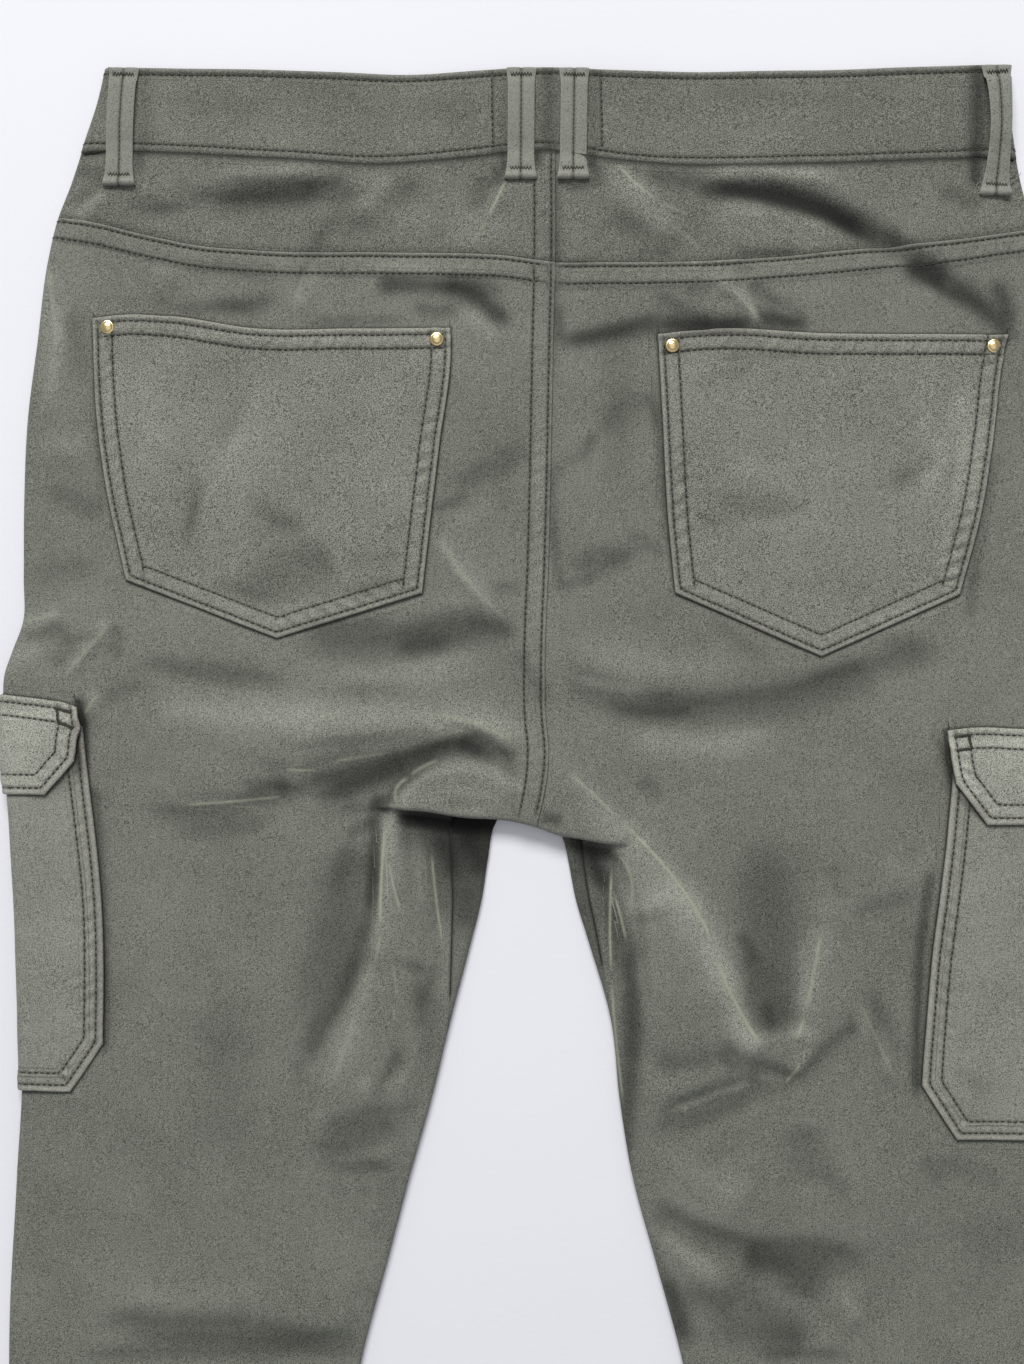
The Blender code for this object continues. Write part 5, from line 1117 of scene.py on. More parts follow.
def lip_pivot(side):
    """Where the inseam comes out from under the lip."""
    y = 170.0
    for _ in range(4):
        x = float(inner_wrap(side, y, float(side.inseam_run(y)) + INSEAM_GAP / 2)[0])
        y = float(curve(LIP_LINE, x)) - LIP_FOOT
    return x, y


def front_top_line(x):
    return curve(FRONT_BAND_TOP, x) - FRONT_BAND_DEPTH - SEAM_GAP / 2


def inseam_line(side):
    """The seam up the inner leg, where it lies on the shown side."""
    y = np.linspace(176.0, -60.0, 80)
    run = side.inseam_run(y)
    x = side.inner_x(y) + side.sign * (run - QUARTER_SPARE * inner_radius(y))
    return placed(x, y)[(run > 4.0) & (y < curve(LIP_LINE, x) - 4.0)]


def front_panel(side, look):
    """Front with leg: flat under the back, and turned up over the inner leg to the inseam."""
    shares = np.linspace(0, 1, 40)[:-1][:, None]
    centre_y = mix(front_top_line(0.0), CROTCH_Y, shares)
    start = curve(CENTRE_FRONT, centre_y) + side.sign * SEAM_GAP / 2
    edge_y = mix(front_top_line(side.sign * 200.0), CROTCH_Y, shares)
    end = curve(side.side_seam, edge_y) - side.sign * SEAM_GAP / 2
    columns = np.linspace(0, 1, 31)[None, :]
    x = start + (end - start) * columns
    y = mix(front_top_line(x), CROTCH_Y, shares)
    _, first = lip_pivot(side)
    stations = spread((first, FINE_END_Y, 3.2), (FINE_END_Y, HEM_Y, 13.0))
    stations = np.unique(np.concatenate([[CROTCH_Y, 181.0, 176.0], stations]))[::-1][:, None]
    quarter = inner_radius(stations) * math.pi / 2
    end_run = side.inseam_run(stations) - INSEAM_GAP / 2
    steps = np.arange(TURN_STEPS + 1)[None, :]
    reach = np.maximum(end_run + quarter + 1.5, 15.0)
    runs = end_run - reach * steps / TURN_STEPS
    turn = inner_wrap(side, stations, runs)
    seam_x = curve(side.side_seam, stations) - side.sign * SEAM_GAP / 2
    flat_x = turn[:, -1:, 0] + (seam_x - turn[:, -1:, 0]) * columns
    flat = placed(flat_x, stations, lift(flat_x, stations))
    body = placed(x, y, lift(x, y))
    turn[:, -1] = flat[:, 0]
    body = np.concatenate([body, flat])
    blocks = []
    for points, row_anchor, column_anchor in ((body, len(shares), 0), (turn, 0, TURN_STEPS)):
        x, y = points[..., 0], points[..., 1]
        masks = marks(x, y, [inseam_line(side)])
        # Painted shade: the fronts are darker where they lie under the backs, darker still towards the
        # crotch, and darkest behind the seat's hanging lip.
        masks["painted_shade_and_tone"] = masks["painted_shade_and_tone"] - 0.6 * ease(96.0, 166.0, y) - FRONT_SHADE + under_lip(x, y)
        blocks.append((points, row_anchor, column_anchor, masks))
    return shell("front_" + side.name + "_cloth", blocks, WALL, look, step=2, flip=side.sign > 0)


for side in SIDES:
    piece = front_panel(side, sateen("front_" + side.name + "_sateen", -0.02))
    put(piece, "front_" + side.name)

# ================================================================ backs
# Seat and leg in one on each side, in the same sateen, lying over the fronts and turned under
# at the side to the side seam. Felled seams join them to the yokes and to each other, and the
# seat hangs over the crotch as a soft lip. Two rows of dark thread run along each felled seam.
CENTRE_BACK = (
    (520, 4.6), (477, 4.6), (430, 4.6), (389, 3.7), (343, 2.8), (293, 1.6),
    (249, 0.0), (222, 0.2), (205, 1.6), (190, 0.4), (170, -3.8),
)
YOKE_SEAM = (
    (-235, 452.0), (-224, 450.5), (-205, 447.0), (-182, 441.3), (-158, 436.6),
    (-134, 434.6), (-75, 433.5), (-22, 432.6), (4.6, 429.0), (34, 429.0),
    (117, 432.6), (165, 437.2), (189, 439.4), (220, 444.4), (235, 447.0),
)
SEAM_ROWS = (1.9, 9.6)
FELL_WIDTH = 10.6
FELL_RISE = 0.85
CLOSE_COLUMNS = 12
CLOSE_SPACING = 1.1
FAR_COLUMNS = 132
UNDER_COLUMNS = 6
LIP_CLEAR = 4.1
LIP_TOP_ROW = 5.0
# Roll of the lip: height above the lip line, share of the drop still to go.
LIP_ROLL = (
    (3.4, 0.985), (2.0, 0.945), (0.9, 0.87), (0.25, 0.75), (-0.05, 0.6), (0.0, 0.44),
    (0.45, 0.28), (1.3, 0.14), (2.6, 0.04),
)
# Rows and columns of the mesh beside a felled seam, closer at its two rows of stitches.
SEAM_FOOT = (8.0, 8.8, 9.2, 9.6, 10.0, 10.4, 11.0, 11.8, 13.0)
ROWS_AT_SEAM = (0, 0.5, 1.1, 1.5, 1.9, 2.3, 2.8, 3.9, 5.2, 6.6, *SEAM_FOOT)
COLUMNS_AT_SEAM = (0, 0.5, 1.1, 1.5, 1.9, 2.3, 2.8, 4.0, 5.4, 6.8, *SEAM_FOOT)
SEAT_DEPTH = 262.0
LEG_CONTRAST = {LEFT: 1.0, RIGHT: 1.2}
SEAT_CONTRAST = 1.2


def pucker(along, seed, amount=0.2):
    """Short uneven waves along a seam, where the thread draws the cloth in."""
    draw = np.random.default_rng(seed)
    total = 0.0
    for _ in range(5):
        total = total + np.sin(along * 2 * math.pi / draw.uniform(4.4, 8.5) + draw.uniform(0, 6.3))
    return amount * total / 1.7


def stitch_groove(away):
    return -0.34 * hump(away, 0.75)


def felled(away, along, seed, rise=FELL_RISE, width=FELL_WIDTH, rows=SEAM_ROWS):
    """Rise of a felled edge: thicker out to its width, drawn down and puckered at its rows."""
    between = hump(away - (rows[0] + rows[-1]) / 2, max(rows[-1] - rows[0], 1e-9) / 2.2)
    body = rise * fall(width - 1.0, width + 1.6, away) * (0.72 + 0.28 * ease(-0.2, 1.0, away))
    lines = sum(stitch_groove(away - row) for row in rows)
    return body + lines + pucker(along + 0.45 * away, seed) * between


def centre_away(x, y):
    """Distance into the left panel from the centre back seam."""
    return curve(CENTRE_BACK, y) - SEAM_GAP / 2 - x


def seams(side, x, y):
    """Height that the seams add to the back panel's face."""
    below = curve(YOKE_SEAM, x) - SEAM_GAP / 2 - y
    total = felled(below, x, 11 + side.sign)
    inward = -centre_away(x, y)
    if side.sign < 0:
        centre = felled(-inward, y, 21)
        total = np.where(below < FELL_WIDTH, np.maximum(total, centre), centre)
    else:
        total = total - 0.5 * hump(inward, 2.6)
    hem = y - HEM_Y
    return total + np.where(hem < 30, felled(hem, x, 31, 0.6, HEM_DEPTH + 1.0, (HEM_DEPTH,)), 0)


def seat_face(side, x, y):
    return seat_height(side, x, y) + seams(side, x, y)


def leg_face(side, x, y):
    return leg_height(side, x, y) + seams(side, x, y)


def seat_rows():
    """Rows of the seat, as shares of the way from the yoke seam to the crest of the lip."""
    head = np.array(ROWS_AT_SEAM) / SEAT_DEPTH
    return np.concatenate([head, np.linspace(head[-1], 1, 152)[1:]])[:, None]


def outer_end(side, line, y):
    """y at which each row meets the outer fold, and x where the fold's turn starts."""
    for _ in range(4):
        hub = side.edge_x(y) - side.sign * FOLD_RADIUS
        y = line(hub)
    return y, side.edge_x(y) - side.sign * FOLD_RADIUS


def near_spacing(span):
    """Distances of the columns between the centre seam and the inseam."""
    first = COLUMNS_AT_SEAM[-1]
    steps = max(2, round((span - first) / 1.5))
    return np.concatenate([COLUMNS_AT_SEAM, np.linspace(first, span, steps + 1)[1:]])


def seat_columns(side, line, y0):
    """x of every column of the seat's rows, and y of each row at the outer fold."""
    pivot_x, _ = lip_pivot(side)
    start = curve(CENTRE_BACK, line(np.zeros_like(y0))) + side.sign * SEAM_GAP / 2
    span = abs(pivot_x - float(curve(CENTRE_BACK, curve(LIP_LINE, -3.8)))) - SEAM_GAP / 2
    near = start + side.sign * near_spacing(span)[None, :]
    close = near[:, -1:] + side.sign * CLOSE_SPACING * np.arange(1, CLOSE_COLUMNS + 1)[None, :]
    edge_y, hub = outer_end(side, line, y0)
    far = close[:, -1:] + (hub - close[:, -1:]) * np.linspace(0, 1, FAR_COLUMNS + 1)[None, 1:]
    return np.concatenate([near, close, far], axis=1), edge_y, near.shape[1] - 1


def turned_under(side, edge_y, height, radius=FOLD_RADIUS):
    """Columns round the outer fold and under it to the side seam."""
    quarter = radius * math.pi / 2
    turn = outer_wrap(side, edge_y, quarter * np.linspace(1, -1, 10)[None, 1:], height, 0.0, radius)
    seam_x = curve(side.side_seam, edge_y) + side.sign * SEAM_GAP / 2
    hub = turn[:, -1:, 0]
    x = hub + (seam_x - hub) * np.linspace(0, 1, UNDER_COLUMNS + 1)[None, 1:]
    flat = placed(x, edge_y, lift(x, edge_y))
    return np.concatenate([turn, flat], axis=1)


def seat_block(side):
    shares = seat_rows()

    def line(x):
        return mix(curve(YOKE_SEAM, x) - SEAM_GAP / 2, curve(LIP_LINE, x) + LIP_TOP_ROW, shares)

    x, edge_y, near = seat_columns(side, line, np.zeros_like(shares))
    y = line(x)
    seat = placed(x, y, seat_face(side, x, y))
    seat = np.concatenate([seat, turned_under(side, edge_y, seat_face)], axis=1)
    rolled = []
    for place, (rise, share) in enumerate(LIP_ROLL):
        even = mix(LIP_TOP_ROW, -1.8, (place + 1) / len(LIP_ROLL))

        def lip(x):
            return curve(LIP_LINE, x) + mix(even, rise, lip_share(side, x))

        x, edge_y, _ = seat_columns(side, lip, np.zeros((1, 1)))
        y = lip(x)
        lip_y = curve(LIP_LINE, x)
        crest = seat_face(side, x, lip_y + LIP_TOP_ROW)
        joined = ease(0, 6, side.sign * (x - x[:, near:near + 1]))
        foot = mix(LIP_CLEAR, leg_face(side, x, lip_y - LIP_FOOT), joined)
        straight = fall(0, 1, (place + 1) / (len(LIP_ROLL) + 1))
        drop = mix(straight, share, lip_share(side, x))
        row = placed(x, y, mix(foot, crest, drop))
        rolled.append(np.concatenate([row, turned_under(side, edge_y, seat_face)], axis=1))
    return np.concatenate([seat] + rolled), near


def leg_block(side, head):
    """Rows down the leg, below the seat's last row."""
    _, first = lip_pivot(side)
    hem = HEM_Y + 24
    stations = spread((first, FINE_END_Y, 1.6), (FINE_END_Y, hem, 4.6), (hem, HEM_Y, 2.0))[:, None]
    start = INSEAM_GAP / 2 + side.inseam_run(stations)
    runs = start + CLOSE_SPACING * np.arange(CLOSE_COLUMNS + 1)[None, :]
    close = inner_wrap(side, stations, runs)
    anchor = inner_wrap(side, stations, start)[..., 0]
    slant = np.clip((stations - 87.0) / (first - 87.0), 0.0, 1.0)

    def line(x):
        return stations + slant * (curve(LIP_LINE, x) - curve(LIP_LINE, anchor))

    x = close[..., 0]
    y = line(x)
    flat = runs > inner_radius(stations) * math.pi / 2
    z = np.where(flat, leg_face(side, x, y), close[..., 2])
    close = placed(x, y, z)
    edge_y, hub = outer_end(side, line, stations)
    x = close[:, -1:, 0] + (hub - close[:, -1:, 0]) * np.linspace(0, 1, FAR_COLUMNS + 1)[None, 1:]
    y = line(x)
    far = placed(x, y, leg_face(side, x, y))
    under = turned_under(side, edge_y, leg_face)
    return np.concatenate([head[None], np.concatenate([close, far, under], axis=1)])


def yoke_row(side, down):
    """Path of a row of stitches below the yoke seam, from the centre round to the side seam."""
    x = side.sign * np.linspace(0, 258, 160)
    x = x[side.sign * x < side.sign * flat_from_run(side, -14.0, 444.0)]
    x = x[side.sign * (x - 4.6) > 0.6]
    return placed(x, curve(YOKE_SEAM, x) - down)


def centre_row(inward, high, low):
    y = np.linspace(high, low, 150)
    return placed(curve(CENTRE_BACK, y) - inward, y)


# Outlines of the back pockets: x, y along the mouth, the pointed foot and the two sides.
LEFT_POCKET = {
    "top": (
        (-207.5, 403.2), (-192, 405.0), (-175, 404.3), (-133, 398.2), (-90, 398.4), (-43.7, 398.6),
    ),
    "foot": ((-191.8, 283.6), (-122.8, 256.9), (-56.6, 277.6)),
    "start": ((-207.5, 403.2), (-206.1, 368.7), (-200.1, 320.8), (-191.8, 283.6)),
    "end": ((-43.7, 398.6), (-43.4, 388.9), (-48.8, 344.7), (-52.4, 314.8), (-56.6, 277.6)),
}
RIGHT_POCKET = {
    "top": ((52.0, 395.8), (66, 397.6), (134, 395.8), (190, 395.8), (212.1, 395.8)),
    "foot": ((59.8, 277.6), (126.5, 248.6), (190.0, 277.1)),
    "start": ((52.0, 395.8), (53.8, 362.7), (57.0, 306.6), (59.8, 277.6)),
    "end": ((212.1, 395.8), (209.3, 382.9), (204.7, 345.7), (199.2, 312.1), (190.0, 277.1)),
}
POINTS_PER_CORNER = 14
POCKETS = {LEFT: LEFT_POCKET, RIGHT: RIGHT_POCKET}


def rounded(corners):
    """A line with its inner corners eased, keeping its ends."""
    corners = np.array(corners, dtype=float)
    length = running(corners)
    at = np.linspace(0, length[-1], POINTS_PER_CORNER * len(corners))
    return np.stack([curve(placed(length, corners[:, i]), at) for i in (0, 1)], axis=-1)


def pocket_edge(outline):
    """The sewn edge: down one side, along the pointed foot and up the other side."""
    start, end = rounded(outline["start"]), rounded(outline["end"])
    return np.concatenate([start, np.array(outline["foot"])[1:2], end[::-1]])


FLAP_STEP_Y = 12.0
# Lines along a patch run this far round under the leg.
UNDER_RUN = 60.0


def mouth_y(side):
    return min(CARGO_MOUTH_Y, side.flap["top_y"] - FLAP_STEP_Y)


def patch_edge(side, end_line, head_y, corner_y, foot_y):
    """The patch's shown edge in the flat: along its end, its cut corner and its foot."""
    y = np.linspace(head_y, corner_y, 24)
    line = [placed(curve(end_line, y), y)]
    run = run_from_edge(side, curve(end_line, corner_y), corner_y) - CARGO_CHAMFER
    corner = flat_from_run(side, run, foot_y)
    line.append(np.array([[corner, foot_y], [flat_from_run(side, -UNDER_RUN, foot_y), foot_y]]))
    return np.concatenate(line)


def cargo_edge(side):
    return patch_edge(side, side.cargo["edge"], mouth_y(side), side.cargo["corner_y"], side.cargo["foot_y"])


def flap_edge(side):
    flap = side.flap
    return patch_edge(side, flap["edge"], flap["top_y"], flap["corner_y"], flap["foot_y"])


def flap_top(side, x):
    """Height down the garment of the flap's sewn upper edge."""
    rows = side.flap["top"]
    return curve(rows, np.clip(x, rows[0][0], rows[-1][0]))


def outlines(side):
    """Edges of the patches that lie on the back panel, painted as a contact shadow on it; the line set beside
    the flap is the flap's painted shadow.
    """
    flap = flap_edge(side)
    start = float(curve(side.flap["edge"], side.flap["top_y"]))
    head = np.linspace(start, float(side.edge_x(side.flap["top_y"])), 20)
    head = placed(head, flap_top(side, head))
    mouth = rounded(POCKETS[side]["top"])
    # Painted shadow of the flap, a little way beyond its edge.
    beside = flap + np.array([side.sign * -1.4, 0.0])
    return [pocket_edge(POCKETS[side]), mouth, cargo_edge(side), flap, beside, head]


def back_rows(side):
    rows = [yoke_row(side, down) for down in SEAM_ROWS]
    if side.sign < 0:
        rows += [centre_row(inward, 428.0, 176.0) for inward in SEAM_ROWS]
    return rows


def back_panel(side, look):
    seat, near = seat_block(side)
    leg = leg_block(side, seat[-1, near:])
    rows = back_rows(side) + [inseam_line(side)]
    blocks = []
    for points, row_anchor, column_anchor in ((seat, len(seat) - 1, near), (leg, 0, 0)):
        x, y = points[..., 0], points[..., 1]
        hem = 0.5 * fall(0.5, 3.0, y - HEM_Y)
        edge = 0.35 * fall(0.0, 1.4, curve(YOKE_SEAM, x) - y)
        centre = 0.35 * fall(0.0, 1.4, np.abs(centre_away(x, y))) * (y > 175) if side.sign < 0 else 0
        wear = np.maximum(np.maximum(hem, edge), centre)
        if points is leg:
            masks = marks(x, y, rows, wear, outlines(side), LEG_CONTRAST[side], under_lip(x, y))
        else:
            crest = hump(y - curve(LIP_LINE, x) - 1.0, 1.5) * lip_share(side, x)
            masks = marks(x, y, rows, np.maximum(wear, 0.6 * crest), outlines(side), SEAT_CONTRAST)
        blocks.append((points, row_anchor, column_anchor, masks))
    return shell("back_" + side.name + "_cloth", blocks, WALL, look, step=3, flip=side.sign < 0)


THREAD_RADIUS = 0.42
STITCH_PITCH = 2.85
STITCH_LENGTH = 1.95
STITCH_DRIFT = 0.12
STITCH_RISE = 0.06
HEM_DEPTH = 17.0


def thread_look(name="dark olive thread", low=(0.016, 0.016, 0.012, 1), high=(0.060, 0.058, 0.043, 1)):
    made, tree, shader = finish(name, {"Roughness": 0.62, "Specular IOR Level": 0.3, "Sheen Weight": 0.1})
    point = node(tree, "ShaderNodeTexCoord").outputs["Object"]
    broad, fine = noise(tree, point, 190.0, 2.0), noise(tree, point, 3800.0, 1.0)
    share = sums(tree, "MULTIPLY_ADD", fine, 0.5, sums(tree, "MULTIPLY_ADD", broad, 1.4, -0.5), clamp=True)
    coated(tree, shader, blended(tree, share, low, high), fine, 0.6, 0.0001)
    return made


DARK_THREAD = thread_look()


def along_path(path, pitch, phase=0.0):
    """Points spaced evenly along a path in the plane."""
    path = np.asarray(path, dtype=float)
    length = np.concatenate([[0], np.cumsum(np.linalg.norm(np.diff(path, axis=0), axis=1))])
    return points_at(path, length, np.arange(phase, length[-1], pitch))


def capsules(starts, ends, radius, bulge):
    """Points and faces of short round-ended threads."""
    count = len(starts)
    run = ends - starts
    length = np.linalg.norm(run, axis=1, keepdims=True)
    ahead = run / np.maximum(length, 1e-9)
    side = np.cross(ahead, np.array([0.0, 0.0, 1.0]) + 0 * ahead)
    side /= np.maximum(np.linalg.norm(side, axis=1, keepdims=True), 1e-9)
    up = np.cross(side, ahead)
    rings = []
    rings.append(starts[:, None, :])
    angles = np.arange(5) * 2 * math.pi / 5
    for share, size, rise in ((0.16, 0.8, 0.5), (0.5, 1.0, 1.0), (0.84, 0.8, 0.5)):
        centre = starts + run * share + up * bulge * rise
        turn = [centre + size * radius * (side * math.cos(a) + up * math.sin(a)) for a in angles]
        rings.append(np.stack(turn, axis=1))
    rings.append(ends[:, None, :])
    points = np.concatenate(rings, axis=1)
    triangles, quads = [], []
    for k in range(5):
        after = (k + 1) % 5
        triangles += [(0, 1 + after, 1 + k), (16, 11 + k, 11 + after)]
        for ring in (1, 6):
            quads.append((ring + k, ring + after, ring + 5 + after, ring + 5 + k))
    offset = 17 * np.arange(count)[:, None, None]
    triangles = (np.array(triangles)[None] + offset).reshape(-1, 3)
    quads = (np.array(quads)[None] + offset).reshape(-1, 4)
    return points.reshape(-1, 3), triangles, quads


def stitches(name, slot, runs, radius=THREAD_RADIUS, look=DARK_THREAD):
    """One object of all the stitches of a piece, from runs of starts and ends."""
    points, triangles, quads, start = [], [], [], 0
    for starts, ends in runs:
        made, three, four = capsules(starts, ends, radius, 0.05)
        points.append(made)
        triangles.append(three + start)
        quads.append(four + start)
        start += len(made)
    piece = object_of(name, np.concatenate(points), [np.concatenate(triangles), np.concatenate(quads)], look)
    put(piece, slot, instead=False)


def even_stitches(path, draw):
    """Starts and ends of even stitches along a path laid out flat."""
    at = along_path(path, STITCH_PITCH, draw.uniform(0, STITCH_PITCH))
    heading = np.diff(at, axis=0)
    size = np.linalg.norm(heading, axis=1, keepdims=True)
    gap = heading / size * (size - STITCH_LENGTH) / 2
    return at[:-1] + gap, at[1:] - gap


def sewn(side, path, height, seed, radius=FOLD_RADIUS):
    """Slightly uneven stitches along a path laid out flat, on a piece that wraps the side."""
    draw = np.random.default_rng(seed)
    starts, ends = even_stitches(path, draw)
    jitter = draw.uniform(-STITCH_DRIFT, STITCH_DRIFT, starts.shape)
    placed = []
    for tips in (starts + jitter, ends + jitter):
        x, y = tips[:, 0], tips[:, 1]
        points = outer_wrap(side, y, run_from_edge(side, x, y), height, STITCH_RISE, radius)
        placed.append(np.concatenate([points[:, :2], np.maximum(points[:, 2:], 2 * THREAD_RADIUS)], axis=1))
    return placed[0], placed[1]


for side in SIDES:
    tone = 0.0 if side.sign < 0 else -0.01
    piece = back_panel(side, sateen("back_" + side.name + "_sateen", tone, grain=1.15))
    put(piece, "back_" + side.name)
    runs = [sewn(side, path, seat_face, 40 + place) for place, path in enumerate(back_rows(side))]
    y = HEM_Y + HEM_DEPTH
    x = np.linspace(side.inner_x(y) + side.sign * 4, side.edge_x(y) + side.sign * 12, 60)
    runs.append(sewn(side, placed(x, y), leg_face, 55))
    stitches("stitching_back_" + side.name, "back_" + side.name, runs)


# ================================================================ yokes
# A shaped piece on each side between the seat and the waistband, one ply of the same sateen.
# Its foot is felled under the seat, its head is caught in the waistband, and the two yokes
# meet at the centre seam, which runs on from the seat.
BAND_FOOT = (
    (-235, 480.4), (-186, 480.4), (-121, 477.4), (-76, 474.9), (-34, 477.7),
    (-2, 480.6), (34, 475.8), (131, 475.4), (200, 477.7), (235, 477.7),
)
YOKE_CONTRAST = 1.35


def yoke_face(side, x, y):
    """Height of the yoke: it dips under the seat's edge and under the waistband's foot."""
    above = y - curve(YOKE_SEAM, x)
    below_band = curve(BAND_FOOT, x) - y
    height = seat_height(side, x, y) - 0.75 * hump(above, 1.6) - 0.7 * hump(below_band, 2.2)
    height = height + pucker(x, 61, 0.10) * hump(below_band - 4.0, 4.0)
    if side.sign < 0:
        return height + felled(centre_away(x, y), y, 23, 0.7)
    return height - 0.5 * hump(centre_away(x, y), 2.6)


def yoke(side, look):
    depth = 46.0
    head = np.array([0, 0.8, 1.6, 2.6, 3.8])
    foot = depth - np.array([3.0, 2.2, 1.4, 0.7, 0])
    shares = (np.concatenate([head, np.linspace(5.2, depth - 4.2, 26), foot]) / depth)[:, None]

    def line(x):
        return mix(curve(BAND_FOOT, x) - SEAM_GAP / 2, curve(YOKE_SEAM, x) + SEAM_GAP / 2, shares)

    x, edge_y, near = seat_columns(side, line, np.zeros_like(shares))
    y = line(x)
    face = placed(x, y, yoke_face(side, x, y))
    points = np.concatenate([face, turned_under(side, edge_y, yoke_face)], axis=1)
    x, y = points[..., 0], points[..., 1]
    rows = [centre_row(inward, 481.0, 430.0) for inward in SEAM_ROWS] if side.sign < 0 else []
    centre = 0.3 * fall(0.0, 1.4, np.abs(centre_away(x, y))) if side.sign < 0 else 0.0
    # The waistband's foot lies on the yoke: a painted contact shadow along it, and a painted shadow line just
    # below it.
    waist = np.linspace(-205.0, 215.0, 60)
    masks = marks(x, y, rows, centre, [placed(waist, curve(BAND_FOOT, waist))],
                  YOKE_CONTRAST, -1.3 * hump(y - curve(BAND_FOOT, x) + 0.9, 1.9))
    return shell("yoke_" + side.name + "_cloth", [(points, 0, near, masks)], WALL, look,
                 step=3, flip=side.sign < 0), rows


for side in SIDES:
    piece, rows = yoke(side, sateen("yoke_" + side.name + "_sateen", -0.12, 0.9, 1.35))
    put(piece, "yoke_" + side.name)
    if rows:
        runs = [sewn(side, row, yoke_face, 70 + place) for place, row in enumerate(rows)]
        stitches("stitching_yoke_left", "yoke_left", runs)

# ================================================================ waistband
# Two plies of sateen over interlining: one long piece across the back, folded under at both
# sides, and a shorter piece on each front. It is sewn round all its edges, and rows of stitches
# across it mark the joins near the two middle loops.
BAND_WALL = 2.0
BAND_RADIUS = 3.2
BAND_SIDE = 210.0
BAND_TOP = (
    (-235, 518.8), (-202, 518.8), (-122, 517.8), (-57, 515.6), (-2, 518.4),
    (34, 517.2), (131, 518.0), (200, 519.8), (235, 519.8),
)
# Shade of the band beside the loops: x, width, depth.
BAND_SHADES = ((1.4, 4.4, 1.2), (199.0, 3.8, 2.2), (-19.3, 2.6, 0.6), (21.8, 2.6, 0.6), (-184.0, 3.0, 0.45))
BAND_CONTRAST = 0.5
BAND_HEAD_ROW = 2.6
BAND_FOOT_ROW = 3.7
BAND_CROSS_ROWS = (-24.2, 25.3)


def band_face(side, x, y):
    """Height of the waistband's upper face: rolled edges, sewn rows and a soft hollow along it."""
    from_edge = side.sign * (side.edge_x(y) - x) - BAND_RADIUS
    flat = lift(x, y) + mix(2 * BAND_WALL + 1.4, 2 * BAND_RADIUS, 1 - ease(0.0, 40.0, from_edge))
    down = curve(BAND_TOP, x) - y
    up = y - curve(BAND_FOOT, x)
    rolled = 0.5 * hump(down - 0.9, 1.3) + 0.35 * hump(up - 1.5, 1.8)
    lines = stitch_groove(down - BAND_HEAD_ROW) + stitch_groove(up - BAND_FOOT_ROW)
    waves = pucker(x, 81, 0.10) * (hump(down - 4.0, 3.5) + hump(up - 5.0, 3.5))
    crossing = sum(stitch_groove(x - row) for row in BAND_CROSS_ROWS)
    hollow = -0.5 * hump(down - 19.0, 11.0) + ripple(x, y, 0.22, 90, 30, 83)
    return flat + rolled + lines + waves + crossing + hollow + 0.3 * relief(x, y)


def back_band_half(side, shares):
    def line(x):
        return mix(curve(BAND_TOP, x), curve(BAND_FOOT, x) + SEAM_GAP / 2, shares)

    edge_y = line(side.sign * BAND_SIDE + np.zeros_like(shares))
    hub = side.edge_x(edge_y) - side.sign * BAND_RADIUS
    x = CENTRE_BACK[0][1] + (hub - CENTRE_BACK[0][1]) * np.linspace(0, 1, 125)[None, :]
    y = line(x)
    face = placed(x, y, band_face(side, x, y))
    return np.concatenate([face, turned_under(side, edge_y, band_face, radius=BAND_RADIUS)], axis=1)


def band_shares():
    depth = 40.0
    head = np.array([0, 0.5, 1.1, 1.7, 2.2, 2.6, 3.0, 3.6, 4.6])
    foot = depth - np.array([5.4, 4.6, 4.1, 3.7, 3.3, 2.8, 2.0, 1.3, 0.6, 0])
    return np.concatenate([head, np.linspace(6.0, depth - 6.8, 18), foot]) / depth


def band_rows():
    x = np.linspace(-222, 238, 300)
    head, foot = curve(BAND_TOP, x) - BAND_HEAD_ROW, curve(BAND_FOOT, x) + BAND_FOOT_ROW
    rows = [placed(x, head), placed(x, foot)]
    for across in BAND_CROSS_ROWS:
        rows.append(np.array([[across, 516.0], [across + 0.6, 481.0]]))
    return rows


def back_band(look):
    shares = band_shares()[:, None]
    left, right = back_band_half(LEFT, shares), back_band_half(RIGHT, shares)
    points = np.concatenate([left[:, :0:-1], right], axis=1)
    x, y = points[..., 0], points[..., 1]
    edge = 0.30 * fall(0.0, 1.6, curve(BAND_TOP, x) - y)
    masks = marks(x, y, band_rows(), edge)
    shades = sum(depth * hump(x - place, width) for place, width, depth in BAND_SHADES)
    # Painted shade beside the loops, which stand off the band, and a painted shadow line along the band's
    # foot.
    masks["painted_shade_and_tone"] = masks["painted_shade_and_tone"] * BAND_CONTRAST - shades - 1.1 * hump(y - curve(BAND_FOOT, x), 1.6)
    return shell("waistband_back_cloth", [(points, 0, 0, masks)], BAND_WALL, look, step=3, roll=0.5)


def front_band(side, look):
    shares = band_shares()[::2][:, None]
    drop = (FRONT_BAND_DEPTH - SEAM_GAP / 2) * shares
    side_y = curve(FRONT_BAND_TOP, side.sign * 200.0) - drop
    start = side.sign * SEAM_GAP / 2
    end = curve(side.side_seam, side_y) - side.sign * SEAM_GAP / 2
    x = start + (end - start) * np.linspace(0, 1, 61)[None, :]
    y = curve(FRONT_BAND_TOP, x) - drop
    points = placed(x, y, lift(x, y))
    masks = marks(x, y)
    return shell("waistband_front_" + side.name + "_cloth", [(points, 0, 0, masks)], BAND_WALL, look,
                 step=2, flip=side.sign > 0, roll=0.4)


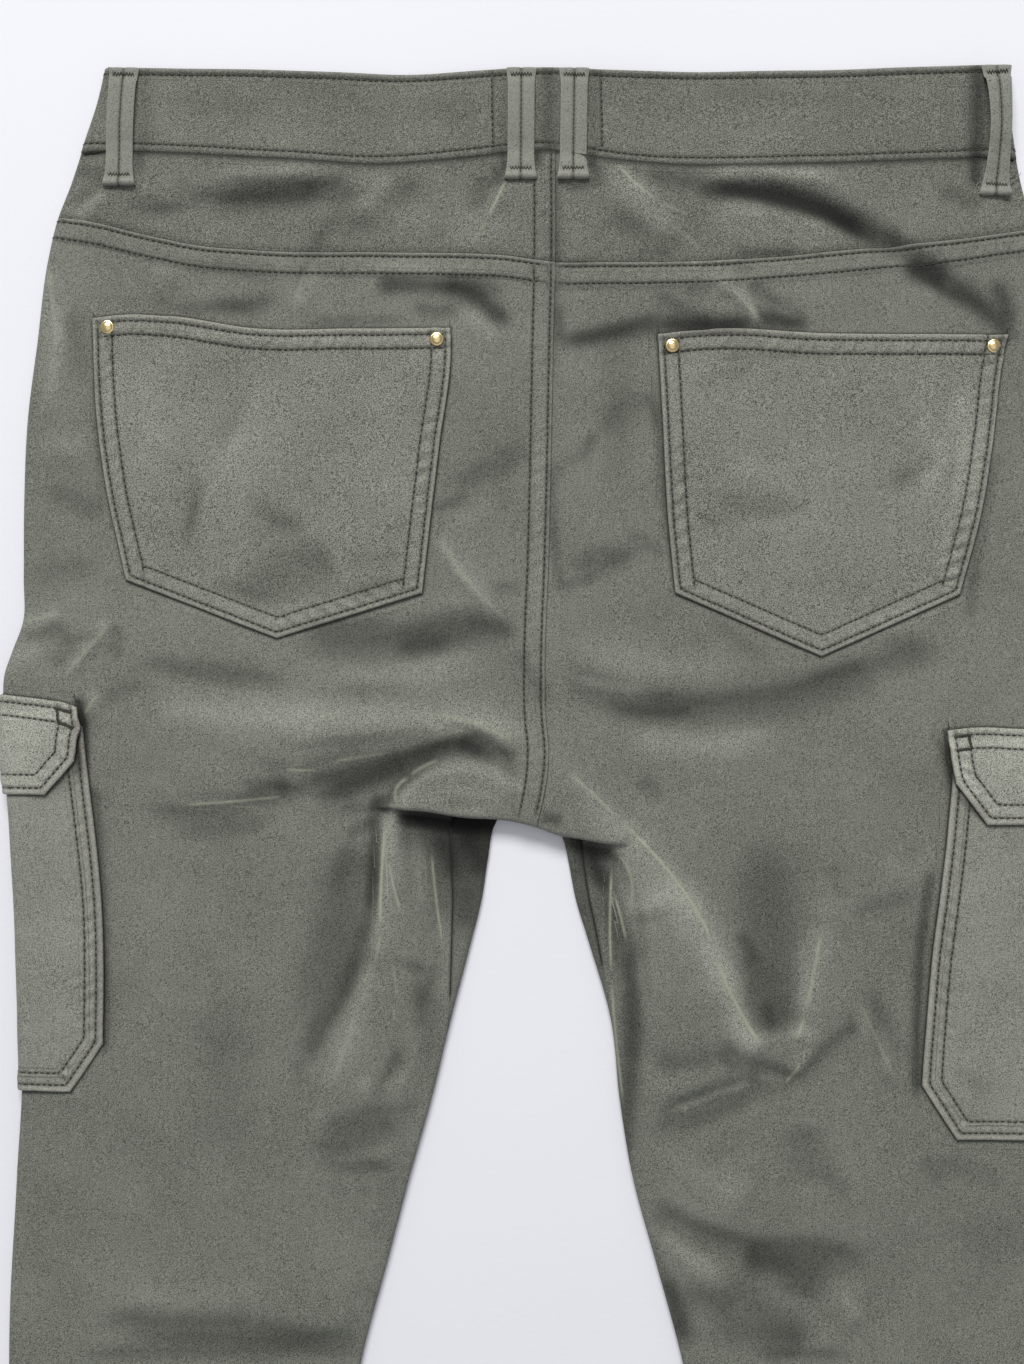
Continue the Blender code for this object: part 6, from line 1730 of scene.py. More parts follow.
piece = back_band(sateen("waistband_back_sateen", -0.12, 1.2, 1.4))
put(piece, "waistband_back")
head_row, foot_row, *cross_rows = band_rows()
runs = []
for side in SIDES:
    for place, row in enumerate((head_row, foot_row, *cross_rows)):
        here = row[side.sign * (row[:, 0] - CENTRE_BACK[0][1]) > 0]
        if len(here) > 1:
            runs.append(sewn(side, here, band_face, 90 + place, radius=BAND_RADIUS))
stitches("stitching_waistband_back", "waistband_back", runs)
for side in SIDES:
    slot = "waistband_front_" + side.name
    put(front_band(side, sateen(slot + "_sateen", 0.0, 1.2)), slot)


# ================================================================ fly shield and waist button
# A strip of doubled sateen behind the front opening, and the brass shank button that closes
# the waistband there. Both lie between the layers, shut.
FLY_TOP_Y = 464.0
FLY_FOOT_Y = 318.0
FLY_COLUMNS = (-14.0, 24.0)
BUTTON_PROFILE = (
    (0, 0), (6.4, 0), (7.6, 0.15), (7.95, 0.6), (8.0, 1.0), (7.9, 1.45), (7.4, 1.85), (6.6, 2.0),
    (6.0, 1.9), (5.5, 1.6), (3.0, 1.5), (2.2, 1.75), (1.2, 1.95), (0, 2.0),
)


def fly_shield(look):
    y = np.linspace(FLY_TOP_Y, FLY_FOOT_Y, 60)[:, None]
    x = np.linspace(*FLY_COLUMNS, 17)[None, :]
    x, y = np.broadcast_arrays(x, y)
    edge = np.minimum(x - FLY_COLUMNS[0], FLY_COLUMNS[1] - x)
    edge = np.minimum(edge, np.minimum(FLY_TOP_Y - y, y - FLY_FOOT_Y))
    z = lift(x, y) + WALL + POCKET_STEP - 0.2 * hump(edge - 2.0, 0.9)
    points = placed(x, y, z)
    return shell("fly_shield_cloth", [(points, 0, 0, marks(x, y))], WALL, look, step=2)


def brass(name, dull=0.0):
    """Worn gilt brass: soft scratches and an uneven cloudy colour."""
    made, tree, shader = finish(name, {"Metallic": 1.0, "Roughness": 0.3})
    point = node(tree, "ShaderNodeTexCoord").outputs["Object"]
    cloud, fine = noise(tree, point, 420.0, 3.0), noise(tree, point, 2600.0, 2.0)
    color = blended(tree, cloud, (0.80, 0.60, 0.26, 1), (0.93, 0.76, 0.42, 1))
    tree.links.new(sums(tree, "MULTIPLY_ADD", fine, 0.22, 0.16 + dull), shader.inputs["Roughness"])
    coated(tree, shader, color, fine, 0.25, 0.0002)
    return made


def turned(name, profile, centre, segments, look):
    """A round piece turned about z, from rows of radius, height."""
    angles = np.arange(segments) * 2 * math.pi / segments
    points = [np.array([[centre[0], centre[1], centre[2] + profile[0][1]]])]
    for radius, height in profile[1:-1]:
        ring = placed(centre[0] + radius * np.cos(angles), centre[1] + radius * np.sin(angles))
        points.append(np.concatenate([ring, np.full((segments, 1), centre[2] + height)], axis=1))
    points.append(np.array([[centre[0], centre[1], centre[2] + profile[-1][1]]]))
    rings, last = len(profile) - 2, 1 + segments * (len(profile) - 2)
    triangles, quads = [], []
    for step in range(segments):
        after = (step + 1) % segments
        triangles += [(0, 1 + after, 1 + step), (last - segments + step, last - segments + after, last)]
        for ring in range(rings - 1):
            low, high = 1 + ring * segments, 1 + (ring + 1) * segments
            quads.append((low + step, low + after, high + after, high + step))
    return object_of(name, np.concatenate(points), [triangles, quads], look)


put(fly_shield(sateen("fly_shield_sateen")), "fly_shield")
put(turned("waist_button_brass", BUTTON_PROFILE, (0.0, BUTTON_Y, 0.0), 48,
           brass("waist_button_brass", 0.05)), "waist_button")

# ================================================================ back pockets
# A patch pocket of the sateen on each side of the seat, with a pointed foot. Its edges are
# turned in and sewn with two rows all round, its mouth is a hem with two rows, and the turned
# edges have worn paler and drawn up into small waves.
POCKET_OUTER_ROW = 2.3
POCKET_INNER_ROW = 8.7
MOUTH_ROWS = (2.8, 9.0)
POCKET_FADE = 0.31


def spaced(line, shares):
    """Points at shares of a line's length."""
    length = running(line)
    return points_at(line, length, shares * length[-1])


def bordered_shares(length, spacing, first, last):
    """Shares along a side, closer at the sewn borders."""
    near = np.array([0, 0.5, 1.1, 1.7, 2.3, 2.9, 3.7])
    turn = np.array([-1.2, -0.6, 0, 0.6, 1.4])
    start = np.concatenate([near, np.linspace(4.8, first - 2.2, 3), first + turn])
    end = length - np.concatenate([near, np.linspace(4.8, last - 2.2, 3), last + turn])[::-1]
    middle = np.linspace(start[-1], end[0], max(2, round((end[0] - start[-1]) / spacing)) + 1)[1:-1]
    return np.concatenate([start, middle, end]) / length


def pocket_grid(outline):
    """Points of the pocket in the plane, rows by columns."""
    top_line, start, end = rounded(outline["top"]), rounded(outline["start"]), rounded(outline["end"])
    corners = np.array(outline["foot"])
    columns = bordered_shares(155.0, 1.7, POCKET_INNER_ROW, POCKET_INNER_ROW)
    rows = bordered_shares(128.0, 1.7, MOUTH_ROWS[1], POCKET_INNER_ROW)
    columns = np.sort(np.append(columns, 0.5)) if not np.any(np.abs(columns - 0.5) < 1e-3) else columns
    foot = np.stack([np.interp(columns, [0, 0.5, 1], corners[:, i]) for i in (0, 1)], axis=-1)
    head = spaced(top_line, columns)
    left, right = spaced(start, rows), spaced(end, rows)
    u, v = columns[None, :, None], rows[:, None, None]
    ruled = mix(head[None], foot[None], v) + mix(left[:, None], right[:, None], u)
    corner = mix(mix(head[0], head[-1], u), mix(foot[0], foot[-1], u), v)
    return ruled - corner


def inset(line, distance):
    """A line moved to its left by a distance, keeping its corners sharp."""
    line = np.asarray(line, dtype=float)
    heading = np.diff(line, axis=0)
    heading /= np.linalg.norm(heading, axis=1, keepdims=True)
    normal = placed(-heading[:, 1], heading[:, 0])
    before = np.concatenate([normal[:1], normal])
    after = np.concatenate([normal, normal[-1:]])
    middle = before + after
    middle /= np.linalg.norm(middle, axis=1, keepdims=True)
    reach = distance / np.maximum((middle * after).sum(axis=1, keepdims=True), 0.5)
    return line + middle * reach


def cut_short(line, head, tail):
    """A line without a length at its start and at its end."""
    length = running(line)
    at = np.linspace(head, length[-1] - tail, 4 * len(line))
    inner = length[(length > head) & (length < length[-1] - tail)]
    return points_at(line, length, np.unique(np.concatenate([at, inner])))


def pocket_rows(outline):
    """The pocket's rows of stitches: two along its edge and two along its mouth."""
    edge = pocket_edge(outline)
    mouth = rounded(outline["top"])
    rows = [cut_short(inset(edge, row), 1.5, 1.5) for row in (POCKET_OUTER_ROW, POCKET_INNER_ROW)]
    for down in MOUTH_ROWS:
        rows.append(cut_short(inset(mouth[::-1], down), 2.5, 2.5))
    return rows


def pocket_face(side, x, y):
    """Height of the pocket: turned border, hemmed mouth, sewn rows, small waves, full middle."""
    outline = POCKETS[side]
    shape = np.broadcast(x, y).shape
    x, y = np.broadcast_to(x, shape).ravel(), np.broadcast_to(y, shape).ravel()
    from_edge, along = nearest_on(pocket_edge(outline), x, y)
    from_mouth, mouth_along = nearest_on(rounded(outline["top"])[::-1], x, y)
    seat = seat_height(side, x, y) + POCKET_STEP
    border = 0.42 * fall(POCKET_INNER_ROW - 0.8, POCKET_INNER_ROW + 1.4, from_edge)
    hem = 0.42 * fall(MOUTH_ROWS[1] - 0.8, MOUTH_ROWS[1] + 1.4, from_mouth)
    thick = np.maximum(border, hem) + 0.2 * np.minimum(border, hem)
    lines = stitch_groove(from_edge - POCKET_OUTER_ROW) + stitch_groove(from_edge - POCKET_INNER_ROW)
    lines = lines + sum(stitch_groove(from_mouth - row) for row in MOUTH_ROWS)
    waves = pucker(along + 0.6 * from_edge, 101 + side.sign, 0.4) * hump(from_edge - 6.4, 4.0)
    waves = waves + pucker(mouth_along - 0.6 * from_mouth, 105 + side.sign, 0.4) * hump(from_mouth - 6.4, 3.8)
    middle = 0.5 * ease(6.0, 45.0, np.minimum(from_edge, from_mouth))
    middle = middle + ripple(x, y, 0.14, 60, 22, 107 + side.sign)
    rolled = -0.3 * fall(0.0, 0.9, np.minimum(from_edge, from_mouth))
    return (seat + thick + lines + waves + middle + rolled).reshape(shape)


def worn_waves(inward, along, power, middle, width):
    """Wear on the small waves that a turned border draws up into between its rows."""
    waves = 0.5 + 0.5 * np.sin(along / 1.1) * np.sin(along / 2.7)
    return power * waves * hump(inward - middle, width)


def back_pocket(side, look):
    outline = POCKETS[side]
    flat = pocket_grid(outline)
    x, y = flat[..., 0], flat[..., 1]
    points = placed(x, y, pocket_face(side, x, y))
    all_round = np.concatenate([pocket_edge(outline), rounded(outline["top"])[::-1]])
    from_edge, along = nearest_on(all_round, x.ravel(), y.ravel())
    wear = 0.95 * fall(0.0, 1.8, np.abs(from_edge)) + worn_waves(from_edge, along, 0.42, 5.5, 3.0)
    masks = marks(x, y, pocket_rows(outline), wear.reshape(x.shape), shade=POCKET_FADE)
    blocks = [(points, 0, 0, masks)]
    return shell("back_pocket_" + side.name + "_cloth", blocks, WALL, look, step=3, roll=0.45)


for side in SIDES:
    slot = "back_pocket_" + side.name
    piece = back_pocket(side, sateen(slot + "_sateen", 0.0, 0.75, 1.75))
    put(piece, slot)
    rows = pocket_rows(POCKETS[side])
    stitches("stitching_" + slot, slot, [sewn(side, row, pocket_face, 110 + i) for i, row in enumerate(rows)])

# ================================================================ pocket rivets
# Small domed rivets of gilt brass, turned and pressed through the corners of the pocket mouths,
# where the two rows of the mouth meet the rows of the sides.
RIVETS = {
    "rivet_left_outer": (-200.6, 399.2), "rivet_left_inner": (-49.6, 393.4),
    "rivet_right_inner": (58.2, 390.6), "rivet_right_outer": (205.6, 390.6),
}
RIVET_PROFILE = [(0, -0.6), (2.9, -0.6), (3.15, -0.1), (3.2, 0.25), (3.12, 0.5), (2.9, 0.66), (2.6, 0.72),
                 (2.42, 0.78), (2.2, 0.98), (1.75, 1.2), (1.2, 1.36), (0.6, 1.46), (0, 1.48)]
for name, (x, y) in RIVETS.items():
    side = LEFT if x < 0 else RIGHT
    seat = float(pocket_face(side, np.array([x]), np.array([y]))[0])
    put(turned(name + "_brass", RIVET_PROFILE, (x, y, seat), 36, brass(name + "_brass")), name)

# ================================================================ cargo pockets
# A large patch pocket of the sateen on each thigh, half of it on the back and half round the
# side seam on the front. Its border is turned in and sewn down with two rows, and its lower
# corners are cut off.
def patch_points(side, end_line, head_y, corner_y, foot_y, rows, columns, head=None):
    """Points of a patch round the outer fold, with cut corners, and each point's flat place."""
    quarter = FOLD_RADIUS * math.pi / 2
    end_y = mix(head_y, corner_y, rows)[:, None]
    mid_y = mix(head_y, foot_y, rows)[:, None]
    end_run = run_from_edge(side, curve(end_line, end_y), end_y)
    far_run = -(side.sign * (side.edge_x(end_y) - REACH[side]) - FOLD_RADIUS + quarter)
    inside = columns[columns > CARGO_CHAMFER + 0.2]
    shares = (inside - CARGO_CHAMFER) / (inside[-1] - CARGO_CHAMFER)
    turn = quarter * np.linspace(1, -1, 10)[1:]
    run = np.concatenate([
        end_run - columns[columns <= CARGO_CHAMFER + 0.2],
        mix(end_run - CARGO_CHAMFER, quarter, shares),
        np.broadcast_to(turn, (len(rows), len(turn))),
        mix(-quarter, far_run + CARGO_CHAMFER, np.linspace(0, 1, 24)[1:]),
        far_run + CARGO_CHAMFER * np.array([0.8, 0.6, 0.4, 0.2, 0.0]),
    ], axis=1)
    near_share = np.clip((end_run - run) / CARGO_CHAMFER, 0, 1)
    far_share = np.clip((run - far_run) / CARGO_CHAMFER, 0, 1)
    y = mix(end_y, mid_y, np.minimum(near_share, far_share))
    flat_x = flat_from_run(side, run, y)
    if head is not None:
        y = y + (head(side, flat_x) - head_y) * (1 - rows[:, None]) ** 2
        flat_x = flat_from_run(side, run, y)
    return flat_x, y, run


CARGO_OUTER_ROW = 3.0
CARGO_INNER_ROW = 8.3
CARGO_FADE = 0.5
# Distances from a patch's edge to the lines of its mesh, out to the outer row of stitches.
BORDER_STOPS = (0, 0.6, 1.2, 2.0, 2.5, 3.0, 3.5, 4.2)


def inward_from(side, edge, x, y):
    """Distance in from a patch's edge, and the place along it."""
    away, along = nearest_on(edge, x, y)
    return side.sign * away, along


def cargo_face(side, x, y):
    """Height that the cargo pocket adds to the leg's face, on the flat."""
    shape = np.broadcast(x, y).shape
    px, py = np.broadcast_to(x, shape).ravel(), np.broadcast_to(y, shape).ravel()
    inward, along = inward_from(side, cargo_edge(side), px, py)
    border = 0.45 * fall(CARGO_INNER_ROW - 0.7, CARGO_INNER_ROW + 1.4, inward)
    lines = stitch_groove(inward - CARGO_OUTER_ROW) + stitch_groove(inward - CARGO_INNER_ROW)
    waves = pucker(along - 0.5 * inward, 131 + side.sign, 0.4) * hump(inward - 6.2, 4.4)
    middle = 0.9 * ease(6.0, 30.0, inward) + ripple(px, py, 0.2, 70, 26, 133 + side.sign)
    rolled = -0.3 * fall(0.0, 0.9, inward)
    return (border + lines + waves + middle + rolled).reshape(shape)


def patch_wrap(side, y, run, off, extra):
    """Points of a patch round the leg's outer fold, off its face, with its relief on the top side."""
    quarter = FOLD_RADIUS * math.pi / 2
    shown = ease(-quarter, quarter, run)
    return outer_wrap(side, y, run, leg_face, off + extra * shown)


def rows_of(end, spacing, border):
    """Shares of a patch's length at the rows of its mesh, closer at the stitches of its foot."""
    at_inner_row = border + np.array([-0.6, 0, 0.6, 1.5])
    foot = end - np.concatenate([BORDER_STOPS, np.linspace(5.2, border - 1.2, 2), at_inner_row])[::-1]
    return np.concatenate([np.linspace(0, foot[0], round(foot[0] / spacing) + 1)[:-1], foot]) / end


def column_stops(shown):
    """Distances from a patch's end to the columns of its mesh, as far as the outer fold."""
    near = (*BORDER_STOPS, 5.4, 6.8, 7.8, 8.3, 8.9, 9.5, 10.4, 11.8, 13.4, CARGO_CHAMFER)
    steps = max(3, round((shown - CARGO_CHAMFER) / 1.8))
    return np.concatenate([near, np.linspace(CARGO_CHAMFER, shown, steps + 1)[1:]])


def cargo_pocket(side, look):
    cargo = side.cargo
    length = mouth_y(side) - cargo["foot_y"]
    rows = rows_of(length, 2.0, CARGO_INNER_ROW)
    shown = float(run_from_edge(side, curve(cargo["edge"], 130.0), 130.0)) - FOLD_RADIUS * math.pi / 2
    flat_x, y, run = patch_points(side, cargo["edge"], mouth_y(side), cargo["corner_y"], cargo["foot_y"],
                                  rows, column_stops(shown))
    extra = cargo_face(side, flat_x, y)
    points = patch_wrap(side, y, run, POCKET_STEP, extra)
    inward, along = inward_from(side, cargo_edge(side), flat_x.ravel(), y.ravel())
    wear = 1.1 * fall(0.6, 2.4, inward) + worn_waves(inward, along, 0.55, 5.4, 2.8)
    # The flap's edge is painted as a contact shadow on the pocket.
    masks = marks(flat_x, y, cargo_rows(side), wear.reshape(flat_x.shape), [flap_edge(side)],
                  shade=CARGO_FADE)
    return shell("cargo_pocket_" + side.name + "_cloth", [(points, 0, 0, masks)], WALL, look, step=3,
                 flip=side.sign < 0, roll=0.45)


def cargo_rows(side):
    edge = cargo_edge(side)
    return [cut_short(inset(edge, side.sign * row), 1.0, 1.0) for row in (CARGO_OUTER_ROW, CARGO_INNER_ROW)]


def on_patch(side, at, off, face):
    """Places on a patch that wraps the outer fold, from places laid out flat."""
    x, y = at[:, 0], at[:, 1]
    return patch_wrap(side, y, run_from_edge(side, x, y), off, face(side, x, y))


for side in SIDES:
    slot = "cargo_pocket_" + side.name
    piece = cargo_pocket(side, sateen(slot + "_sateen", 0.10, 0.5, 1.2))
    put(piece, slot)
    runs = []
    for place, row in enumerate(cargo_rows(side)):
        tips = even_stitches(row, np.random.default_rng(140 + place))
        runs.append([on_patch(side, at, POCKET_STEP + STITCH_RISE, cargo_face) for at in tips])
    stitches("stitching_" + slot, slot, runs)

# ================================================================ cargo flaps
# A doubled flap of the sateen over the mouth of each cargo pocket, sewn to the leg above the
# mouth with two rows. Its lower corners are cut off, two rows run round it, and bars of dense
# stitches close its back end.
FLAP_OUTER_ROW = 2.9
FLAP_INNER_ROW = 8.9
FLAP_HEAD_ROWS = (2.8, 8.9)
FLAP_FADE = 1.13
FLAP_LIFT = 0.9
BAR_RISE = 0.14


def flap_off(side, y):
    """How far the flap stands off the leg: more over the pocket than above its mouth."""
    mouth = mouth_y(side)
    above = ease(mouth + 3.0, mouth + 8.0, y)
    return POCKET_STEP * (2 - above) + FLAP_LIFT * (1 - above)


def flap_face(side, x, y):
    """Height that the flap adds: turned border, sewn rows, small waves, full middle."""
    shape = np.broadcast(x, y).shape
    px, py = np.broadcast_to(x, shape).ravel(), np.broadcast_to(y, shape).ravel()
    inward, along = inward_from(side, flap_edge(side), px, py)
    down = flap_top(side, px) - py
    lines = stitch_groove(inward - FLAP_OUTER_ROW) + stitch_groove(inward - FLAP_INNER_ROW)
    lines = lines + sum(stitch_groove(down - row) * ease(1.0, 2.4, inward) for row in FLAP_HEAD_ROWS)
    edge = np.minimum(inward, down)
    border = 0.35 * fall(FLAP_INNER_ROW - 0.7, FLAP_INNER_ROW + 1.4, edge)
    waves = pucker(along - 0.5 * inward, 151 + side.sign, 0.26) * hump(inward - 5.8, 3.0)
    waves = waves + pucker(px, 155 + side.sign, 0.26) * hump(down - 5.8, 3.0)
    middle = 0.5 * ease(5.0, 20.0, edge) + ripple(px, py, 0.16, 50, 20, 153 + side.sign)
    rolled = -0.3 * fall(0.0, 0.9, edge)
    return (border + lines + waves + middle + rolled).reshape(shape)


def flap_rows(side):
    """The flap's rows of stitches: two round its edge and two along its head."""
    edge = flap_edge(side)
    rows = [cut_short(inset(edge, side.sign * row), 1.0, 1.0) for row in (FLAP_OUTER_ROW, FLAP_INNER_ROW)]
    for down in FLAP_HEAD_ROWS:
        y = side.flap["top_y"] - down
        start = float(curve(side.flap["edge"], y)) + side.sign * FLAP_OUTER_ROW
        x = np.linspace(start, float(flat_from_run(side, -UNDER_RUN, y)), 40)
        rows.append(placed(x, flap_top(side, x) - down))
    return rows


def cargo_flap(side, look):
    flap = side.flap
    length = flap["top_y"] - flap["foot_y"]
    even = np.linspace(0, 1, round(length / 0.7) + 1)
    rows = np.unique(np.round(np.concatenate([even, rows_of(length, 1.6, FLAP_INNER_ROW)[-8:]]), 3))
    shown = float(run_from_edge(side, curve(flap["edge"], 205.0), 205.0)) - FOLD_RADIUS * math.pi / 2
    flat_x, y, run = patch_points(side, flap["edge"], flap["top_y"], flap["corner_y"], flap["foot_y"],
                                  rows, column_stops(shown), flap_top)
    extra = flap_face(side, flat_x, y)
    points = patch_wrap(side, y, run, flap_off(side, y), extra)
    inward, along = inward_from(side, flap_edge(side), flat_x.ravel(), y.ravel())
    wear = 1.3 * fall(0.6, 2.4, inward) + worn_waves(inward, along, 0.6, 5.6, 2.8)
    masks = marks(flat_x, y, flap_rows(side), wear.reshape(flat_x.shape), shade=FLAP_FADE)
    return shell("cargo_flap_" + side.name + "_cloth", [(points, 0, 0, masks)], WALL, look, step=3,
                 flip=side.sign < 0, roll=0.5)


def bar_tack(side, start, end, strokes):
    """Dense slanted strokes from one point of a flap to another."""
    start, end = np.array(start, dtype=float), np.array(end, dtype=float)
    ahead = (end - start) / np.linalg.norm(end - start)
    swing = np.where(np.arange(strokes + 1) % 2 == 0, -0.7, 0.7)[:, None] * np.array([-ahead[1], ahead[0]])
    at = mix(start, end, np.linspace(0, 1, strokes + 1)[:, None]) + swing
    points = on_patch(side, at, flap_off(side, at[:, 1]) + BAR_RISE, flap_face)
    return points[:-1], points[1:]


def flap_tacks(side):
    """Two bars across the corner of the flap, joined by one along its inner row."""
    bars, corners = [], []
    for down in FLAP_HEAD_ROWS:
        y = side.flap["top_y"] - down
        edge = float(curve(side.flap["edge"], y))
        places = [edge + side.sign * inward for inward in (FLAP_OUTER_ROW - 0.6, FLAP_INNER_ROW + 0.3)]
        ends = [(x, float(flap_top(side, x)) - down - 0.2) for x in places]
        corners.append(ends[1])
        bars.append(bar_tack(side, *ends, 13))
    bars.append(bar_tack(side, *corners, 8))
    return bars


for side in SIDES:
    slot = "cargo_flap_" + side.name
    piece = cargo_flap(side, sateen(slot + "_sateen", 0.10, 0.5, 1.5))
    put(piece, slot)
    runs = []
    for place, row in enumerate(flap_rows(side)):
        tips = even_stitches(row, np.random.default_rng(160 + place))
        runs.append([on_patch(side, at, flap_off(side, at[:, 1]) + STITCH_RISE, flap_face) for at in tips])
    stitches("stitching_" + slot, slot, runs + flap_tacks(side))

# ================================================================ belt loops
# Four strips of the sateen, folded to three plies and sewn down the middle. Each is turned
# over the top of the waistband and tacked there, and its folded foot is tacked to the yoke.
# Loops: x of the head and of the foot, y of the foot, arch off the band, sway, and waist drawn in.
LOOPS = {
    "loop_side_left": (-193.4, -195.4, 463.9, 1.8, -0.6, 0.0),
    "loop_centre_left": (-10.9, -11.2, 466.4, 1.3, 0.0, 0.0),
    "loop_centre_right": (13.4, 12.7, 466.2, 1.3, 0.0, 0.0),
    "loop_side_right": (207.2, 206.6, 459.8, 4.2, 1.6, 0.2),
}
LOOP_HALF_WIDTH = 6.2
LOOP_WALL = 1.1
LOOP_GAP = 0.15
# Rolled foot of a loop: y and height from where it is tacked.
LOOP_FOOT = (
    (5.2, -0.1), (4.3, 0.3), (3.4, 1.05), (2.5, 1.5), (1.6, 1.6), (0.8, 1.3),
    (0.2, 0.65), (0.0, -0.1), (0.25, -0.8), (0.9, -1.2), (2.0, -1.35), (3.4, -1.4),
)
LOOP_GROOVE = 0.35
# A loop's face from its edge to its middle: share of the half width, height in walls.
HALF_SECTION = (
    (-1, -0.62), (-0.97, -0.3), (-0.86, -0.08), (-0.7, -0.02), (-0.35, 0), (-0.12, -0.03), (-0.05, -0.6),
    (0, -1),
)
TACK_HEIGHT = 2.2
TACK_STROKES = 15
PALE_THREAD = thread_look("pale frayed cotton", (0.15, 0.15, 0.12, 1), (0.42, 0.42, 0.36, 1))


def strip(name, centre, across, normal, half_width, wall, look):
    """Closed strip along a path, with rounded edges and a groove down its face."""
    half = np.array(HALF_SECTION)
    u = np.concatenate([half[:, 0], -half[-2::-1, 0]])
    upper = np.concatenate([half[:, 1], half[-2::-1, 1]])
    face = np.where(np.abs(u) < 0.08, upper * LOOP_GROOVE / wall, upper)
    under_u = u[::-1][1:-1]
    section = np.concatenate([placed(u, face), placed(under_u, -1.0)])
    section[len(u)] = (0.93, -0.92)
    section[-1] = (-0.93, -0.92)
    width = np.asarray(half_width)[:, None, None]
    points = centre[:, None, :] + across[:, None, :] * section[None, :, 0:1] * width
    points = points + normal[:, None, :] * section[None, :, 1:2] * wall
    stations, around = points.shape[:2]
    ids = np.arange(stations * around).reshape(stations, around)
    after = np.roll(ids, -1, axis=1)
    quads = placed(ids[:-1], after[:-1], after[1:], ids[1:]).reshape(-1, 4)
    caps = []
    for row, turn in ((ids[0], 1), (ids[-1], -1)):
        fan = [(row[0], row[i + 1], row[i]) for i in range(1, around - 1)]
        caps += fan if turn > 0 else [triangle[::-1] for triangle in fan]
    flat = points.reshape(-1, 3)
    # Worn paler at the edges and on the rolled foot; the groove down the middle carries the painted shadow of
    # the stitch rows.
    worn = np.tile(0.6 * (np.abs(section[:, 0]) > 0.9), (stations, 1))
    worn[-9:-2] = np.maximum(worn[-9:-2], 0.5)
    masks = {
        "painted_shade_and_tone": np.zeros(len(flat)), "wear": worn.ravel(),
        "row_side": (section[None, :, 0] * np.asarray(half_width)[:, None]).ravel(),
        "row_strength": np.tile((np.abs(section[:, 0]) < 0.4) * 1.0, stations),
        "crease_side": np.full(len(flat), LINE_REACH), "crease_strength": np.zeros(len(flat)),
    }
    return object_of(name, flat, [quads, caps], look, masks)


def loop_path(side, head_x, foot_x, foot_y, arch):
    """Side view of a loop's face: folded under at its head on the band, rolled at its foot."""
    head_y = float(curve(BAND_TOP, head_x))
    band_foot = float(curve(BAND_FOOT, foot_x))
    crest = float(band_face(side, np.array([head_x]), np.array([head_y - 3.0]))[0]) + LOOP_GAP + LOOP_WALL
    rows = [(head_y - 3.8, crest - 1.0), (head_y - 1.9, crest - 1.1), (head_y - 0.6, crest - 1.05),
            (head_y + 0.1, crest - 0.7), (head_y + 0.15, crest - 0.15), (head_y - 0.5, crest + 0.35),
            (head_y - 1.6, crest + 0.5), (head_y - 3.2, crest + 0.25), (head_y - 4.8, crest + 0.3)]
    for y in np.linspace(head_y - 6.4, band_foot + 0.5, 20):
        share = (head_y - y) / (head_y - band_foot)
        x = mix(head_x, foot_x, share)
        z = float(band_face(side, np.array([x]), np.array([min(y, head_y - 3.0)]))[0])
        rows.append((y, z + LOOP_GAP + LOOP_WALL + arch * math.sin(math.pi * min(1, share * 0.96)) ** 0.7))
    last = rows[-1][1]
    base = float(yoke_face(side, np.array([foot_x]), np.array([foot_y + 3.0]))[0])
    tack = base + 1.5
    for share in np.linspace(0, 1, 11)[1:]:
        rows.append((mix(band_foot + 0.5, foot_y + 6.2, share), mix(last, tack, float(ease(0, 0.95, share)))))
    return np.array(rows + [(foot_y + off_y, tack + off_z) for off_y, off_z in LOOP_FOOT])


def loop_face(head_x, foot_x, foot_y, arch, sway, slim):
    """Centre line, cross direction, normal and half width of a loop at each station."""
    rows = loop_path(LEFT if head_x < -50 else RIGHT, head_x, foot_x, foot_y, arch)
    head_y = rows[3, 0]
    share = np.clip((head_y - rows[:, 0]) / (head_y - foot_y), 0, 1)
    x = mix(head_x, foot_x, share) + sway * np.sin(share * math.pi)
    centre = placed(x, rows[:, 0], rows[:, 1])
    ahead = np.gradient(centre, axis=0)
    ahead /= np.linalg.norm(ahead, axis=1, keepdims=True)
    across = np.tile([1.0, 0.0, 0.0], (len(centre), 1)) - ahead * ahead[:, 0:1]
    across /= np.linalg.norm(across, axis=1, keepdims=True)
    normal = np.cross(ahead, across)
    shape = 1 - slim * np.sin(share * math.pi) + 0.13 * hump(share, 0.09) + 0.2 * hump(1 - share, 0.11)
    return centre, across, normal, LOOP_HALF_WIDTH * shape


def zigzag(centre, across, normal, width, seed):
    """Starts and ends of the strokes of a bar tack across a loop."""
    draw = np.random.default_rng(seed)
    u = np.linspace(-0.74, 0.74, TACK_STROKES + 1)
    steps = np.where(np.arange(TACK_STROKES + 1) % 2 == 0, -0.5, 0.5) * TACK_HEIGHT
    steps = steps + draw.uniform(-0.25, 0.25, TACK_STROKES + 1)
    ahead = np.cross(across, normal)
    points = centre + across * (u * width)[:, None] + ahead * steps[:, None] + normal * 0.16
    return points[:-1], points[1:]


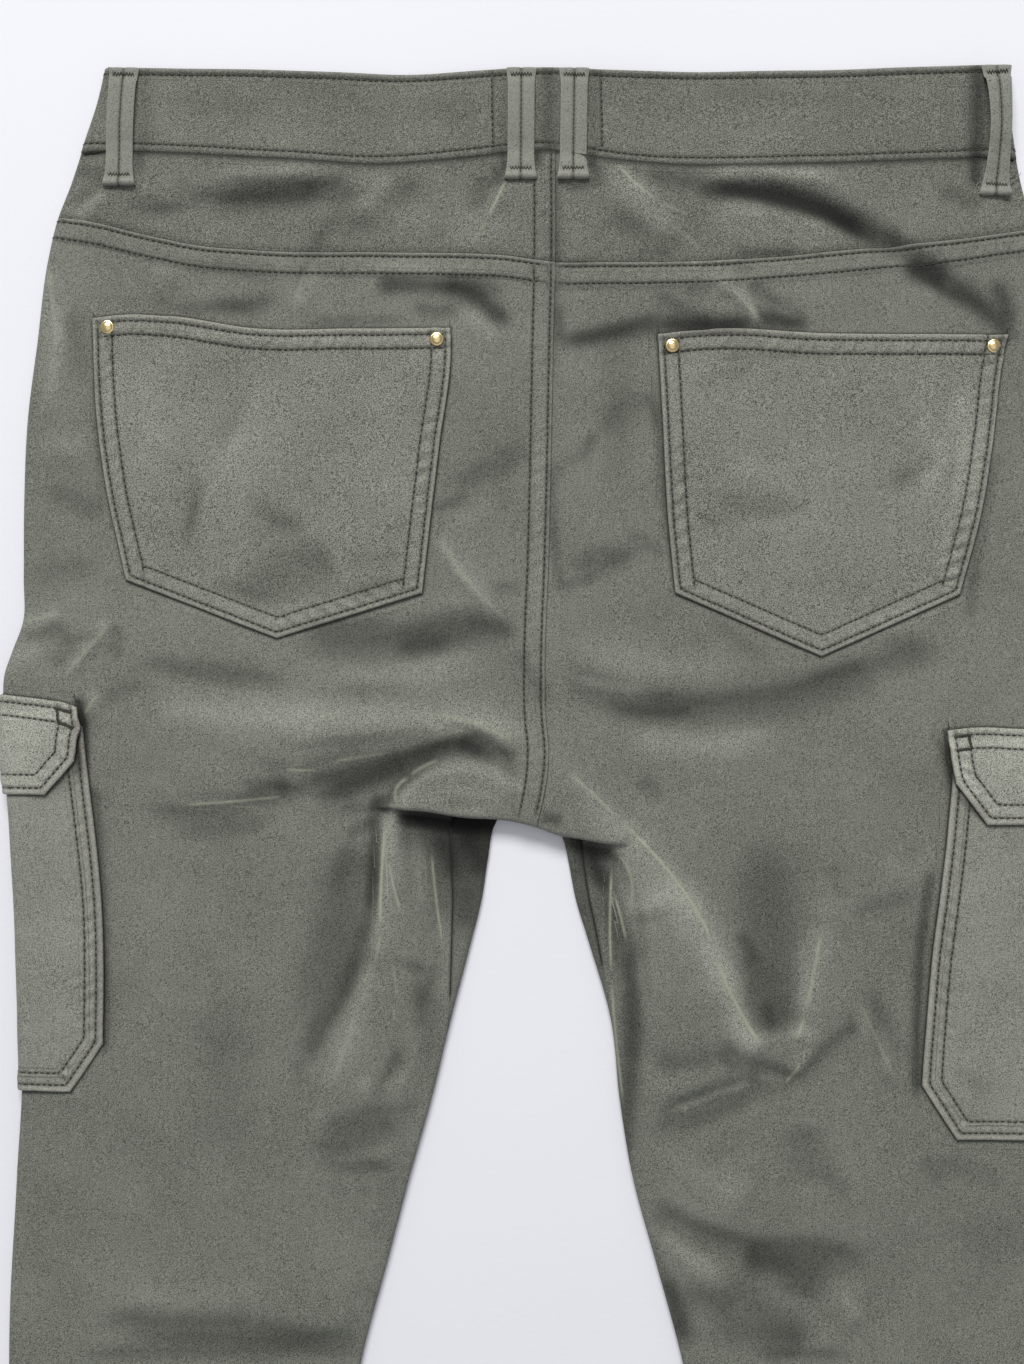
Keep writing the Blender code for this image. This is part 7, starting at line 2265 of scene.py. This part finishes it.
def at_row(face, y):
    """Centre, cross direction, normal and half width of a loop where its face passes a height."""
    centre, across, normal, width = face
    facing = np.nonzero(normal[:, 2] > 0.35)[0]
    place = facing[np.argmin(np.abs(centre[facing, 1] - y))]
    return centre[place], across[place], normal[place], width[place]


for number, (name, sizes) in enumerate(LOOPS.items()):
    face = loop_face(*sizes)
    centre, _, normal, _ = face
    piece = strip(name + "_cloth", *face, LOOP_WALL, sateen(name + "_sateen", 0.40, 0.2, 1.5))
    put(piece, name)
    face_rows = np.nonzero(normal[:, 2] > 0.5)[0]
    middle = centre[face_rows] - normal[face_rows] * 0.22
    at = along_path(middle, 2.1, 3.4)
    gap = np.diff(at, axis=0)
    runs = [(at[:-1] + gap * 0.12, at[1:] - gap * 0.12)]
    runs.append(zigzag(*at_row(face, centre[3, 1] - 3.6), 70 + number))
    runs.append(zigzag(*at_row(face, sizes[2] + 5.4), 80 + number))
    stitches("stitching_" + name, name, runs, 0.24)

# Threads that have worked loose at the side loops: x, y of each point of each thread.
FRAYED = (
    ("loop_side_left", LEFT, (
        ((-203.0, 468.6), (-204.6, 466.4), (-204.2, 464.0), (-202.4, 465.2), (-201.4, 462.6)),
        ((-202.6, 466.0), (-203.6, 462.6), (-202.0, 460.6)),
        ((-188.4, 469.4), (-187.2, 467.4), (-188.8, 465.6), (-187.0, 463.6), (-188.0, 461.0)),
        ((-188.8, 463.4), (-188.0, 459.8), (-190.2, 458.6)),
    )),
    ("loop_side_right", RIGHT, (
        ((199.6, 466.4), (197.8, 464.4), (199.4, 462.6), (197.0, 460.4), (198.6, 458.2)),
        ((198.8, 461.6), (197.2, 459.0), (199.6, 455.8)),
        ((213.6, 468.2), (216.2, 470.2), (217.6, 473.4)),
        ((213.4, 465.6), (216.6, 467.4), (219.4, 471.4)),
    )),
)
for slot, side, threads in FRAYED:
    runs = []
    for thread in threads:
        at = along_path(np.array(thread), 0.8)
        z = yoke_face(side, at[:, 0], at[:, 1]) + 0.35 + 0.25 * np.sin(np.arange(len(at)) * 1.3)
        line = np.column_stack([at, z])
        runs.append((line[:-1], line[1:]))
    stitches("frayed_threads_" + slot, slot, runs, 0.17, PALE_THREAD)
